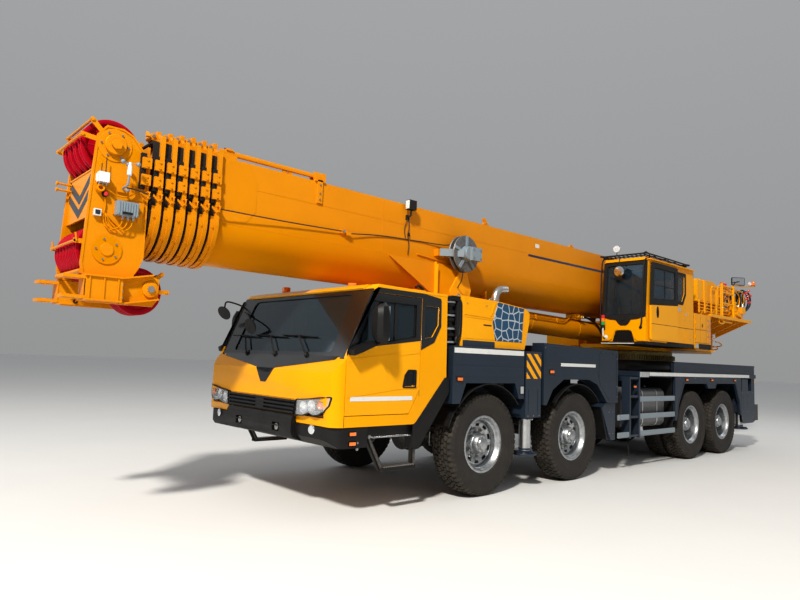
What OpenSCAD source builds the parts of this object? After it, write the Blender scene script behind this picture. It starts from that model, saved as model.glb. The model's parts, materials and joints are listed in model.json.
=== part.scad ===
// Four-axle truck crane with a seven-section telescopic boom, in travel position.
// Frame: X forward, Y to the vehicle's left, Z up, origin on the ground under the middle of the whole machine.
// Stations along the vehicle are written from the first axle (x = 0 there) and shifted by x_shift.

/* [Carrier] */
// Width over the body panels
body_w = 2750; // [2740:5:2760]
// Distance from first to second axle
axle_12 = 1920; // [1900:5:1930]
// Distance from second to third axle
axle_23 = 3870; // [3850:5:3880]
// Distance from third to fourth axle
axle_34 = 1420; // [1400:5:1430]

/* [Wheels] */
// Tyre outside diameter
tyre_d = 1226; // [1200:2:1226]
// Tyre section width
tyre_w = 315; // [300:1:318]
// Rim flange diameter
rim_d = 676; // [660:1:690]
// Height of the outer tyre side from the centre plane
tyre_out = 1312; // [1300:1:1315]

/* [Boom] */
// Half width of the base section
boom_hw = 400; // [395:1:402]
// Lowest line of the base section above ground
boom_bottom = 2500; // [2500:5:2520]
// Flat top of the base section above ground
boom_top = 3580; // [3560:5:3590]
// Step in half width from one section to the next
sec_step = 26; // [25:1:27]
// Wall thickness of a section
wall = 8; // [7:0.5:9]
// Luffing pivot station and height
pivot_x = -7800; // [-7820:5:-7790]
pivot_z = 3150; // [3140:5:3160]

/* [Superstructure] */
// Slewing axis station
slew_x = -6000; // [-6010:5:-5990]
// Outer radius of the slewing ring
slew_r = 820; // [800:5:840]

/* [Hidden] */
$fn = 48;
x_shift = 2365;
half_w = body_w / 2;
ax = [0, -axle_12, -axle_12 - axle_23, -axle_12 - axle_23 - axle_34];
tr = tyre_d / 2;
kingpin_y = 985;
wheel_y = tyre_out - tyre_w / 2;
cyl_a = [-5450, 2210];   // lift cylinder's foot pin
cyl_b = [-970, 2320];    // lift cylinder's rod eye
cyl_tilt = atan2(cyl_b[1] - cyl_a[1], cyl_b[0] - cyl_a[0]);
cyl_len = norm(cyl_b - cyl_a);
collar_x0 = 3165;        // rear face of the base section's collar
collar_pitch = 116;
collar_t = 42;
jack_f = -870;           // front outrigger station
jack_r = -8180;          // rear outrigger station
head_y = 385;            // outer face of the boom head's side plates

// ---------- helpers ----------
module box3(x0, x1, y0, y1, z0, z1) { translate([x0, y0, z0]) cube([x1 - x0, y1 - y0, z1 - z0]); }
module sym() { children(); mirror([0, 1, 0]) children(); }
module side(s) { if (s > 0) children(); else mirror([0, 1, 0]) children(); }
// outline in X and Z, extruded from y0 to y1
module xz(pts, y0, y1) { translate([0, y1, 0]) rotate([90, 0, 0]) linear_extrude(y1 - y0) polygon(pts); }
// outline in Y and Z, extruded from x0 to x1
module yz(pts, x0, x1) { translate([x0, 0, 0]) rotate([90, 0, 90]) linear_extrude(x1 - x0) polygon(pts); }
module cyl_y(x, z, r, y0, y1) { translate([x, y1, z]) rotate([90, 0, 0]) cylinder(r = r, h = y1 - y0); }
module cyl_x(y, z, r, x0, x1) { translate([x0, y, z]) rotate([0, 90, 0]) cylinder(r = r, h = x1 - x0); }
module cyl_z(x, y, r, z0, z1) { translate([x, y, z0]) cylinder(r = r, h = z1 - z0); }
module placed() { translate([x_shift, 0, 0]) children(); }

// ---------- chassis ----------
module chassis_frame() color("#22303d") placed() {
  // side rails, closed by a top plate; the front part is drawn in for the steered wheels
  sym() xz([[-8640, 760], [780, 760], [900, 700], [1900, 700], [1900, 895], [1120, 895], [680, 1150], [-8640, 1150]], 330, 450);
  box3(-8640, 660, -450, 450, 1150, 1180);
  // cross members between the rails, x of each
  for (x = [560, -860, -1300, -2600, -3600, -4900, -6500, -7900, -8560]) box3(x - 60, x + 60, -330, 330, 780, 1150);
  for (x = [1300, 1820]) box3(x - 60, x + 60, -330, 330, 720, 890);
  // seat of the slewing ring
  box3(-6900, -5100, -640, 640, 1180, 1300);
  cyl_z(slew_x, 0, 760, 1300, 1560);
}
// one beam per station of a short table: [axle number, beam half length, beam radius, hub half width]
module axle_beam(x, hl, r) {
  cyl_y(x, tr, r, -hl, hl);
  translate([x, 0, tr]) sphere(r = 235);
  sym() box3(x - 75, x + 75, 330, 440, tr + 60, 758);
}
module front_axles() color("#1c1f22") placed()
  for (i = [0, 1]) {
    axle_beam(ax[i], 850, 80);
    // forks that hold the kingpins
    sym() difference() {
      union() { box3(ax[i] - 70, ax[i] + 70, 840, 900, tr - 150, tr + 150); for (z = [-150, 110]) box3(ax[i] - 70, ax[i] + 70, 890, 1050, tr + z, tr + z + 40); }
      cyl_z(ax[i], kingpin_y, 26, tr - 200, tr + 200);
    }
  }
module rear_axles() color("#1c1f22") placed()
  for (i = [2, 3]) axle_beam(ax[i], 630, 110);
module front_bumper() color("#15181b") placed() {
  difference() {
    union() {
      xz([[2150, 690], [2330, 745], [2362, 800], [2362, 930], [2340, 975], [2308, 975], [2308, 898], [2150, 898]], -700, 700);
      intersection() {
        sym() xz([[1860, 700], [2200, 700], [2305, 780], [2305, 898], [1860, 898]], 690, 1335);
        translate([0, 0, 650]) linear_extrude(300) polygon(cab_plan(1800, 2312, 1335, 190, 260));
      }
    }
    sym() box3(2330, 2380, 330, 470, 790, 880);
  }
  // carriers under the doors with the folded step between them
  sym() {
    box3(1210, 1860, 1180, 1300, 790, 898);
    xz([[1130, 640], [1210, 640], [1210, 898], [1190, 898], [760, 1380], [690, 1380], [690, 1240]], 1180, 1330);
    // lower step hoop
    xz([[1790, 800], [1860, 800], [1650, 440], [1580, 440]], 1250, 1290);
    box3(1170, 1650, 1230, 1330, 440, 475);
    box3(1150, 1200, 1250, 1290, 440, 700);
  }
  // brackets back to the rails
  sym() box3(1902, 2160, 330, 450, 790, 895);
}

// ---------- driver's cab ----------
cab_out = [[2290, 905], [2318, 1150], [2290, 1440], [2150, 1600], [1838, 2312], [1790, 2350], [760, 2335], [742, 1400], [1190, 905]];
cab_in = [[2235, 965], [2262, 1150], [2238, 1425], [2100, 1580], [1800, 2270], [1770, 2295], [810, 2285], [795, 1420], [1215, 965]];
door_line = [[2165, 1020], [2165, 1590], [1872, 2262], [1165, 2262], [1165, 1270], [1310, 1020]];
door_window = [[2060, 1690], [1848, 2185], [1240, 2185], [1240, 1835]];
rear_window = [[1105, 1830], [1105, 2190], [895, 2190], [895, 1990], [990, 1850]];
// plan outline of the cab's front with its rounded corners; rx and ry are the radii along X and Y
function cab_plan(x0, x1, y1, rx, ry) = concat(
  [[x0, -y1]], [for (a = [0:15:90]) [x1 - rx + rx * sin(a), -(y1 - ry + ry * cos(a))]],
  [for (a = [0:15:90]) [x1 - rx + rx * cos(a), y1 - ry + ry * sin(a)]], [[x0, y1]]);
module cab_shell() color("#f5a800") placed() difference() {
  intersection() {
    xz(cab_out, -1340, 1340);
    translate([0, 0, 850]) linear_extrude(1600) polygon(cab_plan(700, 2330, 1340, 165, 230));
  }
  intersection() {
    xz(cab_in, -1290, 1290);
    translate([0, 0, 850]) linear_extrude(1600) polygon(cab_plan(700, 2275, 1290, 125, 190));
  }
  // door openings and rear side windows
  sym() translate([0, 1400, 0]) rotate([90, 0, 0]) linear_extrude(180) offset(delta = 7) polygon(door_line);
  sym() xz(rear_window, 1250, 1400);
  // windscreen opening, in its own sloped frame
  translate([2140, 0, 1605]) rotate([0, -23.6, 0]) translate([-95, -1050, 12]) cube([160, 2100, 716]);
  // lamp recesses
  sym() box3(2255, 2400, 720, 1180, 985, 1150);
}
module cab_glass() color("#334455") placed() {
  translate([2140, 0, 1605]) rotate([0, -23.6, 0]) translate([-22, -1047, 15]) cube([8, 2094, 710]);
  sym() translate([0, 1328, 0]) rotate([90, 0, 0]) linear_extrude(8) offset(delta = -3) polygon(rear_window);
  // lamps
  sym() box3(2258, 2296, 723, 1177, 988, 1147);
}
module seat_form(x, y, z) translate([x, y, z]) {
  box3(-250, 250, -240, 240, 0, 120);
  xz([[-250, 121], [-130, 121], [-230, 640], [-330, 640]], -230, 230);
  xz([[-255, 660], [-335, 660], [-350, 800], [-275, 800]], -120, 120);
  sym() box3(-180, 150, 60, 90, -159, 0);
}
module cab_interior() color("#2b2e33") placed() {
  for (y = [-660, 660]) seat_form(1400, y, 1160);
  xz([[2225, 970], [2225, 1400], [2060, 1520], [1840, 1500], [1820, 1360], [2040, 1240], [2040, 970]], -1200, 1200);
  // steering column and wheel
  translate([1790, 640, 1560]) rotate([0, -62, 0]) { rotate_extrude() translate([200, 0]) circle(r = 16); cylinder(r = 45, h = 40, center = true); for (a = [0, 120, 240]) rotate([0, 0, a]) translate([0, -14, -8]) cube([200, 28, 16]); }
  // engine tunnel and floor
  box3(1220, 2035, -1285, 1285, 970, 1000);
  box3(1200, 1900, -300, 300, 1001, 1240);
}
module cab_door(s) placed() side(s) difference() {
  union() {
    xz(door_line, 1292, 1340);
    // mirror arm and housing
    xz([[2145, 1610], [2160, 1668], [1930, 1765], [1860, 1765], [1860, 1720], [1940, 1690]], 1340, 1460);
    xz([[1945, 1735], [1955, 2150], [1830, 2165], [1800, 1735]], 1410, 1580);
  }
  xz(door_window, 1270, 1380);
  // grip recess
  xz([[1240, 1300], [1240, 1500], [1340, 1500], [1400, 1300]], 1325, 1400);
}
module door_pane(s) placed() side(s) translate([0, 1320, 0]) rotate([90, 0, 0]) linear_extrude(6) offset(delta = -1) polygon(door_window);
module cab_door_left() { color("#f5a800") cab_door(1); color("#334455") door_pane(1); }
module cab_door_right() { color("#f5a800") cab_door(-1); color("#334455") door_pane(-1); }

// ---------- behind the cab ----------
module engine_cover() color("#f5a800") placed() difference() {
  union() {
    xz([[480, 1772], [480, 2362], [-300, 2345], [-640, 2250], [-722, 2150], [-722, 1772]], -500, 500);
    sym() xz([[480, 1772], [480, 2366], [-200, 2352], [-694, 2312], [-789, 2284], [-829, 2245], [-822, 2142], [-797, 2036], [-733, 1786], [-722, 1772]], 480, 1320);
  }
  xz([[440, 1700], [440, 2322], [-290, 2307], [-620, 2215], [-684, 2140], [-684, 1700]], -521, 521);
  sym() xz([[440, 1700], [440, 2326], [-200, 2312], [-688, 2273], [-768, 2248], [-788, 2228], [-783, 2146], [-758, 2042], [-700, 1800], [-684, 1700]], 520, 1280);
  // hole that the exhaust comes out of
  cyl_z(-320, 1150, 58, 2200, 2500);
}
module engine() placed() {
  color("#3c3f42") { box3(-560, 400, -380, 380, 1200, 1760); box3(-420, 300, -300, 300, 1760, 2120); box3(-1900, -561, -210, 210, 1190, 1400); }
  // intake tower at the cab's back left
  color("#15181b") box3(520, 700, 930, 1320, 1772, 2345);
  // exhaust that leaves the engine cover's top and bends to the rear
  color("silver") {
    translate([-460, 1150, 2400]) rotate([90, 0, 0]) rotate_extrude(angle = 85) translate([140, 0]) circle(r = 50);
    cyl_z(-320, 1150, 50, 2100, 2400.1);
  }
}
// side panels over the steered wheels; rows of the table: outline in X and Z
panel_1 = [[670, 1772], [-660, 1772], [-660, 1150], [-560, 1150], [-480, 1345], [440, 1345], [540, 1110], [670, 1110]];
panel_2 = [[-1090, 1880], [-3010, 1840], [-3010, 1060], [-2700, 1060], [-2420, 1330], [-2200, 1400], [-1560, 1400], [-1300, 1260], [-1160, 1060], [-1090, 1060]];
module front_fenders() color("#22303d") placed() sym() {
  xz(panel_1, 1180, half_w);
  box3(-660, 505, 620, 1180, 1400, 1768);
  xz(panel_2, 1180, half_w);
  box3(-3010, -1090, 560, 1180, 1440, 1840);
}
skirt = [[-4960, 1460], [-4960, 720], [-5020, 720], [-5100, 1000], [-5330, 1350], [-6250, 1350], [-6330, 1262], [-6660, 1262], [-6740, 1350], [-7640, 1350], [-7850, 1000], [-7900, 720], [-7960, 720], [-7960, 1460]];
module rear_deck() color("#22303d") placed() {
  // deck plate with the raised tray behind the slewing ring
  difference() {
    union() { box3(-8780, -3690, -half_w, half_w, 1462, 1540); box3(-8780, -6900, -1345, 1345, 1540, 1725); sym() box3(-6900, -4980, 1290, 1345, 1540, 1725); }
    cyl_z(slew_x, 0, 800, 1400, 1800);
    box3(-8700, -7150, -1150, 1150, 1640, 1800);
  }
  sym() xz(skirt, 1330, half_w);
  box3(-8780, -8600, -1345, 1345, 1182, 1462);
  sym() box3(-8780, -8640, 700, 1345, 560, 1182);
}
// casings that carry the outrigger beams across the frame
module casing(x, z0, z1, hw) difference() {
  box3(x - 205, x + 205, -hw, hw, z0, z1);
  box3(x - 182, x - 6, -hw - 50, hw + 50, z0 + 24, z1 - 24);
  box3(x + 6, x + 182, -hw - 50, hw + 50, z0 + 24, z1 - 24);
}
module outrigger_boxes() color("#22303d") placed() {
  casing(jack_f, 1405, 1765, 1100);
  sym() box3(jack_f - 150, jack_f + 150, 240, 450, 1181, 1405);
  casing(jack_r, 1185, 1455, 1100);
}
module fuel_tank() color("#4a4f54") placed() {
  // tank with rounded corners, one on each side
  sym() {
    translate([-4800, 0, 0]) rotate([90, 0, 90]) linear_extrude(1000) union() {
      for (p = [[860, 740], [1130, 740], [860, 1160], [1130, 1160]]) translate(p) circle(r = 110);
      translate([750, 740]) square([490, 420]);
      translate([860, 630]) square([270, 640]);
    }
    box3(-4760, -3840, 455, 740, 900, 980);
  }
}
module side_steps() color("#8d9aa5") placed() sym() {
  // ladder posts, treads, then the guard bars past the tank
  for (x = [-3400, -3700]) box3(x - 22, x + 22, 1230, 1370, 500, 1460);
  for (z = [520, 810, 1130, 1420]) box3(-3680, -3420, 1240, 1365, z, z + 32);
  for (z = [560, 830, 1100]) box3(-4960, -3722, 1335, 1368, z - 45, z + 45);
  for (z = [560, 830]) box3(-3378, -3060, 1335, 1368, z - 45, z + 45);
  box3(-3420, -3400, 1000, 1230, 1380, 1460);
}
module tail_bar() color("#15181b") placed() {
  difference() {
    union() { box3(-9080, -9000, -1240, 1240, 640, 780); sym() box3(-9280, -9000, 880, 1240, 560, 900); sym() box3(-9005, -8640, 340, 440, 690, 800);
      // coupling jaw for a trailer's drawbar
      box3(-9190, -9078, -70, 70, 640, 665); box3(-9190, -9078, -70, 70, 755, 780); }
    cyl_z(-9140, 0, 25, 600, 820);
  }
}
module slew_ring() color("#5a4a25") placed() difference() {
  union() { cyl_z(slew_x, 0, slew_r, 1742, 1850); cyl_z(slew_x, 0, slew_r - 60, 1562, 1742); cyl_z(slew_x, 0, slew_r - 50, 1850, 1925); }
  cyl_z(slew_x, 0, 620, 1500, 2000);
}

// ---------- wheels ----------
module tyre(y) difference() {
  // tread, shoulder and side, turned about the hub line
  translate([0, y, 0]) rotate([90, 0, 0]) rotate_extrude() polygon([[rim_d / 2 - 22, -118], [tr - 120, -tyre_w / 2], [tr - 60, -tyre_w / 2 + 4], [tr - 14, -tyre_w / 2 + 22], [tr, -tyre_w / 2 + 60], [tr, tyre_w / 2 - 60], [tr - 14, tyre_w / 2 - 22], [tr - 60, tyre_w / 2 - 4], [tr - 120, tyre_w / 2], [rim_d / 2 - 22, 118]]);
}
// rim barrel with its disc at the depth d inside the outer face
module rim(y, d) {
  translate([0, y, 0]) rotate([90, 0, 0]) {
    rotate_extrude() polygon([[rim_d / 2 - 62, -116], [rim_d / 2 - 22.2, -116], [rim_d / 2 - 22.2, 116], [rim_d / 2 - 34, 116], [rim_d / 2 - 48, 30], [rim_d / 2 - 62, 20]]);
    // disc
    translate([0, 0, d]) cylinder(r = rim_d / 2 - 50, h = 16);
  }
}
module wheel_single(s) side(s) {
  color("#222222") tyre(wheel_y);
  color("silver") { rim(wheel_y, -60); cyl_y(0, 0, 120, wheel_y - 50, wheel_y + 110); cyl_y(0, 0, 175, wheel_y - 20, wheel_y + 60); }
}
module wheel_twin(s) side(s) {
  color("#222222") { tyre(wheel_y); tyre(wheel_y - 350); }
  color("silver") { rim(wheel_y, 100); rim(wheel_y - 350, -116); cyl_y(0, 0, 150, wheel_y - 250, wheel_y + 90); }
}
module wheel(i, s) placed() translate([ax[i], 0, tr]) if (i < 2) wheel_single(s); else wheel_twin(s);
module knuckle(i, s) color("#1c1f22") placed() side(s) translate([ax[i], 0, 0]) {
  cyl_z(0, kingpin_y, 25, tr - 170, tr + 170);
  box3(-55, 55, 930, 1040, tr - 100, tr + 100);
  cyl_y(0, tr, 60, 1030, wheel_y - 60);
  box3(-170, -50, 950, 990, tr - 20, tr + 20);
}

// ---------- outriggers ----------
// beam [station, side, x offset of the beam in its casing, bottom, top]
module beam(x, s, dx, z0, z1, zb) color("#22303d") placed() side(s) {
  difference() { box3(x + dx - 80, x + dx + 80, -1085, 1130, z0, z1); box3(x + dx - 66, x + dx + 66, -1120, 1050, z0 + 14, z1 - 14); }
  // end head with the jack's sleeve
  difference() {
    union() { box3(x - 165, x + 165, 1110, half_w - 5, zb, z1 + 20); }
    cyl_z(x, 1240, 82, zb - 50, z1 - 20);
  }
}
module jack(x, s, z0, z1) color("#5d666e") placed() side(s) {
  cyl_z(x, 1240, 77, z0 + 60, z1);
  cyl_z(x, 1240, 60, z0 + 30, z0 + 70);
  cyl_z(x, 1240, 165, z0, z0 + 40);
}
module outrigger_beam_front_left() { beam(jack_f, 1, 94, 1435, 1735, 905); }
module outrigger_beam_front_right() { beam(jack_f, -1, -94, 1435, 1735, 905); }
module outrigger_beam_rear_left() { beam(jack_r, 1, 94, 1215, 1425, 760); }
module outrigger_beam_rear_right() { beam(jack_r, -1, -94, 1215, 1425, 760); }

// ---------- superstructure ----------
cheek = [[-8580, 2030], [-8640, 2900], [-8300, 3330], [-8000, 3430], [-7600, 3430], [-7300, 3300], [-6300, 2600], [-5700, 2440], [-5200, 2440], [-5130, 2030]];
module turntable() color("#f5a800") placed() {
  cyl_z(slew_x, 0, 760, 1932, 1986);
  box3(-8640, -5000, -525, 525, 1960, 2030);
  sym() difference() {
    xz(cheek, 470, 525);
    cyl_y(pivot_x, pivot_z, 71, 400, 600);
    cyl_y(cyl_a[0], cyl_a[1], 56, 400, 600);
  }
  // pivot pins stay with the turntable's cheeks
  sym() { cyl_y(pivot_x, pivot_z, 70.9, 470, 560); cyl_y(pivot_x, pivot_z, 95, 525, 575); }
  cyl_y(cyl_a[0], cyl_a[1], 55, -540, 540);
  // cross plates between the cheeks
  box3(-8640, -8600, -470, 470, 2030, 2300);
  box3(-6900, -6860, -470, 470, 2030, 2240);
  // arms under the operator's cab and under the side cowl
  box3(-6850, -5960, 525, 1300, 1960, 1986);
  box3(-5700, -4300, 525, 640, 1960, 1986);
  box3(-6850, -4700, -1000, -525, 1960, 1986);
}
op_out = [[-3960, 2030], [-3950, 2430], [-4020, 3395], [-4070, 3425], [-5730, 3425], [-5780, 3375], [-5780, 2030]];
op_in = [[-4010, 2090], [-4000, 2430], [-4065, 3370], [-5735, 3370], [-5735, 2090]];
op_side = [[-4110, 2720], [-4140, 3290], [-4960, 3290], [-4960, 2120], [-4110, 2120]];
op_quarter = [[-5090, 2800], [-5090, 3270], [-5400, 3270], [-5400, 2960], [-5300, 2800]];
module operator_cab() color("#f5a800") placed() {
  difference() {
    xz(op_out, 555, 1345);
    xz(op_in, 595, 1305);
    xz(op_side, 1250, 1400);
    xz(op_quarter, 500, 1400);
    // windscreen, rear and boom-side windows
    translate([-3952, 0, 2470]) rotate([0, -4.2, 0]) translate([-80, 600, 0]) cube([160, 700, 900]);
    box3(-5850, -5700, 640, 1260, 2700, 3270);
    xz([[-4110, 2700], [-4140, 3290], [-4960, 3290], [-4960, 2700]], 500, 600);
    xz([[-4250, 3000], [-4250, 3500], [-5000, 3500], [-5000, 3000]], 660, 1240);
  }
  box3(-5790, -3940, 555, 1345, 1990, 2028);
  // rails that the sliding door hangs on
  box3(-5760, -4040, 1345, 1352, 3372, 3402);
  box3(-5760, -4040, 1345, 1350, 2034, 2056);
}
module operator_glass() color("#334455") placed() {
  translate([-3952, 0, 2470]) rotate([0, -4.2, 0]) translate([-22, 603, 3]) cube([8, 694, 894]);
  box3(-5764, -5758, 643, 1257, 2703, 3267);
  for (y = [572, 1328]) translate([0, y, 0]) rotate([90, 0, 0]) linear_extrude(6) offset(delta = -3) polygon(op_quarter);
  xz([[-4113, 2703], [-4142, 3287], [-4957, 3287], [-4957, 2703]], 568, 574);
  box3(-4997, -4253, 663, 1237, 3392, 3398);
}
module operator_seat() color("#2b2e33") placed() {
  seat_form(-4980, 950, 2300);
  box3(-5150, -4850, 800, 1100, 2092, 2209);
  // lever consoles beside the seat
  for (y = [662, 1210]) box3(-5150, -4700, y - 38, y + 38, 2350, 2560);
  box3(-4110, -4030, 700, 1200, 2092, 2420);
}
op_door = [[-4052, 2060], [-4052, 2700], [-4092, 3366], [-5040, 3366], [-5040, 2060]];
module operator_door() {
  color("#f5a800") placed() difference() { xz(op_door, 1358, 1392); xz([[-4130, 2740], [-4165, 3280], [-4950, 3280], [-4950, 2790]], 1300, 1450); }
  color("#334455") placed() xz([[-4131, 2741], [-4166, 3279], [-4949, 3279], [-4949, 2791]], 1372, 1378);
}
module right_unit() color("#22303d") placed() {
  // oil tank and cooler on the right of the turntable
  box3(-6800, -5000, -1300, -560, 1990, 2420);
  box3(-6780, -6200, -1280, -600, 2420, 2560);
}
module side_cowl() color("#f5a800") placed() {
  box3(-6500, -5850, 620, 1335, 1992, 2640);
  intersection() { box3(-6900, -6500, 620, 1335, 1992, 2640); cyl_z(-6500, 985, 350, 1900, 2700); }
}
// drum with its flanges, rope layer and motor end [x, z, flange radius, rope radius]
module winch(x, z, rf, rr) placed() {
  color("#f5a800") sym() { cyl_y(x, z, rf, 330, 352); cyl_y(x, z, 90, 352, 455); }
  color("#6b6f73") cyl_y(x, z, rr, -330, 330);
}
module main_winch() { winch(-8370, 2800, 215, 180); }
module auxiliary_winch() { winch(-8330, 2300, 190, 160); }

// ---------- lift cylinder ----------
module along_cylinder() { translate([cyl_a[0], 0, cyl_a[1]]) rotate([0, 90 - cyl_tilt, 0]) children(); }
module lift_cylinder() color("#f5a800") placed() along_cylinder() difference() {
  union() {
    translate([0, 0, 120]) cylinder(r = 175, h = 3780);
    rotate([90, 0, 0]) cylinder(r = 150, h = 200, center = true);
    translate([-130, -100, 0]) cube([260, 200, 180]);
    translate([0, 0, 3780]) cylinder(r = 190, h = 120);
  }
  translate([0, 0, 250]) cylinder(r = 145, h = 3560);
  translate([0, 0, 3700]) cylinder(r = 122.5, h = 300);
  rotate([90, 0, 0]) cylinder(r = 55.5, h = 300, center = true);
}
module lift_rod() color("silver") placed() along_cylinder() {
  translate([0, 0, 300]) cylinder(r = 142, h = 140);
  translate([0, 0, 400]) cylinder(r = 120, h = cyl_len - 480);
  translate([0, 0, cyl_len]) rotate([90, 0, 0]) cylinder(r = 135, h = 260, center = true);
}

// ---------- boom ----------
// U-shaped section of half width w and total height h above its lowest line z0
module u_form(w, z0, z1) { translate([0, z0 + w]) circle(r = w); translate([-w, z0 + w]) square([2 * w, z1 - z0 - w]); }
module tube(k, x0, x1) {
  w = boom_hw - k * sec_step; z0 = boom_bottom + k * sec_step; z1 = boom_top - k * sec_step;
  translate([x0, 0, 0]) rotate([90, 0, 90]) linear_extrude(x1 - x0) difference() { u_form(w, z0, z1); u_form(w - wall, z0 + wall, z1 - wall); }
}
// collar plate round a section's mouth, all nearly as large as the base's
module collar(k, x0) {
  w = boom_hw - k * sec_step;
  translate([x0, 0, 0]) rotate([90, 0, 90]) linear_extrude(collar_t) difference() {
    union() {
      u_form(boom_hw + 44 - 3 * k, boom_bottom - 46 + 3 * k, boom_top + 40);
      translate([-300, boom_top]) square([140, 150 - 12 * max(0, k - 2)]);
      translate([160, boom_top]) square([140, 150 - 12 * max(0, k - 2)]);
    }
    u_form(w - wall, boom_bottom + k * sec_step + wall, boom_top - k * sec_step - wall);
  }
}
module boom_base() color("#f5a800") placed() {
  difference() {
    union() { tube(0, -7450, collar_x0); collar(0, collar_x0); }
  }
  // foot that turns on the luffing pivot
  sym() xz([[-7440, 2560], [-7440, 3570], [-7560, 3560], [-7980, 3260], [-8010, 3150], [-7980, 3040], [-7700, 2800]], 330, 398);
  box3(-7470, -7440, -330, 330, 2950, 3560);
  sym() cyl_y(pivot_x, pivot_z, 110, 397, 462);
  // cheeks for the lift rod, behind the engine cover, with their gussets
  difference() {
    boom_cheeks();
    translate([-2000, 0, 0]) rotate([90, 0, 90]) linear_extrude(4000) u_form(boom_hw - wall, boom_bottom + wall, boom_top - wall);
  }
}
module boom_cheeks() {
  sym() {
    xz([[-1160, 2620], [-1150, 2300], [-1060, 2205], [-880, 2205], [-810, 2290], [-770, 2440], [-300, 2490], [150, 2510], [150, 2620]], 165, 200);
    xz([[-600, 2440], [-560, 2425], [150, 2500], [860, 2880], [860, 2895], [-600, 2895]], 398, 418);
    box3(-1160, -1130, 165, 300, 2430, 2640);
    box3(-420, -390, 165, 418, 2440, 2640);
  }
}
module section(k) color("#f5a800") placed() { xc = collar_x0 + k * collar_pitch; tube(k, -7300 + 60 * k, xc); collar(k, xc); }
module boom_head() color("#f5a800") placed() {
  k = 6;
  xh = collar_x0 + 6 * collar_pitch;
  tube(k, -7300 + 60 * k, xh + 20);
  // side plates of the head
  difference() {
    union() {
      sym() xz([[xh, 2620], [xh, 3360], [4030, 3560], [4120, 3600], [4270, 3600], [4345, 3500], [4365, 3150], [4400, 2330], [4380, 2230], [3960, 2230], [3900, 2330], [xh, 2440]], head_y - 25, head_y);
      // rear plate that closes the section, and the front plate with the warning stripes
      box3(xh, xh + 22, -head_y + 25, head_y - 25, 2500, 3500);
      box3(4325, 4345, -head_y + 25, head_y - 25, 2760, 3190);
      // lower arms: a box on each side that carries the rear sheaves and the jib lugs
      sym() xz([[3710, 2060], [3710, 2250], [3790, 2280], [4060, 2228], [4330, 2228], [4330, 1990], [3760, 1990]], head_y + 2, head_y + 30);
      sym() xz([[4060, 2000], [4060, 2226], [4380, 2226], [4380, 2000]], head_y - 35, head_y + 110);
      sym() xz([[3960, 1990], [3960, 2230], [4060, 2228], [4060, 1990]], head_y - 25, head_y + 30);
      // jib forks: two plates with an upright pin hole
      sym() for (z = [2012, 2184]) box3(4370, 4550, head_y - 40, head_y + 110, z, z + 28);
      // axles of the three sheave sets
      cyl_y(4190, 3430, 45, -head_y - 45, head_y + 45);
      sym() cyl_y(4190, 3430, 85, head_y, head_y + 30);
      cyl_y(4190, 2470, 45, -head_y, head_y);
      cyl_y(3790, 2150, 40, -head_y - 45, head_y + 45);
    }
    sym() cyl_z(4480, head_y + 35, 26, 1900, 2300);
  }
}
// sheave with a rope groove, bored for its axle
module sheave(x, z, y, r, rb) translate([x, y, z]) rotate([90, 0, 0]) rotate_extrude() polygon([[rb, -38], [r - 60, -14], [r - 48, -30], [r, -36], [r, -28], [r - 34, -6], [r - 34, 6], [r, 28], [r, 36], [r - 48, 30], [r - 60, 14], [rb, 38]]);
module upper_sheaves() color("#b01020") placed() for (y = [-240, -80, 80, 240]) sheave(4190, 3430, y, 262, 47);
module lower_sheaves() color("#b01020") placed() for (y = [-300, -200, -100, 0, 100, 200, 300]) sheave(4190, 2470, y, 245, 47);
module rear_sheaves() color("#b01020") placed() for (y = [-60, 60]) sheave(3790, 2150, y, 230, 42);

chassis_frame();
front_axles();
rear_axles();
front_bumper();
cab_shell();
cab_glass();
cab_interior();
engine_cover();
engine();
front_fenders();
rear_deck();
outrigger_boxes();
fuel_tank();
side_steps();
tail_bar();
slew_ring();
cab_door_left();
cab_door_right();
knuckle(0, 1);  // knuckle_1_left
knuckle(0, -1);  // knuckle_1_right
knuckle(1, 1);  // knuckle_2_left
knuckle(1, -1);  // knuckle_2_right
wheel(0, 1);  // wheel_1_left
wheel(0, -1);  // wheel_1_right
wheel(1, 1);  // wheel_2_left
wheel(1, -1);  // wheel_2_right
wheel(2, 1);  // wheel_3_left
wheel(2, -1);  // wheel_3_right
wheel(3, 1);  // wheel_4_left
wheel(3, -1);  // wheel_4_right
outrigger_beam_front_left();
outrigger_beam_front_right();
outrigger_beam_rear_left();
outrigger_beam_rear_right();
jack(jack_f, 1, 425, 1400);  // jack_front_left
jack(jack_f, -1, 425, 1400);  // jack_front_right
jack(jack_r, 1, 425, 1380);  // jack_rear_left
jack(jack_r, -1, 425, 1380);  // jack_rear_right
turntable();
operator_cab();
operator_glass();
operator_seat();
operator_door();
side_cowl();
right_unit();
main_winch();
auxiliary_winch();
lift_cylinder();
lift_rod();
boom_base();
section(1);  // boom_section_2
section(2);  // boom_section_3
section(3);  // boom_section_4
section(4);  // boom_section_5
section(5);  // boom_section_6
boom_head();
upper_sheaves();
lower_sheaves();
rear_sheaves();
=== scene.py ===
import bpy, bmesh, json, math, random
from math import sin, cos, pi, radians
from mathutils import Vector, Matrix


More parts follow.
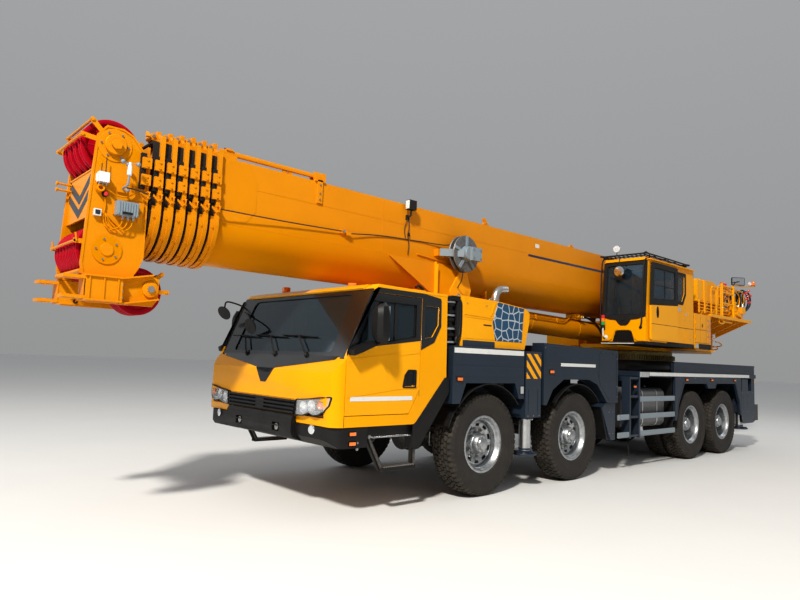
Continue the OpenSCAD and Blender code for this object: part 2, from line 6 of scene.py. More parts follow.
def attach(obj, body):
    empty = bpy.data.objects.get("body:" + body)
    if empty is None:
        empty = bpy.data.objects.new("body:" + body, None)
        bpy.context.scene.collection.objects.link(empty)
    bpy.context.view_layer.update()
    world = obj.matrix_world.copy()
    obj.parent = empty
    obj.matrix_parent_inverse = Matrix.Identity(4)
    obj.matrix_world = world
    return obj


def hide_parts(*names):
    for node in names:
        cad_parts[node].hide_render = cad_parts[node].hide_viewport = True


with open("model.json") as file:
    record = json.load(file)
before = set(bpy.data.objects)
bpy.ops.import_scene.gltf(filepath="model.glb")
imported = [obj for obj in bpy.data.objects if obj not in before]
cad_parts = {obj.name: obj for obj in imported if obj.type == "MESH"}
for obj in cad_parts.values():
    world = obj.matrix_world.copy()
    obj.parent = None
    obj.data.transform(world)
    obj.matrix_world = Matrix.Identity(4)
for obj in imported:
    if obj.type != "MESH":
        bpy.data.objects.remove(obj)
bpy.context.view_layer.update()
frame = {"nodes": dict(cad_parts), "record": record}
NODES = frame["nodes"]
BODY_OF = {n: b for b, ns in frame["record"]["behaviour"]["bodies"].items() for n in ns}
X0 = 2.365            # the CAD's shift: x is written from the first axle everywhere below
random.seed(11)

# ------------------------------------------------------------------ camera
def cam_rot(yaw, pitch, roll):
    f = Vector((cos(yaw) * cos(pitch), sin(yaw) * cos(pitch), sin(pitch)))
    r = Vector((sin(yaw), -cos(yaw), 0.0))
    d = f.cross(r)
    c, s = cos(roll), sin(roll)
    return c * r + s * d, -s * r + c * d, f

right, down, fwd = cam_rot(radians(-132.10), radians(5.36), radians(-2.13))
cam_data = bpy.data.cameras.new("camera")
cam = bpy.data.objects.new("camera", cam_data)
bpy.context.scene.collection.objects.link(cam)
up, back = -down, -fwd
cam.matrix_world = Matrix(((right.x, up.x, back.x, 5.988 + X0), (right.y, up.y, back.y, 6.316), (right.z, up.z, back.z, 1.591), (0, 0, 0, 1)))
cam_data.sensor_width = 36.0
cam_data.lens = 632.7 * 36.0 / 800.0
cam_data.clip_end = 400.0
bpy.context.scene.camera = cam

# ------------------------------------------------------------------ materials
class NT:
    """Small node builder on one material."""
    def __init__(self, name):
        self.m = bpy.data.materials.new(name)
        self.m.use_nodes = True
        self.t = self.m.node_tree
        self.b = self.t.nodes["Principled BSDF"]
        self.co = None
    def n(self, kind, **kw):
        o = self.t.nodes.new(kind)
        for k, v in kw.items():
            setattr(o, k, v)
        return o
    def link(self, a, b):
        self.t.links.new(a, b)
    def obj(self):
        if self.co is None:
            self.co = self.n("ShaderNodeTexCoord").outputs["Object"]
        return self.co
    def scaled(self, s):
        o = self.n("ShaderNodeMapping")
        o.inputs["Scale"].default_value = s if hasattr(s, "__len__") else (s, s, s)
        self.link(self.obj(), o.inputs["Vector"])
        return o.outputs["Vector"]
    def noise(self, scale, detail=4.0, rough=0.55, vec=None):
        o = self.n("ShaderNodeTexNoise")
        o.inputs["Scale"].default_value = scale
        o.inputs["Detail"].default_value = detail
        o.inputs["Roughness"].default_value = rough
        self.link(vec if vec is not None else self.obj(), o.inputs["Vector"])
        return o.outputs["Fac"]
    def ramp(self, fac, stops, interp="LINEAR"):
        o = self.n("ShaderNodeValToRGB")
        cr = o.color_ramp
        cr.interpolation = interp
        while len(cr.elements) > 1:
            cr.elements.remove(cr.elements[-1])
        cr.elements[0].position = stops[0][0]
        cr.elements[0].color = (*stops[0][1], 1) if len(stops[0][1]) == 3 else stops[0][1]
        for p, c in stops[1:]:
            e = cr.elements.new(p)
            e.color = (*c, 1) if len(c) == 3 else c
        self.link(fac, o.inputs["Fac"])
        return o.outputs["Color"]
    def math(self, op, a, b=None, clamp=False):
        o = self.n("ShaderNodeMath", operation=op)
        o.use_clamp = clamp
        for i, v in enumerate((a, b)):
            if v is None:
                continue
            if isinstance(v, (int, float)):
                o.inputs[i].default_value = v
            else:
                self.link(v, o.inputs[i])
        return o.outputs[0]
    def mix(self, fac, a, b, mode="MIX"):
        o = self.n("ShaderNodeMix", data_type="RGBA", blend_type=mode)
        for i, v in ((0, fac), (6, a), (7, b)):
            if isinstance(v, (int, float)):
                o.inputs[i].default_value = v
            elif isinstance(v, (tuple, list)):
                o.inputs[i].default_value = (*v, 1) if len(v) == 3 else v
            else:
                self.link(v, o.inputs[i])
        return o.outputs[2]
    def xyz(self):
        o = self.n("ShaderNodeSeparateXYZ")
        self.link(self.obj(), o.inputs[0])
        return o.outputs
    def bump(self, h, strength, dist, under=None):
        o = self.n("ShaderNodeBump")
        o.inputs["Strength"].default_value = strength
        o.inputs["Distance"].default_value = dist
        self.link(h, o.inputs["Height"])
        if under is not None:
            self.link(under, o.inputs["Normal"])
        self.link(o.outputs["Normal"], self.b.inputs["Normal"])
        return o.outputs["Normal"]
    def set(self, **kw):
        names = {"rough": "Roughness", "metal": "Metallic", "coat": "Coat Weight", "coat_rough": "Coat Roughness", "ior": "IOR", "spec": "Specular IOR Level", "trans": "Transmission Weight", "alpha": "Alpha", "emis": "Emission Strength"}
        for k, v in kw.items():
            self.b.inputs[names[k]].default_value = v
        return self

def convex_edge_lightening(t):
    """Bright on convex edges."""
    g = t.n("ShaderNodeNewGeometry")
    return t.ramp(g.outputs["Pointiness"], [(0.52, (0, 0, 0)), (0.60, (1, 1, 1))])

def paint(name, col, rough=0.32, coat=0.35, dust=0.10, dust_col=(0.33, 0.28, 0.22), low=0.9, var=0.05, peel=0.05, edge_lightening=0.12):
    t = NT(name)
    n1 = t.noise(1.3, 5)
    n2 = t.noise(38.0, 6, 0.65)
    base = t.mix(t.ramp(n1, [(0.3, (0, 0, 0)), (0.7, (1, 1, 1))]), tuple(c * (1 - var) for c in col), tuple(min(1, c * (1 + var)) for c in col))
    # road dust that thickens towards the ground
    z = t.xyz()[2]
    h = t.ramp(t.math("DIVIDE", z, 3.8), [(0.0, (1, 1, 1)), (low / 3.8, (0.45, 0.45, 0.45)), (min(0.99, (low + 1.0) / 3.8), (0.10, 0.10, 0.10))])
    fac = t.math("MULTIPLY", t.math("MULTIPLY", h, t.ramp(n2, [(0.35, (0.25,) * 3), (0.75, (1, 1, 1))])), dust, True)
    c2 = t.mix(fac, base, dust_col)
    # convex edges mixed towards a brighter copy of the paint colour
    c3 = t.mix(t.math("MULTIPLY", convex_edge_lightening(t), edge_lightening), c2, tuple(min(1, c * 1.5 + 0.06) for c in col))
    t.link(c3, t.b.inputs["Base Color"])
    r = t.math("ADD", t.math("MULTIPLY", t.noise(9.0, 5), 0.16), rough - 0.08)
    t.link(t.math("ADD", r, t.math("MULTIPLY", fac, 0.6), True), t.b.inputs["Roughness"])
    t.bump(t.noise(210.0, 2), peel, 0.0006)
    t.set(coat=coat, coat_rough=0.12)
    if max(col) > 0.2:
        t.b.inputs["Specular Tint"].default_value = tuple(c / max(col) for c in col) + (1.0,)
    return t.m

def metal(name, col, rough=0.35, grime=0.35, grime_col=(0.10, 0.085, 0.07), scale=14.0, brushed=None, metallic=1.0):
    t = NT(name)
    n = t.noise(scale, 6, 0.62)
    f = t.math("MULTIPLY", t.ramp(n, [(0.42, (0, 0, 0)), (0.75, (1, 1, 1))]), grime)
    t.link(t.mix(f, col, grime_col), t.b.inputs["Base Color"])
    t.link(t.math("ADD", t.math("MULTIPLY", n, 0.3), rough - 0.12, True), t.b.inputs["Roughness"])
    t.set(metal=metallic)
    v = t.scaled(brushed) if brushed else None
    t.bump(t.noise(90.0, 4, 0.6, v), 0.12, 0.0008)
    return t.m

def plastic(name, col, rough=0.5, grain=320.0, bump=0.18, dust=0.18, dust_col=(0.25, 0.22, 0.18)):
    t = NT(name)
    n = t.noise(4.5, 6, 0.6)
    z = t.xyz()[2]
    h = t.ramp(t.math("DIVIDE", z, 3.8), [(0.0, (1, 1, 1)), (0.3, (0.5,) * 3), (0.6, (0.25,) * 3)])
    f = t.math("MULTIPLY", t.math("MULTIPLY", t.ramp(n, [(0.35, (0.1,) * 3), (0.75, (1, 1, 1))]), h), dust, True)
    t.link(t.mix(f, col, dust_col), t.b.inputs["Base Color"])
    t.link(t.math("ADD", t.math("MULTIPLY", t.noise(16.0, 4), 0.2), rough - 0.1, True), t.b.inputs["Roughness"])
    t.set(spec=0.35)
    t.bump(t.noise(grain, 3, 0.5), bump, 0.0006)
    return t.m

def rubber(name, col=(0.022, 0.021, 0.020), dusty=(0.17, 0.145, 0.115), amount=0.5, rough=0.78):
    t = NT(name)
    n = t.noise(7.0, 7, 0.65)
    f = t.math("MULTIPLY", t.ramp(n, [(0.38, (0.15,) * 3), (0.72, (1, 1, 1))]), amount)
    t.link(t.mix(f, col, dusty), t.b.inputs["Base Color"])
    t.link(t.math("ADD", t.math("MULTIPLY", n, 0.18), rough - 0.1, True), t.b.inputs["Roughness"])
    t.bump(t.noise(120.0, 4), 0.2, 0.0012)
    return t.m

def glass(name, col=(0.55, 0.66, 0.70), rough=0.03, alpha=0.42):
    t = NT(name)
    n = t.noise(2.2, 4)
    t.link(t.mix(t.math("MULTIPLY", n, 0.25), col, tuple(c * 0.6 for c in col)), t.b.inputs["Base Color"])
    t.link(t.math("ADD", t.math("MULTIPLY", t.noise(24.0, 5), 0.06), rough, True), t.b.inputs["Roughness"])
    t.set(trans=0.0, ior=1.5, alpha=alpha, spec=0.9, coat=0.35, coat_rough=0.02)
    # every reflection on the glass is tinted blue: painted reflection of a blue sky
    t.b.inputs["Specular Tint"].default_value = (0.55, 0.80, 1.0, 1.0)
    return t.m

def lens(name, col, rough=0.12, emis=0.0, alpha=1.0):
    t = NT(name)
    v = t.n("ShaderNodeTexVoronoi")
    v.inputs["Scale"].default_value = 120.0
    t.link(t.obj(), v.inputs["Vector"])
    t.link(t.mix(t.math("MULTIPLY", v.outputs["Distance"], 0.5, True), col, tuple(min(1, c * 1.8 + 0.05) for c in col)), t.b.inputs["Base Color"])
    t.set(rough=rough, coat=1.0, coat_rough=0.04, alpha=alpha)
    t.bump(v.outputs["Distance"], 0.5, 0.0015)
    return t.m

YEL = (0.82, 0.350, 0.001)
M = {
    "yellow": paint("yellow_paint", YEL, rough=0.32, coat=0.08, dust=0.03, low=0.9, var=0.045),
    # boom yellow: the yellow paint made darker and more orange, a painted shade of the side-lit boom
    "boomyel": paint("boom_yellow_with_painted_shade", (0.60, 0.222, 0.0005), rough=0.38, coat=0.05, dust=0.015, low=0.5, var=0.06),
    "navy": paint("dark_blue_grey_paint", (0.0078, 0.0178, 0.0340), rough=0.40, coat=0.15, dust=0.09, low=1.1, var=0.10, dust_col=(0.16, 0.155, 0.15)),
    "black": paint("black_paint", (0.012, 0.012, 0.014), rough=0.42, coat=0.15, dust=0.35, low=1.0),
    "under": paint("chassis_paint", (0.012, 0.019, 0.030), rough=0.5, coat=0.08, dust=0.32, low=1.3, dust_col=(0.14, 0.12, 0.10)),
    "plastic": plastic("black_moulding", (0.0050, 0.0052, 0.0060), 0.50, dust=0.05),
    "gloss": paint("gloss_black_frame", (0.0055, 0.0062, 0.0075), rough=0.20, coat=0.5, dust=0.03, low=0.5, var=0.05),
    "softblack": plastic("seal_rubber", (0.010, 0.010, 0.010), 0.62, 200.0, 0.1, 0.10),
    "trim": plastic("cab_trim", (0.055, 0.057, 0.062), 0.65, 260.0, 0.3, 0.05),
    "fabric": plastic("seat_cloth", (0.030, 0.034, 0.045), 0.9, 700.0, 0.7, 0.06),
    "red": paint("dark_red_paint", (0.34, 0.002, 0.014), rough=0.38, coat=0.2, dust=0.08, low=0.4),
    "silver": metal("wheel_silver", (0.50, 0.52, 0.54), 0.36, 0.55, (0.13, 0.11, 0.09), 22.0),
    "steel": metal("bright_steel", (0.62, 0.63, 0.64), 0.30, 0.25),
    "cast": metal("raw_casting", (0.22, 0.22, 0.22), 0.55, 0.6, (0.05, 0.045, 0.04), 30.0, metallic=0.7),
    "chrome": metal("hard_chrome", (0.82, 0.83, 0.85), 0.14, 0.05, (0.4, 0.4, 0.4), 5.0, (1, 1, 60)),
    "gear": metal("greased_gear", (0.30, 0.24, 0.11), 0.42, 0.7, (0.06, 0.045, 0.02), 26.0),
    "exhaust": metal("exhaust_steel", (0.66, 0.65, 0.63), 0.28, 0.35, (0.25, 0.20, 0.14), 18.0),
    "rail": paint("blue_grey_rail_paint", (0.20, 0.245, 0.28), rough=0.42, coat=0.1, dust=0.35, low=1.0),
    "tank": paint("tank_grey_paint", (0.085, 0.092, 0.10), rough=0.38, coat=0.2, dust=0.45, low=1.1),
    "pale": paint("pale_grey_paint", (0.38, 0.40, 0.41), rough=0.45, coat=0.05, dust=0.2, low=1.0),
    "white": paint("white_tape", (0.66, 0.67, 0.66), rough=0.28, coat=0.5, dust=0.2, low=0.8),
    "tyre": rubber("tyre_rubber", (0.016, 0.014, 0.013), (0.050, 0.040, 0.031), 0.55, 0.70),
    "tread": rubber("tread_rubber", (0.020, 0.018, 0.016), (0.105, 0.085, 0.062), 0.60, 0.82),
    "hose": rubber("hose_rubber", (0.012, 0.012, 0.012), (0.07, 0.065, 0.06), 0.25, 0.55),
    # its blue is partly the glass's own tint and partly painted reflection of the sky
    "glass": glass("tint_and_painted_sky_glass", (0.016, 0.036, 0.056), 0.03, 0.60),
    "dglass": glass("dark_glass", (0.012, 0.018, 0.022), 0.03, 0.80),
    "clear": glass("lamp_glass", (0.75, 0.78, 0.80), 0.04, 0.22),
    "mirror": metal("mirror_glass", (0.78, 0.80, 0.82), 0.06, 0.05, (0.5, 0.5, 0.5), 3.0),
    "orange": lens("orange_lens", (0.85, 0.16, 0.008)),
    "redlens": lens("red_lens", (0.55, 0.01, 0.01)),
    "greenlens": lens("green_lens", (0.01, 0.30, 0.05)),
    "whitelens": lens("white_lens", (0.75, 0.76, 0.78)),
    "reflector": metal("lamp_reflector", (0.85, 0.86, 0.88), 0.10, 0.05, (0.6, 0.6, 0.6), 8.0),
    "rope": metal("wire_rope", (0.20, 0.19, 0.175), 0.45, 0.5, (0.05, 0.045, 0.035), 60.0),
    "bolt": metal("zinc_bolts", (0.45, 0.45, 0.43), 0.40, 0.45),
}

# ------------------------------------------------------------------ mesh builder
def radial_pair(outer, inner):
    """Both outlines cut at the same angles round the middle of the inner one."""
    ctr = Vector((sum(p[0] for p in inner) / len(inner), sum(p[1] for p in inner) / len(inner)))
    def hit(pts, a):
        dr, best = Vector((cos(a), sin(a))), None
        for i in range(len(pts)):
            p, q = Vector(pts[i]) - ctr, Vector(pts[(i + 1) % len(pts)]) - ctr
            e = q - p
            den = dr.x * e.y - dr.y * e.x
            if abs(den) < 1e-12:
                continue
            t = (p.x * e.y - p.y * e.x) / den
            u = (p.x * dr.y - p.y * dr.x) / den
            if t > 0 and -1e-5 <= u <= 1 + 1e-5:
                best = t if best is None else max(best, t)
        return ctr + dr * (best or 0.0)
    angs = sorted({round(math.atan2(p[1] - ctr.y, p[0] - ctr.x) % (2 * pi), 5) for p in list(outer) + list(inner)})
    return [tuple(hit(outer, a)) for a in angs], [tuple(hit(inner, a)) for a in angs]

class B:
    """Collects solids in one mesh; x is counted from the first axle."""
    def __init__(self, name, body, mats, replaces=None, bevel=0.003, segs=2, angle=32, smooth=38):
        self.name, self.body, self.mats = name, body, mats if isinstance(mats, (list, tuple)) else [mats]
        self.rep = replaces or []
        self.bm = bmesh.new()
        self.bevel, self.segs, self.angle, self.smooth = bevel, segs, angle, smooth
    def mi(self, m):
        if m is None:
            return 0
        if m not in self.mats:
            self.mats = list(self.mats) + [m]
        return self.mats.index(m)
    def faces(self, verts, faces, m=None):
        i = self.mi(m)
        vs = [self.bm.verts.new((v[0] + X0, v[1], v[2])) for v in verts]
        out = []
        for f in faces:
            try:
                fc = self.bm.faces.new([vs[k] for k in f])
                fc.material_index = i
                out.append(fc)
            except ValueError:
                pass
        return out
    def box(self, x0, x1, y0, y1, z0, z1, m=None):
        v = [(x0, y0, z0), (x1, y0, z0), (x1, y1, z0), (x0, y1, z0), (x0, y0, z1), (x1, y0, z1), (x1, y1, z1), (x0, y1, z1)]
        self.faces(v, [(0, 3, 2, 1), (4, 5, 6, 7), (0, 1, 5, 4), (1, 2, 6, 5), (2, 3, 7, 6), (3, 0, 4, 7)], m)
        return self
    def obox(self, c, ax, ay, az, hx, hy, hz, m=None):
        """Box about c with half sizes along three unit directions."""
        c, ax, ay, az = Vector(c), Vector(ax).normalized(), Vector(ay).normalized(), Vector(az).normalized()
        v = [c + sx * hx * ax + sy * hy * ay + sz * hz * az for sz in (-1, 1) for sx, sy in ((-1, -1), (1, -1), (1, 1), (-1, 1))]
        fl = [(0, 3, 2, 1), (4, 5, 6, 7), (0, 1, 5, 4), (1, 2, 6, 5), (2, 3, 7, 6), (3, 0, 4, 7)]
        if ax.cross(ay).dot(az) < 0:
            fl = [tuple(reversed(f)) for f in fl]
        self.faces(v, fl, m)
        return self
    def prism(self, pts, a, b, plane="xz", m=None):
        """Outline in a plane, extruded between a and b on the third axis."""
        n = len(pts)
        area = sum(pts[i][0] * pts[(i + 1) % n][1] - pts[(i + 1) % n][0] * pts[i][1] for i in range(n))
        if area < 0:
            pts = list(reversed(pts))
        if a > b:
            a, b = b, a
        put = {"xz": lambda p, t: (p[0], t, p[1]), "yz": lambda p, t: (t, p[0], p[1]), "xy": lambda p, t: (p[0], p[1], t)}[plane]
        v = [put(p, a) for p in pts] + [put(p, b) for p in pts]
        f = [tuple(range(n)), tuple(reversed(range(n, 2 * n)))] + [(i, i + n, (i + 1) % n + n, (i + 1) % n) for i in range(n)]
        if plane != "xz":
            f = [tuple(reversed(q)) for q in f]
        self.faces(v, f, m)
        return self
    def ring(self, outer, inner, a, b, plane="xz", m=None):
        """Frame between two outlines, extruded between a and b."""
        if len(outer) != len(inner):
            outer, inner = radial_pair(outer, inner)
        n = len(outer)
        put = {"xz": lambda p, t: (p[0], t, p[1]), "yz": lambda p, t: (t, p[0], p[1]), "xy": lambda p, t: (p[0], p[1], t)}[plane]
        if a > b:
            a, b = b, a
        v = [put(p, a) for p in outer] + [put(p, a) for p in inner] + [put(p, b) for p in outer] + [put(p, b) for p in inner]
        f = []
        for i in range(n):
            j = (i + 1) % n
            f += [(i, j, n + j, n + i), (2 * n + i, 3 * n + i, 3 * n + j, 2 * n + j), (i, 2 * n + i, 2 * n + j, j), (n + i, n + j, 3 * n + j, 3 * n + i)]
        self.faces(v, f, m)
        return self
    def cyl(self, p0, p1, r, m=None, seg=20, r1=None, caps=True):
        p0, p1 = Vector(p0), Vector(p1)
        r1 = r if r1 is None else r1
        d = (p1 - p0).normalized()
        u = d.orthogonal().normalized()
        w = d.cross(u)
        v = [p0 + r * (cos(2 * pi * i / seg) * u + sin(2 * pi * i / seg) * w) for i in range(seg)]
        v += [p1 + r1 * (cos(2 * pi * i / seg) * u + sin(2 * pi * i / seg) * w) for i in range(seg)]
        f = [(i, (i + 1) % seg, (i + 1) % seg + seg, i + seg) for i in range(seg)]
        if caps:
            f += [tuple(reversed(range(seg))), tuple(range(seg, 2 * seg))]
        self.faces(v, f, m)
        return self
    def lathe(self, prof, origin, axis, m=None, seg=32, closed=False, ref=None, a0=0.0, a1=2 * pi):
        """prof: (distance along the axis, radius) pairs."""
        o, d = Vector(origin), Vector(axis).normalized()
        u = (Vector(ref) if ref else d.orthogonal()).normalized()
        w = d.cross(u)
        full = abs(a1 - a0 - 2 * pi) < 1e-6
        ns = seg if full else seg + 1
        v = []
        for h, r in prof:
            for i in range(ns):
                a = a0 + (a1 - a0) * i / seg
                v.append(o + h * d + r * (cos(a) * u + sin(a) * w))
        f = []
        k = len(prof)
        for j in range(k if closed else k - 1):
            j2 = (j + 1) % k
            for i in range(seg):
                i2 = (i + 1) % ns
                f.append((j * ns + i, j * ns + i2, j2 * ns + i2, j2 * ns + i))
        self.faces(v, f, m)
        if not closed:
            if prof[0][1] > 1e-5 and full:
                self.faces([v[i] for i in range(ns)], [tuple(reversed(range(ns)))], m)
            if prof[-1][1] > 1e-5 and full:
                self.faces([v[(k - 1) * ns + i] for i in range(ns)], [tuple(range(ns))], m)
        return self
    def tube(self, pts, r, m=None, seg=10, closed=False, sub=0):
        pts = [Vector(p) for p in pts]
        if sub:
            pts = spline(pts, sub, closed)
        n = len(pts)
        rs = r if hasattr(r, "__len__") else [r] * n
        tang = []
        for i in range(n):
            a = pts[(i - 1) % n] if (closed or i > 0) else pts[i]
            b = pts[(i + 1) % n] if (closed or i < n - 1) else pts[i]
            tang.append((b - a).normalized())
        u = tang[0].orthogonal().normalized()
        v = []
        for i in range(n):
            t = tang[i]
            u = (u - t * u.dot(t)).normalized()
            w = t.cross(u)
            # keep the tube's width round a corner
            k = 1.0
            if 0 < i < n - 1 or closed:
                e = (pts[i] - pts[(i - 1) % n]).normalized()
                k = 1.0 / max(0.6, e.dot(t))
            for s in range(seg):
                a = 2 * pi * s / seg
                v.append(pts[i] + rs[min(i, len(rs) - 1)] * k * (cos(a) * u + sin(a) * w))
        f = []
        for i in range(n if closed else n - 1):
            j = (i + 1) % n
            for s in range(seg):
                s2 = (s + 1) % seg
                f.append((i * seg + s, i * seg + s2, j * seg + s2, j * seg + s))
        if not closed:
            f += [tuple(reversed(range(seg))), tuple(range((n - 1) * seg, n * seg))]
        self.faces(v, f, m)
        return self
    def sphere(self, c, r, m=None, seg=16, rings=10, sc=(1, 1, 1)):
        c = Vector(c)
        v = [c + Vector((0, 0, r * sc[2]))]
        for i in range(1, rings):
            a = pi * i / rings
            for j in range(seg):
                b = 2 * pi * j / seg
                v.append(c + Vector((r * sc[0] * sin(a) * cos(b), r * sc[1] * sin(a) * sin(b), r * sc[2] * cos(a))))
        v.append(c + Vector((0, 0, -r * sc[2])))
        f = [(0, 1 + j, 1 + (j + 1) % seg) for j in range(seg)]
        for i in range(rings - 2):
            for j in range(seg):
                a, b = 1 + i * seg + j, 1 + i * seg + (j + 1) % seg
                f.append((a, a + seg, b + seg, b))
        e = len(v) - 1
        f += [(e, e - seg + (j + 1) % seg, e - seg + j) for j in range(seg)]
        self.faces(v, f, m)
        return self
    def nut(self, c, axis, r=0.014, h=0.010, m=None, washer=True):
        c, d = Vector(c), Vector(axis).normalized()
        if washer:
            self.cyl(c, c + d * h * 0.25, r * 1.45, m, 12)
        self.cyl(c + d * h * 0.2, c + d * h, r, m, 6)
        return self
    def mesh_copy(self, node, pick=None, m=None):
        """Brings a CAD node's mesh in, with its flat faces merged."""
        src = NODES[node].data
        bm2 = bmesh.new()
        bm2.from_mesh(src)
        bmesh.ops.remove_doubles(bm2, verts=bm2.verts, dist=2e-5)
        bmesh.ops.dissolve_limit(bm2, angle_limit=radians(0.6), verts=bm2.verts, edges=bm2.edges)
        bm2.verts.index_update()
        bm2.normal_update()
        idx = self.mi(m)
        vm = {}
        for f in bm2.faces:
            vs = []
            for v in f.verts:
                if v.index not in vm:
                    vm[v.index] = self.bm.verts.new(v.co)
                vs.append(vm[v.index])
            try:
                nf = self.bm.faces.new(vs)
            except ValueError:
                continue
            c = f.calc_center_median()
            nf.material_index = self.mi(pick(Vector((c.x - X0, c.y, c.z)), f.normal)) if pick else idx
        bm2.free()
        return self
    def done(self, slot=None):
        me = bpy.data.meshes.new(self.name)
        bmesh.ops.recalc_face_normals(self.bm, faces=self.bm.faces)
        self.bm.to_mesh(me)
        self.bm.free()
        for k in self.mats:
            me.materials.append(M[k])
        for p in me.polygons:
            p.use_smooth = True
        o = bpy.data.objects.new(self.name, me)
        bpy.context.scene.collection.objects.link(o)
        if self.bevel:
            md = o.modifiers.new("soft_edges", "BEVEL")
            md.width = self.bevel
            md.segments = 1 if self.bevel <= 0.006 else self.segs
            md.limit_method = "ANGLE"
            md.angle_limit = radians(self.angle)
            md.use_clamp_overlap = True
            md.harden_normals = True
        me.set_sharp_from_angle(angle=radians(self.smooth))
        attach(o, self.body)
        if self.rep:
            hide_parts(*self.rep)
        return o

def spline(pts, sub, closed=False):
    """Catmull-Rom through the points."""
    pts = [Vector(p) for p in pts]
    out, n = [], len(pts)
    rng = range(n if closed else n - 1)
    for i in rng:
        p0 = pts[(i - 1) % n] if (closed or i > 0) else pts[0] * 2 - pts[1]
        p1, p2 = pts[i], pts[(i + 1) % n]
        p3 = pts[(i + 2) % n] if (closed or i < n - 2) else pts[-1] * 2 - pts[-2]
        for k in range(sub):
            t = k / sub
            out.append(0.5 * ((2 * p1) + (p2 - p0) * t + (2 * p0 - 5 * p1 + 4 * p2 - p3) * t * t + (3 * p1 - p0 - 3 * p2 + p3) * t ** 3))
    if not closed:
        out.append(pts[-1])
    return out

def mir(pts):
    return [(p[0], -p[1], p[2]) for p in pts]

def inset(pts, d):
    """Moves a closed outline inwards by d."""
    n = len(pts)
    area = sum(pts[i][0] * pts[(i + 1) % n][1] - pts[(i + 1) % n][0] * pts[i][1] for i in range(n))
    s = 1 if area > 0 else -1
    out = []
    for i in range(n):
        p0, p1, p2 = Vector(pts[i - 1]), Vector(pts[i]), Vector(pts[(i + 1) % n])
        a, b = (p1 - p0).normalized(), (p2 - p1).normalized()
        na, nb = Vector((-a.y, a.x)) * s, Vector((-b.y, b.x)) * s
        k = na + nb
        k = k / max(0.3, k.dot(na)) if k.length > 1e-6 else na
        out.append((p1.x + k.x * d, p1.y + k.y * d))
    return out

def round_poly(pts, r, k=4):
    """Rounds every corner of an outline with radius r (or a list)."""
    n = len(pts)
    out = []
    for i in range(n):
        rr = r[i] if hasattr(r, "__len__") else r
        p0, p1, p2 = Vector(pts[i - 1]), Vector(pts[i]), Vector(pts[(i + 1) % n])
        a, b = (p0 - p1), (p2 - p1)
        la, lb = a.length, b.length
        a.normalize(); b.normalize()
        ang = a.angle(b)
        t = min(rr / math.tan(ang / 2) if ang > 0.05 else 0, la * 0.48, lb * 0.48)
        q0, q2 = p1 + a * t, p1 + b * t
        for j in range(k + 1):
            s = j / k
            q = (1 - s) ** 2 * q0 + 2 * s * (1 - s) * p1 + s * s * q2
            out.append((q.x, q.y))
    return out

def skin(node, m, bevel=0.003, pick=None, name=None, segs=2, angle=32):
    """A CAD node's own shape with softened edges and a finish."""
    b = B(name or node + "_skin", BODY_OF[node], m, [node], bevel=bevel, segs=segs, angle=angle)
    b.mesh_copy(node, pick)
    return b

def clip_z(poly, z0, z1):
    """Cuts an outline to a band of its second coordinate."""
    def cut(pts, lim, keep_above):
        out = []
        for i in range(len(pts)):
            a, c = pts[i], pts[(i + 1) % len(pts)]
            ia = (a[1] >= lim) if keep_above else (a[1] <= lim)
            ic = (c[1] >= lim) if keep_above else (c[1] <= lim)
            if ia:
                out.append(a)
            if ia != ic:
                t = (lim - a[1]) / (c[1] - a[1])
                out.append((a[0] + t * (c[0] - a[0]), lim))
        return out
    q = cut(poly, z0, True)
    q = cut(q, z1, False) if len(q) > 2 else []
    return q if len(q) > 2 else None

def at_y(s, y, t):
    """Lowest and highest y of a plate of thickness t that lies on the outer face y of side s."""
    return (y, y + t) if s > 0 else (-y - t, -y)

def strip(b, x0, x1, z0, z1, y, s, m, t=0.003):
    a, c = at_y(s, y, t)
    b.box(x0, x1, a, c, z0, z1, m)

def lamp_side(b, x, z, y, s, w=0.075, h=0.034, m="orange"):
    """Small side marker lamp in its dark base."""
    a, c = at_y(s, y, 0.010)
    b.box(x - w / 2 - 0.012, x + w / 2 + 0.012, a, c, z - h / 2 - 0.010, z + h / 2 + 0.010, "softblack")
    a, c = at_y(s, y + 0.009, 0.013)
    b.box(x - w / 2, x + w / 2, a, c, z - h / 2, z + h / 2, m)

def fade_paint(name, c0, c1, x0, x1):
    """Stripe paint that turns from one colour to the other along X."""
    t = NT(name)
    f = t.ramp(t.math("DIVIDE", t.math("SUBTRACT", t.xyz()[0], x0), x1 - x0, True), [(0.0, (0, 0, 0)), (1.0, (1, 1, 1))])
    t.link(t.mix(f, c0, c1), t.b.inputs["Base Color"])
    t.link(t.math("ADD", t.math("MULTIPLY", t.noise(12.0, 4), 0.15), 0.30), t.b.inputs["Roughness"])
    t.bump(t.noise(200.0, 2), 0.05, 0.0005)
    t.set(coat=0.3, coat_rough=0.12)
    return t.m
M["boomblue"] = fade_paint("blue_stripe_paint", (0.0, 0.085, 0.20), (0.008, 0.012, 0.045), -4.4 + X0, -2.2 + X0)


# ------------------------------------------------------------------ wheels
AX = [0.0, -1.92, -5.79, -7.21]
TR, TW, WY = 0.613, 0.315, 1.1545

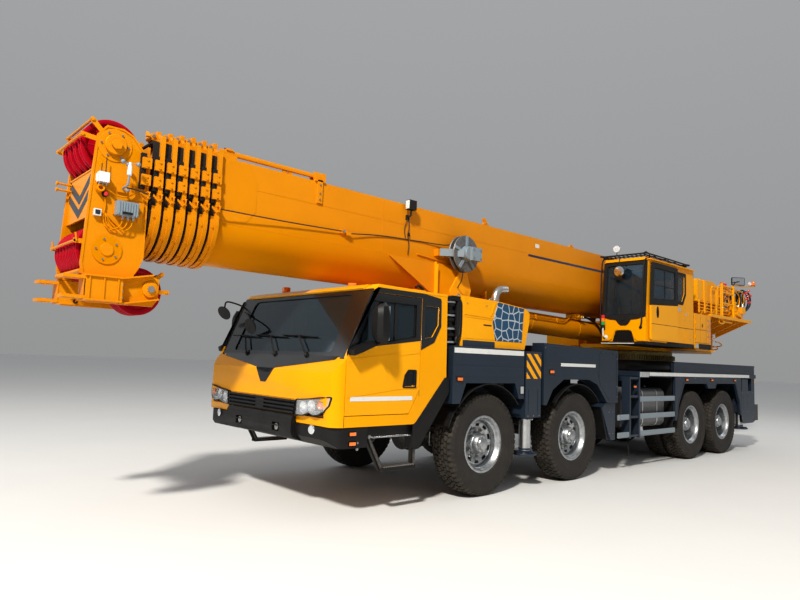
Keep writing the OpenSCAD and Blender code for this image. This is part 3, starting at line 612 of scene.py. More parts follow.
def tyre(b, x, y, out):
    """One tyre about the hub line at (x, y); out is the side that faces away from the vehicle."""
    hw = TW / 2
    o, ax = (x, y, TR), (0, out, 0)
    R = TR
    # carcass with bead, rim guard, sidewall rings, shoulder and the floor of the grooves
    side = [(0.118, 0.318), (0.122, 0.340), (0.134, 0.352), (0.139, 0.362), (0.1375, 0.368), (0.146, 0.388), (0.1525, 0.418), (0.1535, 0.421), (0.1555, 0.424), (0.1562, 0.455), (0.1575, 0.458), (0.1572, 0.463),
            (0.1560, 0.466), (0.1553, 0.500), (0.1545, 0.530), (0.1552, 0.533), (0.1545, 0.537), (0.1505, 0.560), (0.1430, 0.585), (0.1340, 0.5935)]
    crown = [(0.100, 0.5955), (0.05, 0.5965), (0.0, 0.597)]
    prof = [(-h, r) for h, r in side] + [(-h, r) for h, r in crown] + [(h, r) for h, r in reversed(crown[:-1])] + [(h, r) for h, r in reversed(side)]
    b.lathe(prof, o, ax, "tyre", seg=72, closed=True)
    # tread blocks: two centre ribs broken by slanting grooves and long shoulder lugs
    N = 54
    d = Vector((0, out, 0))
    u, w = Vector((1, 0, 0)), Vector((0, 0, 1))
    def p(h, r, a):
        return Vector(o) + d * h + r * (cos(a) * u + sin(a) * w)
    st = 2 * pi / N
    for i in range(N):
        a = i * st
        for s in (-1, 1):
            for (h0, h1, off, skew, wd, rt) in ((0.004, 0.040, 0.0, 0.10, 0.80, 0.6125), (0.048, 0.090, 0.5, -0.16, 0.76, 0.6118), (0.100, 0.1455, 0.15, 0.10, 0.66, 0.6085)):
                a0 = a + off * st + (0.5 * st if s > 0 else 0)
                A0, A1 = a0, a0 + wd * st
                k = skew * st * s
                rb = 0.588
                rt1 = rt if h1 < 0.14 else rt - 0.0135
                hb1 = h1 if h1 < 0.14 else h1 + 0.005
                v = [p(s * h0, rb, A0), p(s * hb1, rb - (0.010 if h1 > 0.14 else 0), A0 + k), p(s * hb1, rb - (0.010 if h1 > 0.14 else 0), A1 + k), p(s * h0, rb, A1),
                     p(s * h0, rt, A0 + 0.02 * st), p(s * h1, rt1, A0 + k + 0.02 * st), p(s * h1, rt1, A1 + k - 0.02 * st), p(s * h0, rt, A1 - 0.02 * st)]
                b.faces(v, [(0, 3, 2, 1), (4, 5, 6, 7), (0, 1, 5, 4), (1, 2, 6, 5), (2, 3, 7, 6), (3, 0, 4, 7)], "tread")
    # moulded blocks on the shoulder side
    for i in range(N):
        for s in (-1, 1):
            a = (i + (0.65 if s > 0 else 0.15)) * st
            v = []
            for hh, rr in ((0.1515, 0.548), (0.1405, 0.586)):
                for da in (0.0, 0.34 * st):
                    v += [p(s * hh, rr, a + da), p(s * (hh + 0.0045), rr + 0.001, a + da)]
            b.faces(v, [(0, 2, 3, 1), (4, 5, 7, 6), (0, 1, 5, 4), (2, 6, 7, 3), (1, 3, 7, 5), (0, 4, 6, 2)], "tread")

def rim(b, x, y, out, depth, front):
    """Steel wheel: barrel, flanges, pierced disc at the given depth, nuts and hub."""
    o, ax = (x, y, TR), (0, out, 0)
    barrel = [(-0.118, 0.322), (-0.118, 0.340), (-0.124, 0.341), (-0.127, 0.335), (-0.124, 0.314), (-0.108, 0.306), (-0.085, 0.300), (-0.07, 0.282), (0.02, 0.278), (0.070, 0.282), (0.085, 0.298), (0.108, 0.305), (0.124, 0.314), (0.1285, 0.334), (0.1255, 0.3415), (0.118, 0.340), (0.118, 0.322)]
    b.lathe(barrel, o, ax, "silver", seg=64, closed=True)
    # locking ring seen as a second bright lip
    b.lathe([(0.110, 0.3065), (0.116, 0.3105), (0.121, 0.3085), (0.114, 0.3030)], o, ax, "silver", seg=64, closed=True)
    d = Vector((0, out, 0))
    u, w = Vector((1, 0, 0)), Vector((0, 0, 1))
    O = Vector(o)
    # disc: rings of faces, with ten hand holes left out, given thickness by a second layer
    rr = [0.112, 0.150, 0.176, 0.196, 0.205, 0.240, 0.250, 0.276]
    hh = [0.000, 0.000, 0.004, 0.016, 0.022, 0.030, 0.030, 0.012]
    if not front:
        hh = [0.000, 0.000, -0.006, -0.026, -0.040, -0.075, -0.082, -0.100]
    seg = 80
    th = 0.012
    verts, fcs = [], []
    for lay in (0, 1):
        for j in range(len(rr)):
            for i in range(seg):
                a = 2 * pi * i / seg
                verts.append(O + d * (depth + hh[j] - lay * th) + rr[j] * (cos(a) * u + sin(a) * w))
    def hole(j, i):
        return j == 4 and (i % 8) in (2, 3, 4, 5)
    L = len(rr) * seg
    for j in range(len(rr) - 1):
        for i in range(seg):
            i2 = (i + 1) % seg
            if hole(j, i):
                continue
            a, c, e, g = j * seg + i, j * seg + i2, (j + 1) * seg + i2, (j + 1) * seg + i
            fcs += [(a, c, e, g), (L + a, L + g, L + e, L + c)]
            if hole(j, (i + 1) % seg):
                fcs.append((c, L + c, L + e, e))
            if hole(j, (i - 1) % seg):
                fcs.append((a, g, L + g, L + a))
        for i in range(seg):
            if hole(j, i):
                i2 = (i + 1) % seg
                a, c, e, g = j * seg + i, j * seg + i2, (j + 1) * seg + i2, (j + 1) * seg + i
                fcs += [(a, L + a, L + c, c), (g, e, L + e, L + g)]
    b.faces(verts, fcs, "silver")
    # ten nuts with studs, on their pitch circle
    for i in range(10):
        a = 2 * pi * i / 10 + 0.16
        c = O + d * depth + 0.1675 * (cos(a) * u + sin(a) * w)
        b.cyl(c, c + d * 0.006, 0.026, "bolt", 14)
        b.cyl(c + d * 0.005, c + d * 0.030, 0.0185, "bolt", 6, 0.0175)
        b.cyl(c + d * 0.028, c + d * 0.044, 0.0105, "bolt", 10)
    if front:
        b.lathe([(0.0, 0.142), (0.018, 0.139), (0.040, 0.128), (0.046, 0.122), (0.060, 0.118), (0.098, 0.112), (0.112, 0.100), (0.114, 0.074), (0.121, 0.070), (0.134, 0.066), (0.140, 0.056), (0.141, 0.0)], O + d * depth, d, "silver", seg=40)
        for i in range(8):
            a = 2 * pi * i / 8
            b.nut(O + d * (depth + 0.111) + 0.088 * (cos(a) * u + sin(a) * w), d, 0.010, 0.010, "bolt")
    else:
        b.lathe([(0.0, 0.146), (0.020, 0.142), (0.030, 0.132), (0.075, 0.126), (0.090, 0.115), (0.094, 0.094), (0.112, 0.090), (0.124, 0.078), (0.126, 0.040), (0.120, 0.0)], O + d * depth, d, "silver", seg=40)
        for i in range(12):
            a = 2 * pi * i / 12
            b.nut(O + d * (depth + 0.090) + 0.105 * (cos(a) * u + sin(a) * w), d, 0.009, 0.010, "bolt")

for i in range(4):
    for s, side in ((1, "left"), (-1, "right")):
        nm = "wheel_%d_%s" % (i + 1, side)
        b = B(nm + "_tyre", nm, ["tyre", "tread"], [nm], bevel=0, smooth=30)
        tyre(b, AX[i], s * WY, s)
        if i > 1:
            tyre(b, AX[i], s * (WY - 0.350), s)
        b.done("tyre")
        b = B(nm + "_rim", nm, ["silver"], bevel=0, smooth=35)
        rim(b, AX[i], s * WY, s, 0.0 if i < 2 else -0.040, i < 2)
        if i > 1:
            rim(b, AX[i], s * (WY - 0.350), -s, -0.075, False)
        # drum behind the disc
        drum = [(-0.29, 0.15), (-0.29, 0.215), (-0.15, 0.222), (-0.14, 0.20), (-0.02, 0.15)] if i > 1 else [(-0.118, 0.14), (-0.118, 0.200), (-0.10, 0.205), (-0.02, 0.15)]
        b.lathe(drum, (AX[i], s * WY, TR), (0, s, 0), "cast", seg=40)
        if i > 1:
            b.cyl((AX[i], s * (WY - 0.50), TR), (AX[i], s * (WY - 0.1), TR), 0.105, "cast", 28)
        b.done("jack_steel")

# ------------------------------------------------------------------ chassis, axles, outriggers
b = skin("chassis_frame", "under", 0.003)
# bolt rows along the rails, hangers and air lines
for s in (1, -1):
    for x in [1.0 - 0.22 * k for k in range(44)]:
        if -8.5 < x < 0.6:
            b.nut((x, s * 0.449, 1.08), (0, s, 0), 0.011, 0.010, "bolt")
            b.nut((x, s * 0.449, 0.83), (0, s, 0), 0.011, 0.010, "bolt")
    for k, z in enumerate((0.96, 0.99, 1.02)):
        b.tube([(0.5, s * 0.472, z), (-3.0, s * 0.472, z), (-6.9, s * 0.472, z)], 0.008, "hose", 6)
b.done()
for node in ("front_axles", "rear_axles"):
    b = skin(node, "black", 0.004)
    xs = AX[:2] if node == "front_axles" else AX[2:]
    for x in xs:
        for i in range(12):
            a = 2 * pi * i / 12
            b.nut((x + 0.145 + 0.02, 0.19 * cos(a), TR + 0.19 * sin(a)), (1, 0, 0), 0.010, 0.012, "bolt")
        b.lathe([(0.14, 0.215), (0.17, 0.215), (0.175, 0.20), (0.22, 0.14), (0.30, 0.075), (0.36, 0.06)], (x, 0, TR), (1, 0, 0), "cast", seg=28)
        b.lathe([(0.14, 0.20), (0.20, 0.17), (0.235, 0.08), (0.24, 0.0)], (x, 0, TR), (-1, 0, 0), "cast", seg=28)
        for s in (1, -1):
            # leaf packs and their clamps
            if node == "front_axles":
                for k in range(4):
                    L = 0.52 - 0.09 * k
                    b.box(x - L, x + L, s * 0.52 - 0.04, s * 0.52 + 0.04, TR + 0.075 + 0.016 * (3 - k), TR + 0.088 + 0.016 * (3 - k), "cast")
                for dx in (-0.09, 0.09):
                    b.tube([(x + dx, s * 0.46, TR + 0.16), (x + dx, s * 0.46, TR - 0.11), (x + dx, s * 0.58, TR - 0.11), (x + dx, s * 0.58, TR + 0.16)], 0.012, "bolt", 8)
            else:
                b.cyl((x, s * 0.56, TR), (x, s * 0.632, TR), 0.16, "cast", 28)
    b.done()
# drive shafts between the gearbox and the axles
b = B("drive_shafts", "carrier", ["cast"], bevel=0.002)
for x0, z0, x1, z1 in ((-2.0, 0.90, -5.40, 0.66), (-6.10, 0.64, -6.86, 0.64)):
    b.cyl((x0, 0, z0), (x1, 0, z1), 0.055, "cast", 20)
    for x, z in ((x0, z0), (x1, z1)):
        b.cyl((x - 0.05, 0, z), (x + 0.05, 0, z), 0.085, "cast", 24)
b.done()
for i in (1, 2):
    for s, side in ((1, "left"), (-1, "right")):
        n = "knuckle_%d_%s" % (i, side)
        b = skin(n, "black", 0.004)
        x = AX[i - 1]
        for z in (TR - 0.172, TR + 0.150):
            b.cyl((x, s * 0.985, z), (x, s * 0.985, z + 0.022), 0.045, "cast", 20)
        b.tube([(x - 0.15, s * 0.97, TR), (x - 0.26, s * 0.95, TR + 0.005)], 0.022, "cast", 10)
        b.sphere((x - 0.27, s * 0.95, TR + 0.005), 0.032, "cast", 14, 8)
        b.done()
# outrigger beams with their heads, and the jacks
for e, x in (("front", -0.87), ("rear", -8.18)):
    zb, z1 = (0.905, 1.735) if e == "front" else (0.760, 1.425)
    for s, side in ((1, "left"), (-1, "right")):
        n = "outrigger_beam_%s_%s" % (e, side)
        b = skin(n, "navy", 0.006)
        Y = s * 1.3705
        # warning stripes on the head: slanting bars, alternately yellow and dark
        if e == "front":
            zs0, zs1 = 1.405, 1.725
            x0, x1 = x - 0.155, x + 0.155
            b.box(x0 - 0.004, x1 + 0.004, Y - 0.001 if s > 0 else Y - 0.0015, Y + 0.0015 if s > 0 else Y + 0.001, zs0 - 0.004, zs1 + 0.004, "navy")
            for k in range(-3, 6):
                z0 = zs0 + k * 0.155 * 1.0
                quad = [(x0, z0), (x1, z0 + 0.31), (x1, z0 + 0.31 + 0.085), (x0, z0 + 0.085)]
                q = clip_z(quad, zs0, zs1)
                if q:
                    b.prism(q, Y + s * 0.001, Y + s * 0.0035, "xz", "yellow")
        # sleeve ring, gussets and bolts under the head
        b.lathe([(0.0, 0.0825), (0.0, 0.108), (0.03, 0.108), (0.03, 0.0825)], (x, s * 1.24, zb - 0.022), (0, 0, 1), "navy", seg=32, closed=True)
        for i in range(8):
            a = 2 * pi * i / 8 + 0.2
            b.nut((x + 0.096 * cos(a), s * 1.24 + 0.096 * sin(a), zb - 0.022), (0, 0, -1), 0.008, 0.008, "bolt", False)
        for dx in (-0.10, 0.10):
            b.box(x + dx - 0.006, x + dx + 0.006, s * 1.3695 - (0 if s > 0 else 0.006), s * 1.3695 + (0.006 if s > 0 else 0), zb + 0.06, zb + 0.36)
        b.box(x - 0.150, x + 0.150, min(s * 1.366, s * 1.3735), max(s * 1.366, s * 1.3735), zb + 0.005, zb + 0.045)
        for dx in (-0.12, 0.0, 0.12):
            b.nut((x + dx, s * 1.3735, zb + 0.025), (0, s, 0), 0.008, 0.006, "bolt", False)
        b.done()
        n = "jack_%s_%s" % (e, side)
        z0 = 0.425
        b = B(n + "_leg", n, ["steel", "navy"], [n], bevel=0.003)
        top = 1.40 if e == "front" else 1.38
        b.lathe([(0.055, 0.0755), (top - z0, 0.0755)], (x, s * 1.24, z0), (0, 0, 1), "steel", seg=40)
        b.lathe([(0.060, 0.0765), (0.085, 0.0765), (0.090, 0.074)], (x, s * 1.24, z0), (0, 0, 1), "navy", seg=40)
        b.lathe([(0.0, 0.155), (0.006, 0.1645), (0.020, 0.1645), (0.026, 0.158), (0.030, 0.120), (0.040, 0.085), (0.058, 0.066), (0.060, 0.0)], (x, s * 1.24, z0), (0, 0, 1), "navy", seg=48)
        for i in range(6):
            a = 2 * pi * i / 6
            c, sn = cos(a), sin(a)
            px, py = x + 0.11 * c, s * 1.24 + 0.11 * sn
            b.obox((px, py, z0 + 0.034), (c, sn, 0), (-sn, c, 0), (0, 0, 1), 0.036, 0.005, 0.010, "navy")
        b.done("jack_steel")
b = skin("outrigger_boxes", "navy", 0.004)
b.done()

# ------------------------------------------------------------------ driver's cab
WS_O, WS_A = Vector((2.140, 0, 1.605)), radians(23.6)
def ws(u, y, n):
    """Point on the windscreen plane: u up the slope, n out of it."""
    return (WS_O.x - u * sin(WS_A) + n * cos(WS_A), y, WS_O.z + u * cos(WS_A) + n * sin(WS_A))

b = skin("cab_shell", "yellow", 0.012, segs=3)
b.done()

b = B("cab_front_details", "carrier", ["plastic", "gloss", "yellow", "softblack"], bevel=0.003)
# black surround of the windscreen: frame on the slope, wider at its foot
def ws_quad(pts, t0, t1, m):
    n = len(pts)
    v = [ws(u, y, t0) for y, u in pts] + [ws(u, y, t1) for y, u in pts]
    b.faces(v, [tuple(range(n)), tuple(reversed(range(n, 2 * n)))] + [(i, i + n, (i + 1) % n + n, (i + 1) % n) for i in range(n)], m)
def ws_ring(outer, inner, t0, t1, m):
    n = len(outer)
    v = [ws(u, y, t0) for y, u in outer] + [ws(u, y, t0) for y, u in inner] + [ws(u, y, t1) for y, u in outer] + [ws(u, y, t1) for y, u in inner]
    f = []
    for i in range(n):
        j = (i + 1) % n
        f += [(i, j, n + j, n + i), (2 * n + i, 3 * n + i, 3 * n + j, 2 * n + j), (i, 2 * n + i, 2 * n + j, j), (n + i, n + j, 3 * n + j, 3 * n + i)]
    b.faces(v, f, m)
o_ = round_poly([(-1.337, -0.030), (1.337, -0.030), (1.337, 0.768), (-1.337, 0.768)], [0.01, 0.01, 0.03, 0.03], 5)
i_ = round_poly([(-1.03, 0.03), (1.03, 0.03), (1.02, 0.712), (-1.02, 0.712)], [0.05, 0.05, 0.09, 0.09], 5)
ws_ring(o_, i_, 0.0, 0.0120, "gloss")
# black centre panel that runs down to a point between the yellow shoulders
def nose(z):
    """Front face x at height z."""
    for (xa, za), (xb, zb) in (((2.290, 0.905), (2.318, 1.150)), ((2.318, 1.150), (2.290, 1.440)), ((2.290, 1.440), (2.150, 1.600))):
        if za <= z <= zb:
            return xa + (xb - xa) * (z - za) / (zb - za)
    return 2.150
def nose_patch(pts, t, m, rows=None):
    """Flat patch that follows the front face; pts are (y, z), convex."""
    zs = sorted({p[1] for p in pts} | {z for z in (1.150, 1.440, 1.600) if min(p[1] for p in pts) < z < max(p[1] for p in pts)})
    for za, zb in zip(zs[:-1], zs[1:]):
        q = clip_z(pts, za, zb)
        if not q:
            continue
        k = len(q)
        v = [(nose(z) - 0.002, y, z) for y, z in q] + [(nose(z) + t, y, z) for y, z in q]
        b.faces(v, [tuple(reversed(range(k))), tuple(range(k, 2 * k))] + [(i, (i + 1) % k, (i + 1) % k + k, i + k) for i in range(k)], m)
nose_patch([(-1.19, 1.598), (-1.17, 1.565), (-0.20, 1.452), (-0.10, 1.395), (0.10, 1.395), (0.20, 1.452), (1.17, 1.565), (1.19, 1.598)], 0.006, "gloss")
nose_patch([(-0.195, 1.450), (-0.055, 1.29), (0.055, 1.29), (0.195, 1.450)], 0.006, "gloss")
# raised yellow shoulders beside it, crease ribs that fall from the screen to the lamps: their points are worked out but
# not drawn
for s in (1, -1):
    v = [(nose(z) + t, s * y, z) for (y, z, t) in ((1.17, 1.555, 0.0), (0.78, 1.10, 0.0), (0.80, 1.10, 0.010), (1.19, 1.555, 0.010), (1.34, 1.40, 0.0), (1.34, 1.16, 0.0))]
    # lower lip over the grille
b.box(2.300, 2.322, -0.72, 0.72, 1.142, 1.158, "yellow")
# grille: black sheet filling the opening as painted shade of its inside, frame and blades
b.box(2.285, 2.3145, -0.735, 0.735, 0.982, 1.140, "softblack")
for k, z in enumerate((1.000, 1.040, 1.080, 1.120)):
    v0 = 0.72 - 0.010 * (3 - k)
    b.obox((2.326, 0, z), (1, 0, 0.25), (0, 1, 0), (-0.25, 0, 1), 0.016, v0, 0.011, "plastic")
for y in [-0.60 + 0.15 * k for k in range(9)]:
    b.box(2.312, 2.320, y - 0.004, y + 0.004, 0.985, 1.138, "plastic")
b.box(2.318, 2.337, -0.085, 0.085, 1.012, 1.112, "softblack")
for s in (1, -1):
    b.prism([(s * 0.735, 0.975), (s * 0.745, 1.146), (s * 0.715, 1.146), (s * 0.705, 0.975)], 2.300, 2.330, "yz", "plastic")
b.done()

b = B("cab_seams", "carrier", ["softblack"], bevel=0)
for s in (1, -1):
    # joints between panels
    yy = s * 1.3405
    for pts in ([(2.172, 1.010), (2.172, 0.908)], [(1.165, 1.262), (1.165, 1.20)]):
        b.tube([(p[0], yy, p[1]) for p in pts], 0.0022, "softblack", 6)
b.done()

# headlights
LAMP = [(0.735, 0.982), (0.86, 0.985), (0.97, 1.018), (1.05, 0.998), (1.13, 1.010), (1.21, 1.050), (1.262, 1.110), (1.285, 1.205), (1.13, 1.190), (0.95, 1.166), (0.745, 1.148)]
def lamp_x(y):
    """Front of the lamp: it follows the rounded corner of the cab."""
    q = max(0.0, (y - 1.11) / 0.230)
    return 2.165 + 0.160 * max(0.0, 1.0 - q * q) ** 0.5
b = B("headlights", "carrier", ["plastic", "reflector", "whitelens", "orange"], bevel=0.002)
for s in (1, -1):
    def hp(y, z, d=0.0):
        return (lamp_x(y) + d, s * y, z)
    out = round_poly(LAMP, 0.02, 3)
    n = len(out)
    inn = inset(out, 0.012)
    # bowl
    v = [hp(y, z, 0.010) for y, z in out] + [hp(y, z, 0.012) for y, z in inn] + [hp(y, z, -0.045) for y, z in inn]
    f = [(i, (i + 1) % n, n + (i + 1) % n, n + i) for i in range(n)] + [(n + i, n + (i + 1) % n, 2 * n + (i + 1) % n, 2 * n + i) for i in range(n)] + [tuple(range(2 * n, 3 * n))]
    b.faces(v, f, "plastic")
    b.faces([hp(y, z, 0.010) for y, z in out] + [hp(y, z, -0.05) for y, z in out], [(i, n + i, n + (i + 1) % n, (i + 1) % n) for i in range(n)], "plastic")
    for y, z, r in ((0.845, 1.068, 0.060), (0.985, 1.090, 0.058)):
        c = hp(y, z, -0.034)
        b.lathe([(-0.006, 0.012), (-0.004, 0.025), (0.008, r * 0.75), (0.026, r), (0.028, r + 0.004), (0.0, r + 0.004)], c, (1, s * 0.10, 0), "reflector", seg=28)
        b.sphere((c[0] + 0.012, c[1], c[2]), r * 0.42, "whitelens", 14, 8)
    c = hp(1.135, 1.108, -0.022)
    b.lathe([(0.0, 0.010), (0.016, 0.034), (0.018, 0.036), (0.0, 0.037)], c, (0.94, s * 0.34, 0), "orange", seg=22)
    c = hp(1.215, 1.130, -0.020)
    b.lathe([(0.0, 0.008), (0.012, 0.026), (0.014, 0.028), (0.0, 0.029)], c, (0.80, s * 0.60, 0), "reflector", seg=20)
    for k in range(7):
        y = 1.01 + 0.019 * k
        b.tube([hp(y, 1.02, -0.010), hp(y + 0.012, 1.052, -0.006)], 0.004, "reflector", 6)
b.done("chrome_rod")
b = B("headlight_covers", "carrier", ["clear"], bevel=0)
for s in (1, -1):
    out = round_poly(LAMP, 0.02, 3)
    inn = inset(out, 0.010)
    n = len(out)
    v = [(lamp_x(y) + 0.014, s * y, z) for y, z in inn] + [(lamp_x(y) + 0.009, s * y, z) for y, z in inn]
    b.faces(v, [tuple(range(n)), tuple(reversed(range(n, 2 * n)))] + [(i, n + i, n + (i + 1) % n, (i + 1) % n) for i in range(n)], "clear")
b.done("glass")

# glass
b = B("windscreen", "carrier", ["dglass"], ["cab_glass"], bevel=0)
g_ = round_poly([(-1.043, 0.018), (1.043, 0.018), (1.032, 0.722), (-1.032, 0.722)], [0.04, 0.04, 0.09, 0.09], 5)
def ws_slab(b, pts, t0, t1, m, bow=0.0):
    n = len(pts)
    v = [ws(u, y, t0) for y, u in pts] + [ws(u, y, t1) for y, u in pts]
    b.faces(v, [tuple(range(n)), tuple(reversed(range(n, 2 * n)))] + [(i, i + n, (i + 1) % n + n, (i + 1) % n) for i in range(n)], m)
ws_slab(b, g_, -0.012, -0.004, "dglass")
RW = [(1.105, 1.830), (1.105, 2.190), (0.895, 2.190), (0.895, 1.990), (0.990, 1.850)]
for s in (1, -1):
    a, c = at_y(s, 1.322, 0.006)
    b.prism(inset(RW, 0.003), a, c, "xz", "dglass")
b.done("glass")

# wipers
b = B("wipers", "carrier", ["softblack", "steel"], bevel=0.001)
for y0, yt in ((-0.66, -1.0), (-0.02, -0.42), (0.62, 0.16)):
    p = Vector(ws(-0.012, y0, 0.030)); q = Vector(ws(0.225, (y0 * 0.35 + yt * 0.65), 0.034))
    b.lathe([(0, 0.020), (0.022, 0.020), (0.030, 0.012), (0.034, 0.0)], ws(-0.015, y0, 0.012), (cos(WS_A), 0, sin(WS_A)), "softblack", seg=18)
    b.tube([p, p.lerp(q, 0.35) + Vector((0.010, 0, 0.006)), q], [0.009, 0.007, 0.005], "softblack", 8)
    m0, m1 = Vector(ws(0.235, q.y - 0.36, 0.012)), Vector(ws(0.205, q.y + 0.36, 0.012))
    dd = (m1 - m0).normalized()
    nn = Vector((cos(WS_A), 0, sin(WS_A)))
    b.obox((m0 + m1) / 2, dd, nn, dd.cross(nn), 0.36, 0.009, 0.004, "softblack")
    b.obox((m0 + m1) / 2 + nn * 0.013, dd, nn, dd.cross(nn), 0.19, 0.003, 0.005, "softblack")
    b.tube([m0.lerp(m1, 0.26) + nn * 0.010, (m0 + m1) / 2 + nn * 0.026, m0.lerp(m1, 0.74) + nn * 0.010], 0.004, "softblack", 6)
    b.tube([p + Vector((0.004, 0.03, 0)), q + Vector((0.004, 0.02, 0))], 0.0035, "softblack", 6)
b.done()

# side panels of the window band on the shell, drip rail and rear quarter
b = B("cab_side_details", "carrier", ["plastic", "gloss"], bevel=0.003)
for s in (1, -1):
    a, c = at_y(s, 1.340, 0.004)
    # pillar from the screen's foot to the roof's front corner
    b.prism([(2.172, 1.602), (2.128, 1.655), (1.842, 2.300), (1.800, 2.325), (1.776, 2.325), (1.885, 2.270), (2.172, 1.650)], a, c, "xz", "gloss")
    # header strip over the door and the rear quarter window
    b.prism([(1.776, 2.325), (1.885, 2.270), (1.155, 2.270), (0.860, 2.270), (0.868, 2.290), (1.150, 2.325)], a, c, "xz", "gloss")
    q_out = [(1.158, 1.700), (1.158, 2.272), (0.858, 2.272), (0.852, 1.975), (0.955, 1.790)]
    b.ring(q_out, RW, a, c, "xz", "gloss")
    # the rubber round the door opening and the lower black belt joined to the mudguard are not drawn
    # three-colour plate position left bare; two small lamps instead
    lamp_side(b, 2.050, 0.84, 1.325, s)
    lamp_side(b, 2.050, 0.745, 1.325, s)
b.done()

# roof: low front spoiler lip, beacons, marker lamps, aerial foot
b = B("cab_roof_details", "carrier", ["yellow", "softblack", "orange", "whitelens"], bevel=0.004, segs=3)
b.prism([(1.850, 2.306), (1.872, 2.322), (1.800, 2.366), (1.690, 2.368), (1.690, 2.345), (1.788, 2.345)], -1.17, 1.17, "xz", "yellow")
for s in (1, -1):
    b.prism([(1.835, 2.305), (1.790, 2.362), (0.762, 2.345), (0.755, 2.318), (1.780, 2.326)], s * 1.225, s * 1.3435, "xz", "yellow")
for y, x in ((0.46, 1.46), (-0.685, 1.64)):
    b.lathe([(0, 0.072), (0.014, 0.072), (0.018, 0.060), (0.034, 0.060)], (x, y, 2.349), (0, 0, 1), "softblack", seg=28)
    b.lathe([(0.0, 0.056), (0.010, 0.0575), (0.014, 0.055), (0.020, 0.0575), (0.026, 0.055), (0.072, 0.054), (0.080, 0.048), (0.083, 0.0)], (x, y, 2.379), (0, 0, 1), "orange", seg=28)
for y, x in ((1.02, 1.60), (-1.05, 1.66)):
    b.lathe([(0, 0.050), (0.012, 0.050), (0.015, 0.044)], (x, y, 2.350), (0, 0, 1), "softblack", seg=24)
    b.sphere((x, y, 2.363), 0.040, "whitelens", 18, 8, (1, 1, 0.85))
b.box(0.90, 1.18, 1.10, 1.20, 2.343, 2.352, "softblack")
b.box(0.94, 1.14, 1.12, 1.17, 2.352, 2.385, "yellow")
b.tube([(0.955, 1.145, 2.375), (0.985, 1.145, 2.410), (1.035, 1.145, 2.430), (1.085, 1.145, 2.410)], 0.016, "softblack", 10, sub=4)
b.tube([(1.60, 0.62, 2.35), (1.58, 0.80, 2.353)], 0.006, "softblack", 6)
for k in range(5):
    y = -1.0 + 0.5 * k
    b.box(0.80, 1.66, y - 0.010, y + 0.010, 2.347, 2.355, "yellow")
b.done("yellow_paint")

# bumper, steps, lower side
b = skin("front_bumper", "plastic", 0.010, segs=3)
for s in (1, -1):
    b.lathe([(0, 0.040), (0.010, 0.048), (0.014, 0.045), (0.016, 0.036)], (2.300, s * 0.995, 0.862), (1, s * 0.12, 0), "reflector", seg=24)
    b.sphere((2.308, s * 0.995, 0.862), 0.034, "clear", 16, 8, (0.5, 1, 1))
    b.lathe([(0, 0.030), (0.012, 0.036), (0.014, 0.020)], (2.3385, s * 0.40, 0.835), (1, 0, 0), "bolt", seg=20)
    for z in (0.70, 0.76):
        b.nut((1.985, s * 1.331, z - 0.01), (0, s, 0), 0.012, 0.010, "bolt")
b.box(2.352, 2.3635, -0.62, 0.62, 0.905, 0.925, "plastic")
b.box(2.352, 2.3635, -0.62, 0.62, 0.845, 0.855, "plastic")
b.done()
b = B("steps", "carrier", ["black", "steel"], bevel=0.0015)
for s in (1, -1):
    # folded step: side arms, rail and a toothed grip
    b.tube([(1.82, s * 1.30, 0.80), (1.63, s * 1.30, 0.465), (1.18, s * 1.30, 0.472), (1.175, s * 1.30, 0.70)], 0.0165, "black", 12)
    b.tube([(1.82, s * 1.24, 0.80), (1.63, s * 1.24, 0.465), (1.18, s * 1.24, 0.472), (1.175, s * 1.24, 0.70)], 0.0165, "black", 12)
    for k in range(13):
        x = 1.20 + 0.034 * k
        b.box(x, x + 0.010, s * 1.24 if s > 0 else -1.33, s * 1.33 if s > 0 else -1.24, 0.4755, 0.487, "steel")
    # upper tread plate with raised teeth
    ya, yb = at_y(s, 1.18, 0.152)
    b.box(1.26, 1.80, ya, yb, 0.785, 0.792, "steel")
    for k in range(16):
        for j in range(4):
            x, y = 1.285 + 0.0325 * k, s * (1.20 + 0.036 * j)
            b.cyl((x, y, 0.792), (x, y, 0.800), 0.008, "steel", 8, 0.004)
    for x in (1.82, 1.175):
        b.nut((x, s * 1.318, 0.80 if x > 1.5 else 0.70), (0, s, 0), 0.014, 0.012, "bolt")
b.done()
# mudguard behind the cab's corner and the black edge strip
b = B("cab_mudguard", "carrier", ["plastic"], bevel=0.004)
for s in (1, -1):
    a, c = at_y(s, 1.336, 0.012)
    b.prism([(1.245, 0.895), (1.195, 0.930), (0.770, 1.405), (0.700, 1.405), (0.690, 1.240), (1.060, 0.760), (1.13, 0.660), (1.245, 0.660)], a, c, "xz", "plastic")
    # wheel-side flare seen from the side
    for k in range(9):
        t0, t1 = k / 9, (k + 1) / 9
        aa, ab = radians(20 + 62 * t0), radians(20 + 62 * t1)
        r = 0.695
        q = [(0 + r * cos(aa), TR + r * sin(aa)), (0 + r * cos(ab), TR + r * sin(ab)), (0 + (r + 0.012) * cos(ab), TR + (r + 0.012) * sin(ab)), (0 + (r + 0.012) * cos(aa), TR + (r + 0.012) * sin(aa))]
        b.prism(q, s * 0.98 if s > 0 else -1.33, s * 1.33 if s > 0 else -0.98, "xz", "plastic")
b.done()

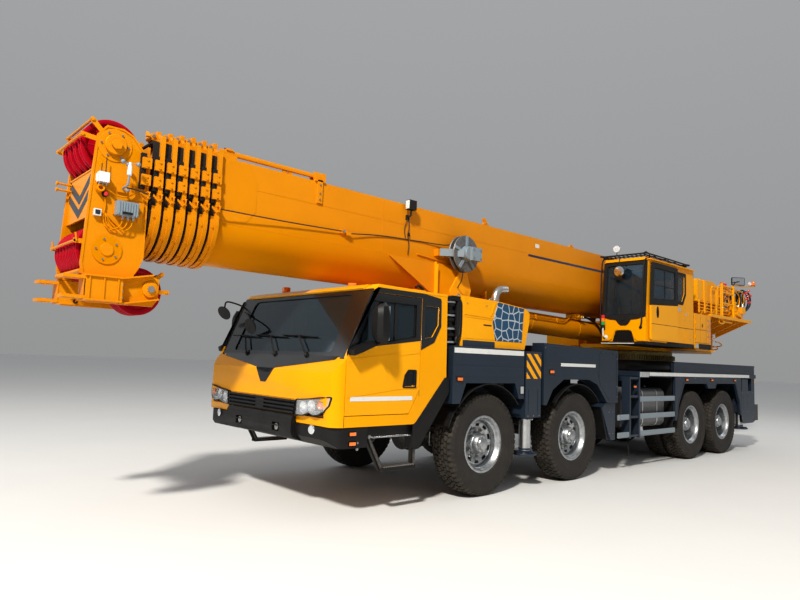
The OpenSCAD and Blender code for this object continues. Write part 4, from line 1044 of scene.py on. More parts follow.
# doors
DOOR = [(2.165, 1.020), (2.165, 1.590), (1.872, 2.262), (1.165, 2.262), (1.165, 1.270), (1.310, 1.020)]
DWIN = [(2.060, 1.690), (1.848, 2.185), (1.240, 2.185), (1.240, 1.835)]
for s, side in ((1, "left"), (-1, "right")):
    n = "cab_door_" + side
    b = B(n + "_panel", n, ["yellow", "plastic"], [n], bevel=0.005, segs=3)
    # body below the window line, window frame above it
    low = [(2.165, 1.020), (2.165, 1.590), (2.128, 1.675), (1.165, 1.800), (1.165, 1.270), (1.310, 1.020)]
    ya, yb = at_y(s, 1.292, 0.048)
    b.prism(low, ya, yb, "xz", "yellow")
    top_o = [(2.128, 1.675), (1.872, 2.262), (1.165, 2.262), (1.165, 1.800)]
    b.ring(top_o, DWIN, *at_y(s, 1.296, 0.046), "xz", "gloss")
    # raised belt crease and the lower fold
    yc, yd = at_y(s, 1.3395, 0.004)
    b.prism([(2.150, 1.545), (2.150, 1.575), (1.180, 1.690), (1.180, 1.665)], yc, yd, "xz", "yellow")
    b.prism([(2.150, 1.195), (2.150, 1.210), (1.180, 1.330), (1.180, 1.310)], yc, yd, "xz", "yellow")
    # reflective band and grip recess
    b.prism([(2.105, 1.160), (2.105, 1.204), (1.262, 1.204), (1.262, 1.160)], *at_y(s, 1.3400, 0.0022), "xz", "white")
    hd = [(1.215, 1.290), (1.215, 1.485), (1.335, 1.485), (1.385, 1.430), (1.415, 1.290)]
    b.ring(round_poly(hd, 0.016, 3), inset(round_poly(hd, 0.016, 3), 0.014), *at_y(s, 1.338, 0.010), "xz", "plastic")
    b.prism(inset(hd, 0.012), *at_y(s, 1.3405, 0.0012), "xz", "softblack")
    b.prism([(1.235, 1.318), (1.235, 1.462), (1.262, 1.462), (1.262, 1.318)], *at_y(s, 1.341, 0.013), "xz", "plastic")
    b.prism([(1.285, 1.312), (1.285, 1.445), (1.330, 1.445), (1.345, 1.400), (1.352, 1.312)], *at_y(s, 1.341, 0.006), "xz", "plastic")
    # inner trim; the hinge covers are not drawn
    b.prism([(2.10, 1.06), (2.10, 1.55), (1.22, 1.66), (1.22, 1.30), (1.34, 1.06)], *at_y(s, 1.284, 0.008), "xz", "trim")
    # rubber bead between frame and glass
    b.ring(inset(DWIN, -0.004), inset(DWIN, 0.012), *at_y(s, 1.312, 0.012), "xz", "softblack")
    # sliding-pane bar
    b.prism([(1.515, 1.785), (1.515, 2.190), (1.540, 2.190), (1.540, 1.782)], *at_y(s, 1.316, 0.016), "xz", "softblack")
    b.done("yellow_paint")
    b = B(n + "_pane", n, ["dglass"], bevel=0)
    b.prism(inset(DWIN, 0.004), *at_y(s, 1.3155, 0.004), "xz", "dglass")
    b.done("glass")
    # mirror: arm from the pillar's foot, tall housing with rounded back, two glasses
    b = B(n + "_mirror", n, ["plastic", "mirror"], bevel=0.008, segs=3)
    arm = [(2.145, 1.612), (2.160, 1.668), (2.100, 1.700), (1.930, 1.765), (1.862, 1.765), (1.862, 1.722), (1.940, 1.690), (2.060, 1.640)]
    b.prism(arm, *at_y(s, 1.341, 0.100), "xz", "plastic")
    rows = []
    for k in range(11):
        q = k / 10
        z = 1.737 + 0.420 * q
        e = 0.055 * (abs(2 * q - 1)) ** 4
        x0, x1 = 1.805 + 0.022 * q + e * 0.4, 1.944 + 0.008 * q - e
        rows.append([(x0, s * (1.412 + e * 0.5), z), (x1 - 0.020, s * (1.414 + e * 0.6), z), (x1, s * (1.440 + e), z), (x1 - 0.004, s * (1.520 - e), z), (x1 - 0.040, s * (1.568 - e), z), (x0 + 0.020, s * (1.578 - e * 0.7), z), (x0, s * (1.570 - e * 0.6), z)])
    v = [p for r in rows for p in r]
    m_ = 7
    f = [(j * m_ + i, j * m_ + (i + 1) % m_, (j + 1) * m_ + (i + 1) % m_, (j + 1) * m_ + i) for j in range(10) for i in range(m_)]
    f += [tuple(reversed(range(m_))), tuple(range(10 * m_, 11 * m_))]
    b.faces(v, f, "plastic")
    b.prism([(s * 1.440, 1.905), (s * 1.552, 1.905), (s * 1.552, 2.120), (s * 1.440, 2.120)], 1.8045, 1.822, "yz", "mirror")
    b.prism([(s * 1.440, 1.775), (s * 1.552, 1.775), (s * 1.552, 1.885), (s * 1.440, 1.885)], 1.8025, 1.815, "yz", "mirror")
    b.done()
# round close-view mirrors on bent stalks from the right pillar
b = B("front_mirrors", "carrier", ["plastic", "mirror"], bevel=0.001)
b.box(1.835, 1.885, -1.352, -1.300, 2.120, 2.225, "plastic")
b.tube([(1.860, -1.330, 2.200), (1.950, -1.350, 2.235), (2.060, -1.385, 2.262), (2.105, -1.400, 2.255), (2.118, -1.402, 2.215), (2.118, -1.402, 2.170)], 0.0105, "plastic", 10, sub=5)
b.tube([(1.865, -1.320, 2.140), (1.960, -1.140, 2.120), (2.070, -0.880, 2.080), (2.120, -0.720, 2.030), (2.115, -0.705, 1.990)], 0.0100, "plastic", 10, sub=5)
for c, ax in (((2.118, -1.402, 2.118), (0.45, 0.15, -0.32)), ((2.112, -0.700, 1.930), (0.62, 0.10, -0.22))):
    ax = Vector(ax).normalized()
    c = Vector(c)
    b.lathe([(0.024, 0.0), (0.022, 0.045), (0.010, 0.084), (-0.004, 0.098), (-0.012, 0.099), (-0.012, 0.092)], c, -ax, "plastic", seg=32)
    b.lathe([(0.010, 0.0), (0.012, 0.050), (0.006, 0.092), (0.004, 0.093)], c, ax, "mirror", seg=32)
b.done()

# inside of the cab
def seat(b, x, y, z):
    """Seat with crowned cushion and back, side bolsters, sewn channels and belt."""
    for (cx, cz, hx, hy, hz, tilt) in ((0.0, 0.075, 0.235, 0.225, 0.055, 0.0),):
        nx, ny = 10, 10
        v, f = [], []
        for i in range(nx + 1):
            for j in range(ny + 1):
                u, w = i / nx * 2 - 1, j / ny * 2 - 1
                h = hz * (1 - 0.55 * abs(u) ** 6) * (1 - 0.50 * abs(w) ** 6) + 0.020 * (abs(w) > 0.55) - 0.004 * (abs(((i * 1.0) % 3) - 0) < 0.5)
                v.append((x + cx + u * hx, y + w * hy, z + cz + h))
        k = len(v)
        for i in range(nx + 1):
            for j in range(ny + 1):
                u, w = i / nx * 2 - 1, j / ny * 2 - 1
                v.append((x + cx + u * hx * 0.95, y + w * hy * 0.95, z + cz - hz * 0.9))
        for i in range(nx):
            for j in range(ny):
                a = i * (ny + 1) + j
                f.append((a, a + ny + 1, a + ny + 2, a + 1))
                f.append((k + a, k + a + 1, k + a + ny + 2, k + a + ny + 1))
        rim_ = [i * (ny + 1) for i in range(nx + 1)] + [nx * (ny + 1) + j for j in range(1, ny + 1)] + [i * (ny + 1) + ny for i in range(nx - 1, -1, -1)] + [j for j in range(ny - 1, 0, -1)]
        for i in range(len(rim_)):
            a, c = rim_[i], rim_[(i + 1) % len(rim_)]
            f.append((a, c, k + c, k + a))
        b.faces(v, f, "fabric")
    # back
    def bp(h, w, t):
        lean = 0.20
        return (x - 0.19 - h * lean + t, y + w, z + 0.13 + h)
    nh, nw = 12, 8
    v, f = [], []
    for lay in (0, 1):
        for i in range(nh + 1):
            for j in range(nw + 1):
                u, w = i / nh, j / nw * 2 - 1
                wd = 0.22 * (1 - 0.22 * max(0, u - 0.75) * 4 * abs(w))
                t = (0.045 + 0.018 * (abs(w) > 0.6) - 0.006 * (i % 3 == 0)) * (1 - 0.4 * abs(w) ** 5) if lay == 0 else -0.045 * (1 - 0.3 * abs(w) ** 4)
                v.append(bp(u * 0.50, w * wd, t * (1 - 0.5 * (abs(u * 2 - 1)) ** 8)))
    k = (nh + 1) * (nw + 1)
    for i in range(nh):
        for j in range(nw):
            a = i * (nw + 1) + j
            f += [(a, a + 1, a + nw + 2, a + nw + 1), (k + a, k + a + nw + 1, k + a + nw + 2, k + a + 1)]
    rim_ = [i * (nw + 1) for i in range(nh + 1)] + [nh * (nw + 1) + j for j in range(1, nw + 1)] + [i * (nw + 1) + nw for i in range(nh - 1, -1, -1)] + [j for j in range(nw - 1, 0, -1)]
    for i in range(len(rim_)):
        a, c = rim_[i], rim_[(i + 1) % len(rim_)]
        f.append((a, k + a, k + c, c))
    b.faces(v, f, "fabric")
    b.sphere((x - 0.300, y, z + 0.725), 0.10, "fabric", 18, 10, (0.48, 1.15, 0.70))
    for dy in (-0.05, 0.05):
        b.cyl((x - 0.29, y + dy, z + 0.60), (x - 0.297, y + dy, z + 0.67), 0.007, "steel", 10)
    for dy in (-0.245, 0.245):
        b.obox((x - 0.02, y + dy, z + 0.245), (1, 0, 0.04), (0, 1, 0), (-0.04, 0, 1), 0.15, 0.026, 0.022, "trim")
        b.cyl((x - 0.17, y + dy, z + 0.20), (x - 0.17, y + dy * 0.9, z + 0.24), 0.018, "trim", 12)

b = B("cab_inside", "carrier", ["trim", "fabric", "steel", "softblack"], ["cab_interior"], bevel=0.006)
for y in (0.66, -0.66):
    seat(b, 1.40, y, 1.16)
    b.box(1.22, 1.56, y - 0.16, y + 0.16, 1.001, 1.040, "softblack")
    for k in range(6):
        b.box(1.26 + 0.001 * k, 1.52 - 0.001 * k, y - 0.13, y + 0.13, 1.042 + 0.020 * k, 1.054 + 0.020 * k, "softblack")
b.prism([(2.225, 0.975), (2.225, 1.395), (2.100, 1.505), (1.985, 1.520), (1.860, 1.470), (1.845, 1.380), (1.955, 1.290), (2.045, 1.240), (2.045, 0.975)], -1.20, 1.20, "xz", "trim")
b.prism([(1.990, 1.518), (1.870, 1.476), (1.862, 1.500), (1.930, 1.580), (2.000, 1.590), (2.040, 1.520)], 0.36, 0.92, "xz", "trim")
for k in range(4):
    b.cyl((1.880, 0.46 + 0.12 * k, 1.500), (1.873, 0.46 + 0.12 * k, 1.508), 0.042, "softblack", 20)
for k in range(8):
    b.box(1.842, 1.852, -0.25 + 0.06 * k, -0.21 + 0.06 * k, 1.39, 1.43, "softblack")
b.box(1.838, 1.849, -0.95, -0.45, 1.385, 1.455, "softblack")
b.box(1.22, 2.035, -1.285, 1.285, 0.972, 0.998, "softblack")
b.box(1.215, 1.90, -0.30, 0.30, 1.001, 1.240, "trim")
b.box(1.30, 1.62, -0.20, 0.20, 1.240, 1.300, "trim")
b.tube([(1.70, -0.02, 1.24), (1.69, -0.02, 1.34), (1.67, -0.02, 1.42)], 0.010, "steel", 8)
b.sphere((1.67, -0.02, 1.44), 0.028, "softblack", 14, 8)
# steering wheel and column
c0, dn = Vector((1.790, 0.64, 1.56)), Vector((-sin(radians(62)), 0, cos(radians(62))))
e1, e2 = Vector((cos(radians(62)), 0, sin(radians(62)))), Vector((0, 1, 0))
b.tube([c0 + 0.205 * (cos(2 * pi * i / 36) * e1 + sin(2 * pi * i / 36) * e2) for i in range(36)], 0.0155, "softblack", 10, closed=True)
for a in (90, 210, 330):
    b.tube([c0 - dn * 0.02, c0 + 0.20 * (cos(radians(a)) * e1 + sin(radians(a)) * e2)], 0.012, "softblack", 8)
b.cyl(c0 - dn * 0.03, c0 + dn * 0.012, 0.052, "softblack", 24)
b.cyl(c0 - dn * 0.03, c0 - dn * 0.33, 0.032, "trim", 16)
# rear wall shelf and roof console
b.box(0.83, 0.90, -1.20, 1.20, 1.50, 1.56, "trim")
b.prism([(1.76, 2.285), (1.72, 2.20), (1.55, 2.22), (1.50, 2.285)], -1.0, 1.0, "xz", "trim")
for y in (-0.55, 0.55):
    b.prism([(1.84, 2.14), (1.835, 2.16), (1.73, 2.24), (1.72, 2.23)], y - 0.22, y + 0.22, "xz", "softblack")
b.done("seat_trim")

# ------------------------------------------------------------------ engine cover, intake, side panels
def hexmat(name, base, line, mx):
    """Plain large cells with pale joints, for the perforated grille field."""
    t = NT(name)
    v = t.n("ShaderNodeTexVoronoi", feature="DISTANCE_TO_EDGE")
    v.inputs["Scale"].default_value = mx
    v.inputs["Randomness"].default_value = 0.62
    t.link(t.scaled((1, 0.02, 1)), v.inputs["Vector"])
    f = t.ramp(v.outputs["Distance"], [(0.045, (1, 1, 1)), (0.070, (0, 0, 0))])
    n = t.noise(1.5, 4)
    t.link(t.mix(f, t.mix(n, tuple(c * 0.8 for c in base), tuple(c * 1.25 for c in base)), line), t.b.inputs["Base Color"])
    t.link(t.math("ADD", t.math("MULTIPLY", t.noise(30.0, 4), 0.15), 0.32), t.b.inputs["Roughness"])
    t.bump(f, 0.25, 0.002)
    t.set(coat=0.3, coat_rough=0.15)
    return t.m
M["cells"] = hexmat("blue_cell_field", (0.010, 0.060, 0.125), (0.42, 0.46, 0.50), 8.4)
M["cells2"] = hexmat("grey_cell_field", (0.74, 0.285, 0.003), (0.22, 0.20, 0.17), 9.0)

b = skin("engine_cover", "yellow", 0.014, segs=3)
for s in (1, -1):
    # raised flank panels with a slanting split, and the louvred field behind it
    b.prism([(0.462, 1.868), (0.462, 2.085), (-0.066, 2.072), (-0.118, 1.868)], *at_y(s, 1.3190, 0.005), "xz", "yellow")
    b.prism([(0.462, 2.122), (0.462, 2.352), (-0.150, 2.342), (-0.066, 2.110)], *at_y(s, 1.3190, 0.005), "xz", "yellow")
    b.prism([(0.455, 2.150), (0.455, 2.168), (-0.075, 2.152), (-0.060, 2.132)], *at_y(s, 1.3215, 0.008), "xz", "yellow")
    b.prism([(-0.020, 2.165), (-0.098, 2.318), (-0.122, 2.330), (-0.105, 2.296), (-0.048, 2.165)], *at_y(s, 1.3215, 0.008), "xz", "yellow")
    fld = [(-0.171, 2.343), (-0.074, 2.085), (-0.131, 1.862), (-0.662, 1.862), (-0.700, 2.302)]
    b.prism(fld, *at_y(s, 1.3190, 0.0045), "xz", "cells")
    # black footing strip, and two inlet slots drawn as thin black sheets, painted shade of the openings
    b.prism([(0.462, 1.775), (0.462, 1.846), (-0.120, 1.846), (-0.120, 1.775)], *at_y(s, 1.3200, 0.004), "xz", "navy")
    b.prism([(0.10, 2.035), (0.10, 2.052), (-0.05, 2.049), (-0.05, 2.033)], *at_y(s, 1.3245, 0.0012), "xz", "softblack")
    for x in (0.40, 0.05):
        b.nut((x, s * 1.3245, 2.28), (0, s, 0), 0.009, 0.006, "bolt", False)
# roof ribs, lifting eyes and the rear grille
for y in (-0.9, -0.45, 0.0, 0.45, 0.9):
    b.box(-0.16, 0.44, y - 0.020, y + 0.020, 2.352, 2.364, "yellow")
for s in (1, -1):
    for x in (-0.22, 0.38):
        b.lathe([(-0.008, 0.030), (0.008, 0.030), (0.008, 0.014), (-0.008, 0.014)], (x, s * 1.16, 2.378), (0, 1, 0), "steel", seg=20, closed=True)
for k in range(10):
    z = 1.82 + 0.032 * k
    b.obox((-0.727, 0, z), (0.35, 0, 1), (0, 1, 0), (1, 0, -0.35), 0.014, 0.92, 0.003, "softblack")
b.done("yellow_paint")

b = B("engine_block", "carrier", ["cast"], ["engine"], bevel=0.008)
b.box(-0.56, 0.40, -0.37, 0.37, 1.20, 1.74, "cast")
b.box(-0.42, 0.30, -0.28, 0.28, 1.74, 2.10, "cast")
for k in range(6):
    b.box(-0.38 + 0.115 * k, -0.30 + 0.115 * k, -0.25, 0.25, 2.10, 2.16, "cast")
for k in range(5):
    b.cyl((-0.3 + 0.14 * k, 0.37, 1.5), (-0.3 + 0.14 * k, 0.43, 1.5), 0.045, "cast", 16)
b.prism([(-0.561, 1.195), (-0.561, 1.395), (-0.90, 1.38), (-1.30, 1.33), (-1.88, 1.32), (-1.88, 1.20)], -0.205, 0.205, "xz", "cast")
for x in (-0.7, -1.0, -1.3, -1.6):
    b.box(x - 0.012, x + 0.012, -0.212, 0.212, 1.19, 1.36, "cast")
# intake tower: black frame, corrugated duct, hand rail shaped cover at its back
b.box(0.525, 0.560, 0.935, 1.316, 1.775, 2.343, "softblack")
b.box(0.560, 0.700, 0.935, 1.130, 1.775, 2.335, "softblack")
b.prism([(0.520, 2.298), (0.520, 2.350), (0.660, 2.350), (0.735, 2.320), (0.735, 2.290)], 0.925, 1.325, "xz", "plastic")
b.tube([(0.556, 1.296, 1.80), (0.548, 1.296, 1.86), (0.500, 1.300, 1.93), (0.494, 1.300, 2.22), (0.520, 1.300, 2.30), (0.600, 1.296, 2.325)], 0.026, "plastic", 12, sub=4)
prof = []
for k in range(25):
    z = 0.53 * k / 24
    prof.append((z, 0.076 + 0.012 * (1 if k % 4 in (1, 2) else -1)))
b.lathe(prof, (0.632, 1.222, 1.775), (0, 0, 1), "plastic", seg=32)
for z in (1.80, 1.955, 2.11, 2.265):
    b.lathe([(0, 0.088), (0, 0.094), (0.022, 0.094), (0.022, 0.088)], (0.632, 1.222, z), (0, 0, 1), "steel", seg=32, closed=True)
# exhaust: pipe with a bent, slash-cut end
c, r0 = Vector((-0.460, 1.15, 2.400)), 0.140
path = [Vector((-0.320, 1.15, 2.10)), Vector((-0.320, 1.15, 2.37))] + [c + r0 * Vector((cos(a), 0, sin(a))) for a in [radians(8.5 * k) for k in range(11)]]
tip = Vector((-sin(radians(85)), 0, cos(radians(85))))
path.append(path[-1] + 0.085 * tip)
b.tube(path, 0.0495, "exhaust", 28)
b.lathe([(-0.006, 0.0498), (0.004, 0.0498), (0.004, 0.045), (-0.14, 0.044), (-0.14, 0.0)], path[-1], tip, "exhaust", seg=28)
b.lathe([(0, 0.050), (0, 0.056), (0.012, 0.056), (0.012, 0.050)], (-0.320, 1.15, 2.340), (0, 0, 1), "exhaust", seg=28, closed=True)
b.lathe([(0, 0.050), (0, 0.055), (0.018, 0.055), (0.018, 0.050)], (-0.320, 1.15, 2.385), (0, 0, 1), "exhaust", seg=28, closed=True)
b.done("engine_iron")

b = skin("front_fenders", "navy", 0.008, segs=3)
for s in (1, -1):
    Y = 1.3745
    # front side panel: silver band, pressed fields, lower lip
    strip(b, -0.645, 0.655, 1.692, 1.752, Y, s, "white", 0.0035)
    strip(b, -0.655, 0.665, 1.756, 1.770, Y, s, "navy", 0.0030)
    b.prism([(0.655, 1.560), (0.655, 1.672), (-0.640, 1.672), (-0.640, 1.560)], *at_y(s, Y, 0.0030), "xz", "navy")
    b.prism([(0.655, 1.425), (0.655, 1.535), (-0.640, 1.535), (-0.640, 1.425)], *at_y(s, Y, 0.0030), "xz", "navy")
    lamp_side(b, 0.56, 1.392, Y, s)
    # arch flare over the first wheel
    arch = []
    for k in range(15):
        a = radians(18 + 144 * k / 14)
        arch.append((0.0 + 0.78 * cos(a), TR + 0.78 * sin(a)))
    for (p0, p1) in zip(arch[:-1], arch[1:]):
        if p0[1] < 1.10 or p1[1] < 1.10:
            continue
    for k in range(14):
        a0, a1 = radians(40 + 100 * k / 14), radians(40 + 100 * (k + 1) / 14)
        for ctr, rr in ((0.0, 0.715), (-1.92, 0.715)):
            q = [(ctr + rr * cos(a0), TR + rr * sin(a0)), (ctr + (rr + 0.016) * cos(a0), TR + (rr + 0.016) * sin(a0)), (ctr + (rr + 0.016) * cos(a1), TR + (rr + 0.016) * sin(a1)), (ctr + rr * cos(a1), TR + rr * sin(a1))]
            b.prism(q, s * 1.02 if s > 0 else -1.372, s * 1.372 if s > 0 else -1.02, "xz", "plastic")
    # box over the second wheel
    strip(b, -2.36, -1.48, 1.578, 1.622, Y, s, "white", 0.0070)
    out2 = round_poly([(-1.12, 1.60), (-1.12, 1.85), (-2.98, 1.815), (-2.98, 1.10), (-2.75, 1.10), (-2.50, 1.33), (-2.42, 1.52), (-1.50, 1.60)], 0.03, 3)
    b.ring(out2, inset(out2, 0.010), *at_y(s, Y, 0.0035), "xz", "navy")
    for (xa, xb, za, zb) in ((-1.13, -1.34, 1.43, 1.565), (-2.47, -2.96, 1.36, 1.79)):
        q = round_poly([(xa, za), (xa, zb), (xb, zb), (xb, za)], 0.02, 3)
        b.ring(q, inset(q, 0.008), *at_y(s, Y, 0.0030), "xz", "navy")
    lamp_side(b, -1.26, 1.50, Y, s)
    for (x, z) in ((-2.98, 1.15), (-2.98, 1.30), (-2.98, 1.72), (-1.12, 1.82)):
        b.nut((x + 0.01, s * (Y + 0.003), z), (0, s, 0), 0.008, 0.005, "bolt", False)
    # hinges of the locker flap; its latch is not drawn
    for x in (-2.55, -2.88):
        b.cyl((x - 0.035, s * 1.379, 1.800), (x + 0.035, s * 1.379, 1.800), 0.008, "navy", 10)
    # top deck: chequer-like ribs; the raised coaming is not drawn
    for k in range(12):
        x = -1.20 - 0.15 * k
        b.box(x - 0.01, x + 0.01, min(s * 0.62, s * 1.10), max(s * 0.62, s * 1.10), 1.8405, 1.848, "navy")
    # small control box beside the jack
    b.box(-0.655, -0.575, min(s * 1.372, s * 1.379), max(s * 1.372, s * 1.379), 1.20, 1.32, "softblack")
    b.box(-0.645, -0.585, min(s * 1.379, s * 1.383), max(s * 1.379, s * 1.383), 1.215, 1.305, "pale")
    # the mudflap panel behind the second wheel is drawn as its own object below; its tray is not drawn
b.done()
b = B("mudflaps", "carrier", ["navy", "plastic"], bevel=0.004)
for s in (1, -1):
    ya, yb = (1.00, 1.335) if s > 0 else (-1.335, -1.00)
    b.prism([(-2.62, 0.98), (-2.72, 1.055), (-3.005, 1.055), (-3.005, 0.50), (-2.88, 0.50), (-2.80, 0.62)], ya, yb, "xz", "navy")
    b.prism([(-2.60, 1.00), (-2.585, 1.00), (-2.75, 0.52), (-2.79, 0.52)], ya, yb, "xz", "plastic")
    for x in (-2.82, -2.93):
        b.nut((x, s * 1.335, 0.92), (0, s, 0), 0.009, 0.006, "bolt", False)
        b.nut((x, s * 1.335, 0.60), (0, s, 0), 0.009, 0.006, "bolt", False)
    b.prism([(-4.955, 0.56), (-4.930, 0.56), (-4.930, 1.44), (-4.955, 1.44)], s * 0.70 if s > 0 else -1.325, s * 1.325 if s > 0 else -0.70, "xz", "plastic")
b.done()

# ------------------------------------------------------------------ deck, tank, ladders, tail
b = skin("rear_deck", "navy", 0.008, segs=3)
for s in (1, -1):
    Y = 1.3745
    strip(b, -8.40, -4.02, 1.474, 1.534, Y, s, "white", 0.0035)
    strip(b, -8.76, -3.70, 1.534, 1.541, Y, s, "navy", 0.0045)
    b.box(-4.00, -3.70, min(s * 1.374, s * 1.3775), max(s * 1.374, s * 1.3775), 1.452, 1.541, "pale")
    for x in (-3.78, -3.92):
        for z in (1.475, 1.515):
            b.nut((x, s * 1.3775, z), (0, s, 0), 0.008, 0.005, "bolt", False)
    # flared lips of the two arches, cut as in the plate
    lip = [(-4.985, 0.72), (-5.065, 1.005), (-5.295, 1.385), (-6.235, 1.385), (-6.320, 1.292), (-6.665, 1.292), (-6.755, 1.385), (-7.665, 1.385), (-7.885, 1.005), (-7.925, 0.72)]
    lo = [(-5.000, 0.72), (-5.080, 1.000), (-5.305, 1.372), (-6.240, 1.372), (-6.325, 1.278), (-6.660, 1.278), (-6.750, 1.372), (-7.655, 1.372), (-7.870, 1.000), (-7.910, 0.72)]
    for i in range(len(lip) - 1):
        b.prism([lip[i], lip[i + 1], lo[i + 1], lo[i]], *at_y(s, Y, 0.0045), "xz", "navy")
    for x in (-5.40, -6.49, -7.60):
        lamp_side(b, x, 1.418, Y, s, 0.06, 0.028)
    q = round_poly([(-8.02, 1.20), (-8.02, 1.44), (-8.60, 1.44), (-8.60, 1.20)], 0.01, 2)
    for x in (-5.15, -5.75, -6.5, -7.1, -7.7):
        b.nut((x, s * (Y + 0.001), 1.448), (0, s, 0), 0.007, 0.005, "bolt", False)
    # coaming of the tray
    b.box(-8.78, -6.90, min(s * 1.335, s * 1.352), max(s * 1.335, s * 1.352), 1.700, 1.727, "navy")
    b.box(-6.90, -4.98, min(s * 1.300, s * 1.350), max(s * 1.300, s * 1.350), 1.700, 1.727, "navy")
    # rear lamps: bar with red, orange and white cells, and slanted marks
    for k, m in enumerate(("redlens", "orange", "whitelens", "redlens")):
        b.box(-8.790, -8.781, s * (0.78 + 0.13 * k) if s > 0 else -(0.78 + 0.13 * k) - 0.11, s * (0.78 + 0.13 * k) + (0.11 if s > 0 else 0), 1.03, 1.13, m)
    b.box(-8.7845, -8.780, min(s * 0.74, s * 1.34), max(s * 0.74, s * 1.34), 0.99, 1.17, "softblack")
    for k in range(5):
        y0 = 0.76 + 0.12 * k
        v = [(-8.7835, s * y0, 1.22), (-8.7835, s * (y0 + 0.06), 1.22), (-8.7835, s * (y0 + 0.12), 1.40), (-8.7835, s * (y0 + 0.06), 1.40)]
        v += [(p[0] + 0.003, p[1], p[2]) for p in v]
        b.faces(v, [(0, 1, 2, 3), (7, 6, 5, 4), (0, 4, 5, 1), (1, 5, 6, 2), (2, 6, 7, 3), (3, 7, 4, 0)], "yellow")
# tray floor slats
for k in range(11):
    x = -8.55 + 0.125 * k
    b.box(x - 0.012, x + 0.012, -1.14, 1.14, 1.640, 1.648, "navy")
# radial stiffeners round the ring's seat
for k in range(16):
    a = 2 * pi * k / 16
    c, sn = cos(a), sin(a)
    b.obox((-6.0 + 0.83 * c, 0.83 * sn, 1.56), (c, sn, 0), (-sn, c, 0), (0, 0, 1), 0.045, 0.006, 0.018, "navy")
b.done()

b = B("tanks", "carrier", ["tank", "steel", "softblack"], ["fuel_tank"], bevel=0.004)
for s in (1, -1):
    prof = []
    for (cy, cz, a0) in ((1.13, 1.16, 0), (0.86, 1.16, 90), (0.86, 0.74, 180), (1.13, 0.74, 270)):
        for k in range(7):
            a = radians(a0 + 15 * k)
            prof.append((s * (cy + 0.1095 * cos(a)), cz + 0.1095 * sin(a)))
    b.prism(prof, -4.795, -3.805, "yz", "tank")
    for x in (-4.798, -4.55, -4.30, -4.05, -3.802):
        big = []
        for (cy, cz, a0) in ((1.13, 1.16, 0), (0.86, 1.16, 90), (0.86, 0.74, 180), (1.13, 0.74, 270)):
            for k in range(7):
                a = radians(a0 + 15 * k)
                rr = 0.1145 if x in (-4.798, -3.802) else 0.1115
                big.append((s * (cy + rr * cos(a)), cz + rr * sin(a)))
        if x in (-4.30,):
            continue
        if x in (-4.798, -3.802):
            b.prism(big, x - 0.008, x + 0.008, "yz", "tank")
        else:
            b.prism(big, x - 0.026, x + 0.026, "yz", "softblack")
            big2 = [(p[0] + (0.0025 if p[0] * s > 1.0 * 1 else -0.0025) * s, p[1]) for p in big]
            b.prism([(q[0] + s * 0.0015 * (1 if abs(q[0]) > 1.0 else -1), q[1] + 0.0015 * (1 if q[1] > 0.95 else -1)) for q in big], x - 0.019, x + 0.019, "yz", "steel")
            b.tube([(x, s * 1.02, 1.278), (x, s * 1.02, 1.305)], 0.008, "bolt", 8)
            b.box(x - 0.018, x + 0.018, s * 1.02 - 0.022, s * 1.02 + 0.022, 1.274, 1.286, "steel")
    # filler neck and sender; the drain is not drawn
    b.lathe([(0, 0.052), (0.035, 0.052), (0.038, 0.060), (0.060, 0.060), (0.064, 0.050), (0.066, 0.0)], (-3.95, s * 1.08, 1.268), (0, 0, 1), "softblack", seg=24)
    for k in range(10):
        a = 2 * pi * k / 10
        b.cyl((-3.95 + 0.058 * cos(a), s * 1.08 + 0.058 * sin(a), 1.308), (-3.95 + 0.058 * cos(a), s * 1.08 + 0.058 * sin(a), 1.326), 0.007, "softblack", 8)
    b.lathe([(0, 0.035), (0.012, 0.035), (0.014, 0.020), (0.030, 0.018), (0.031, 0.0)], (-4.35, s * 0.98, 1.268), (0, 0, 1), "steel", seg=20)
    b.box(-4.76, -3.84, min(s * 0.455, s * 0.748), max(s * 0.455, s * 0.748), 0.90, 0.98, "under")
    for x in (-4.55, -4.05):
        b.prism([(s * 0.455, 0.60), (s * 0.455, 0.90), (s * 0.75, 0.90), (s * 0.75, 0.70), (s * 0.60, 0.60)], x - 0.02, x + 0.02, "yz", "under")
b.done("tank_steel")

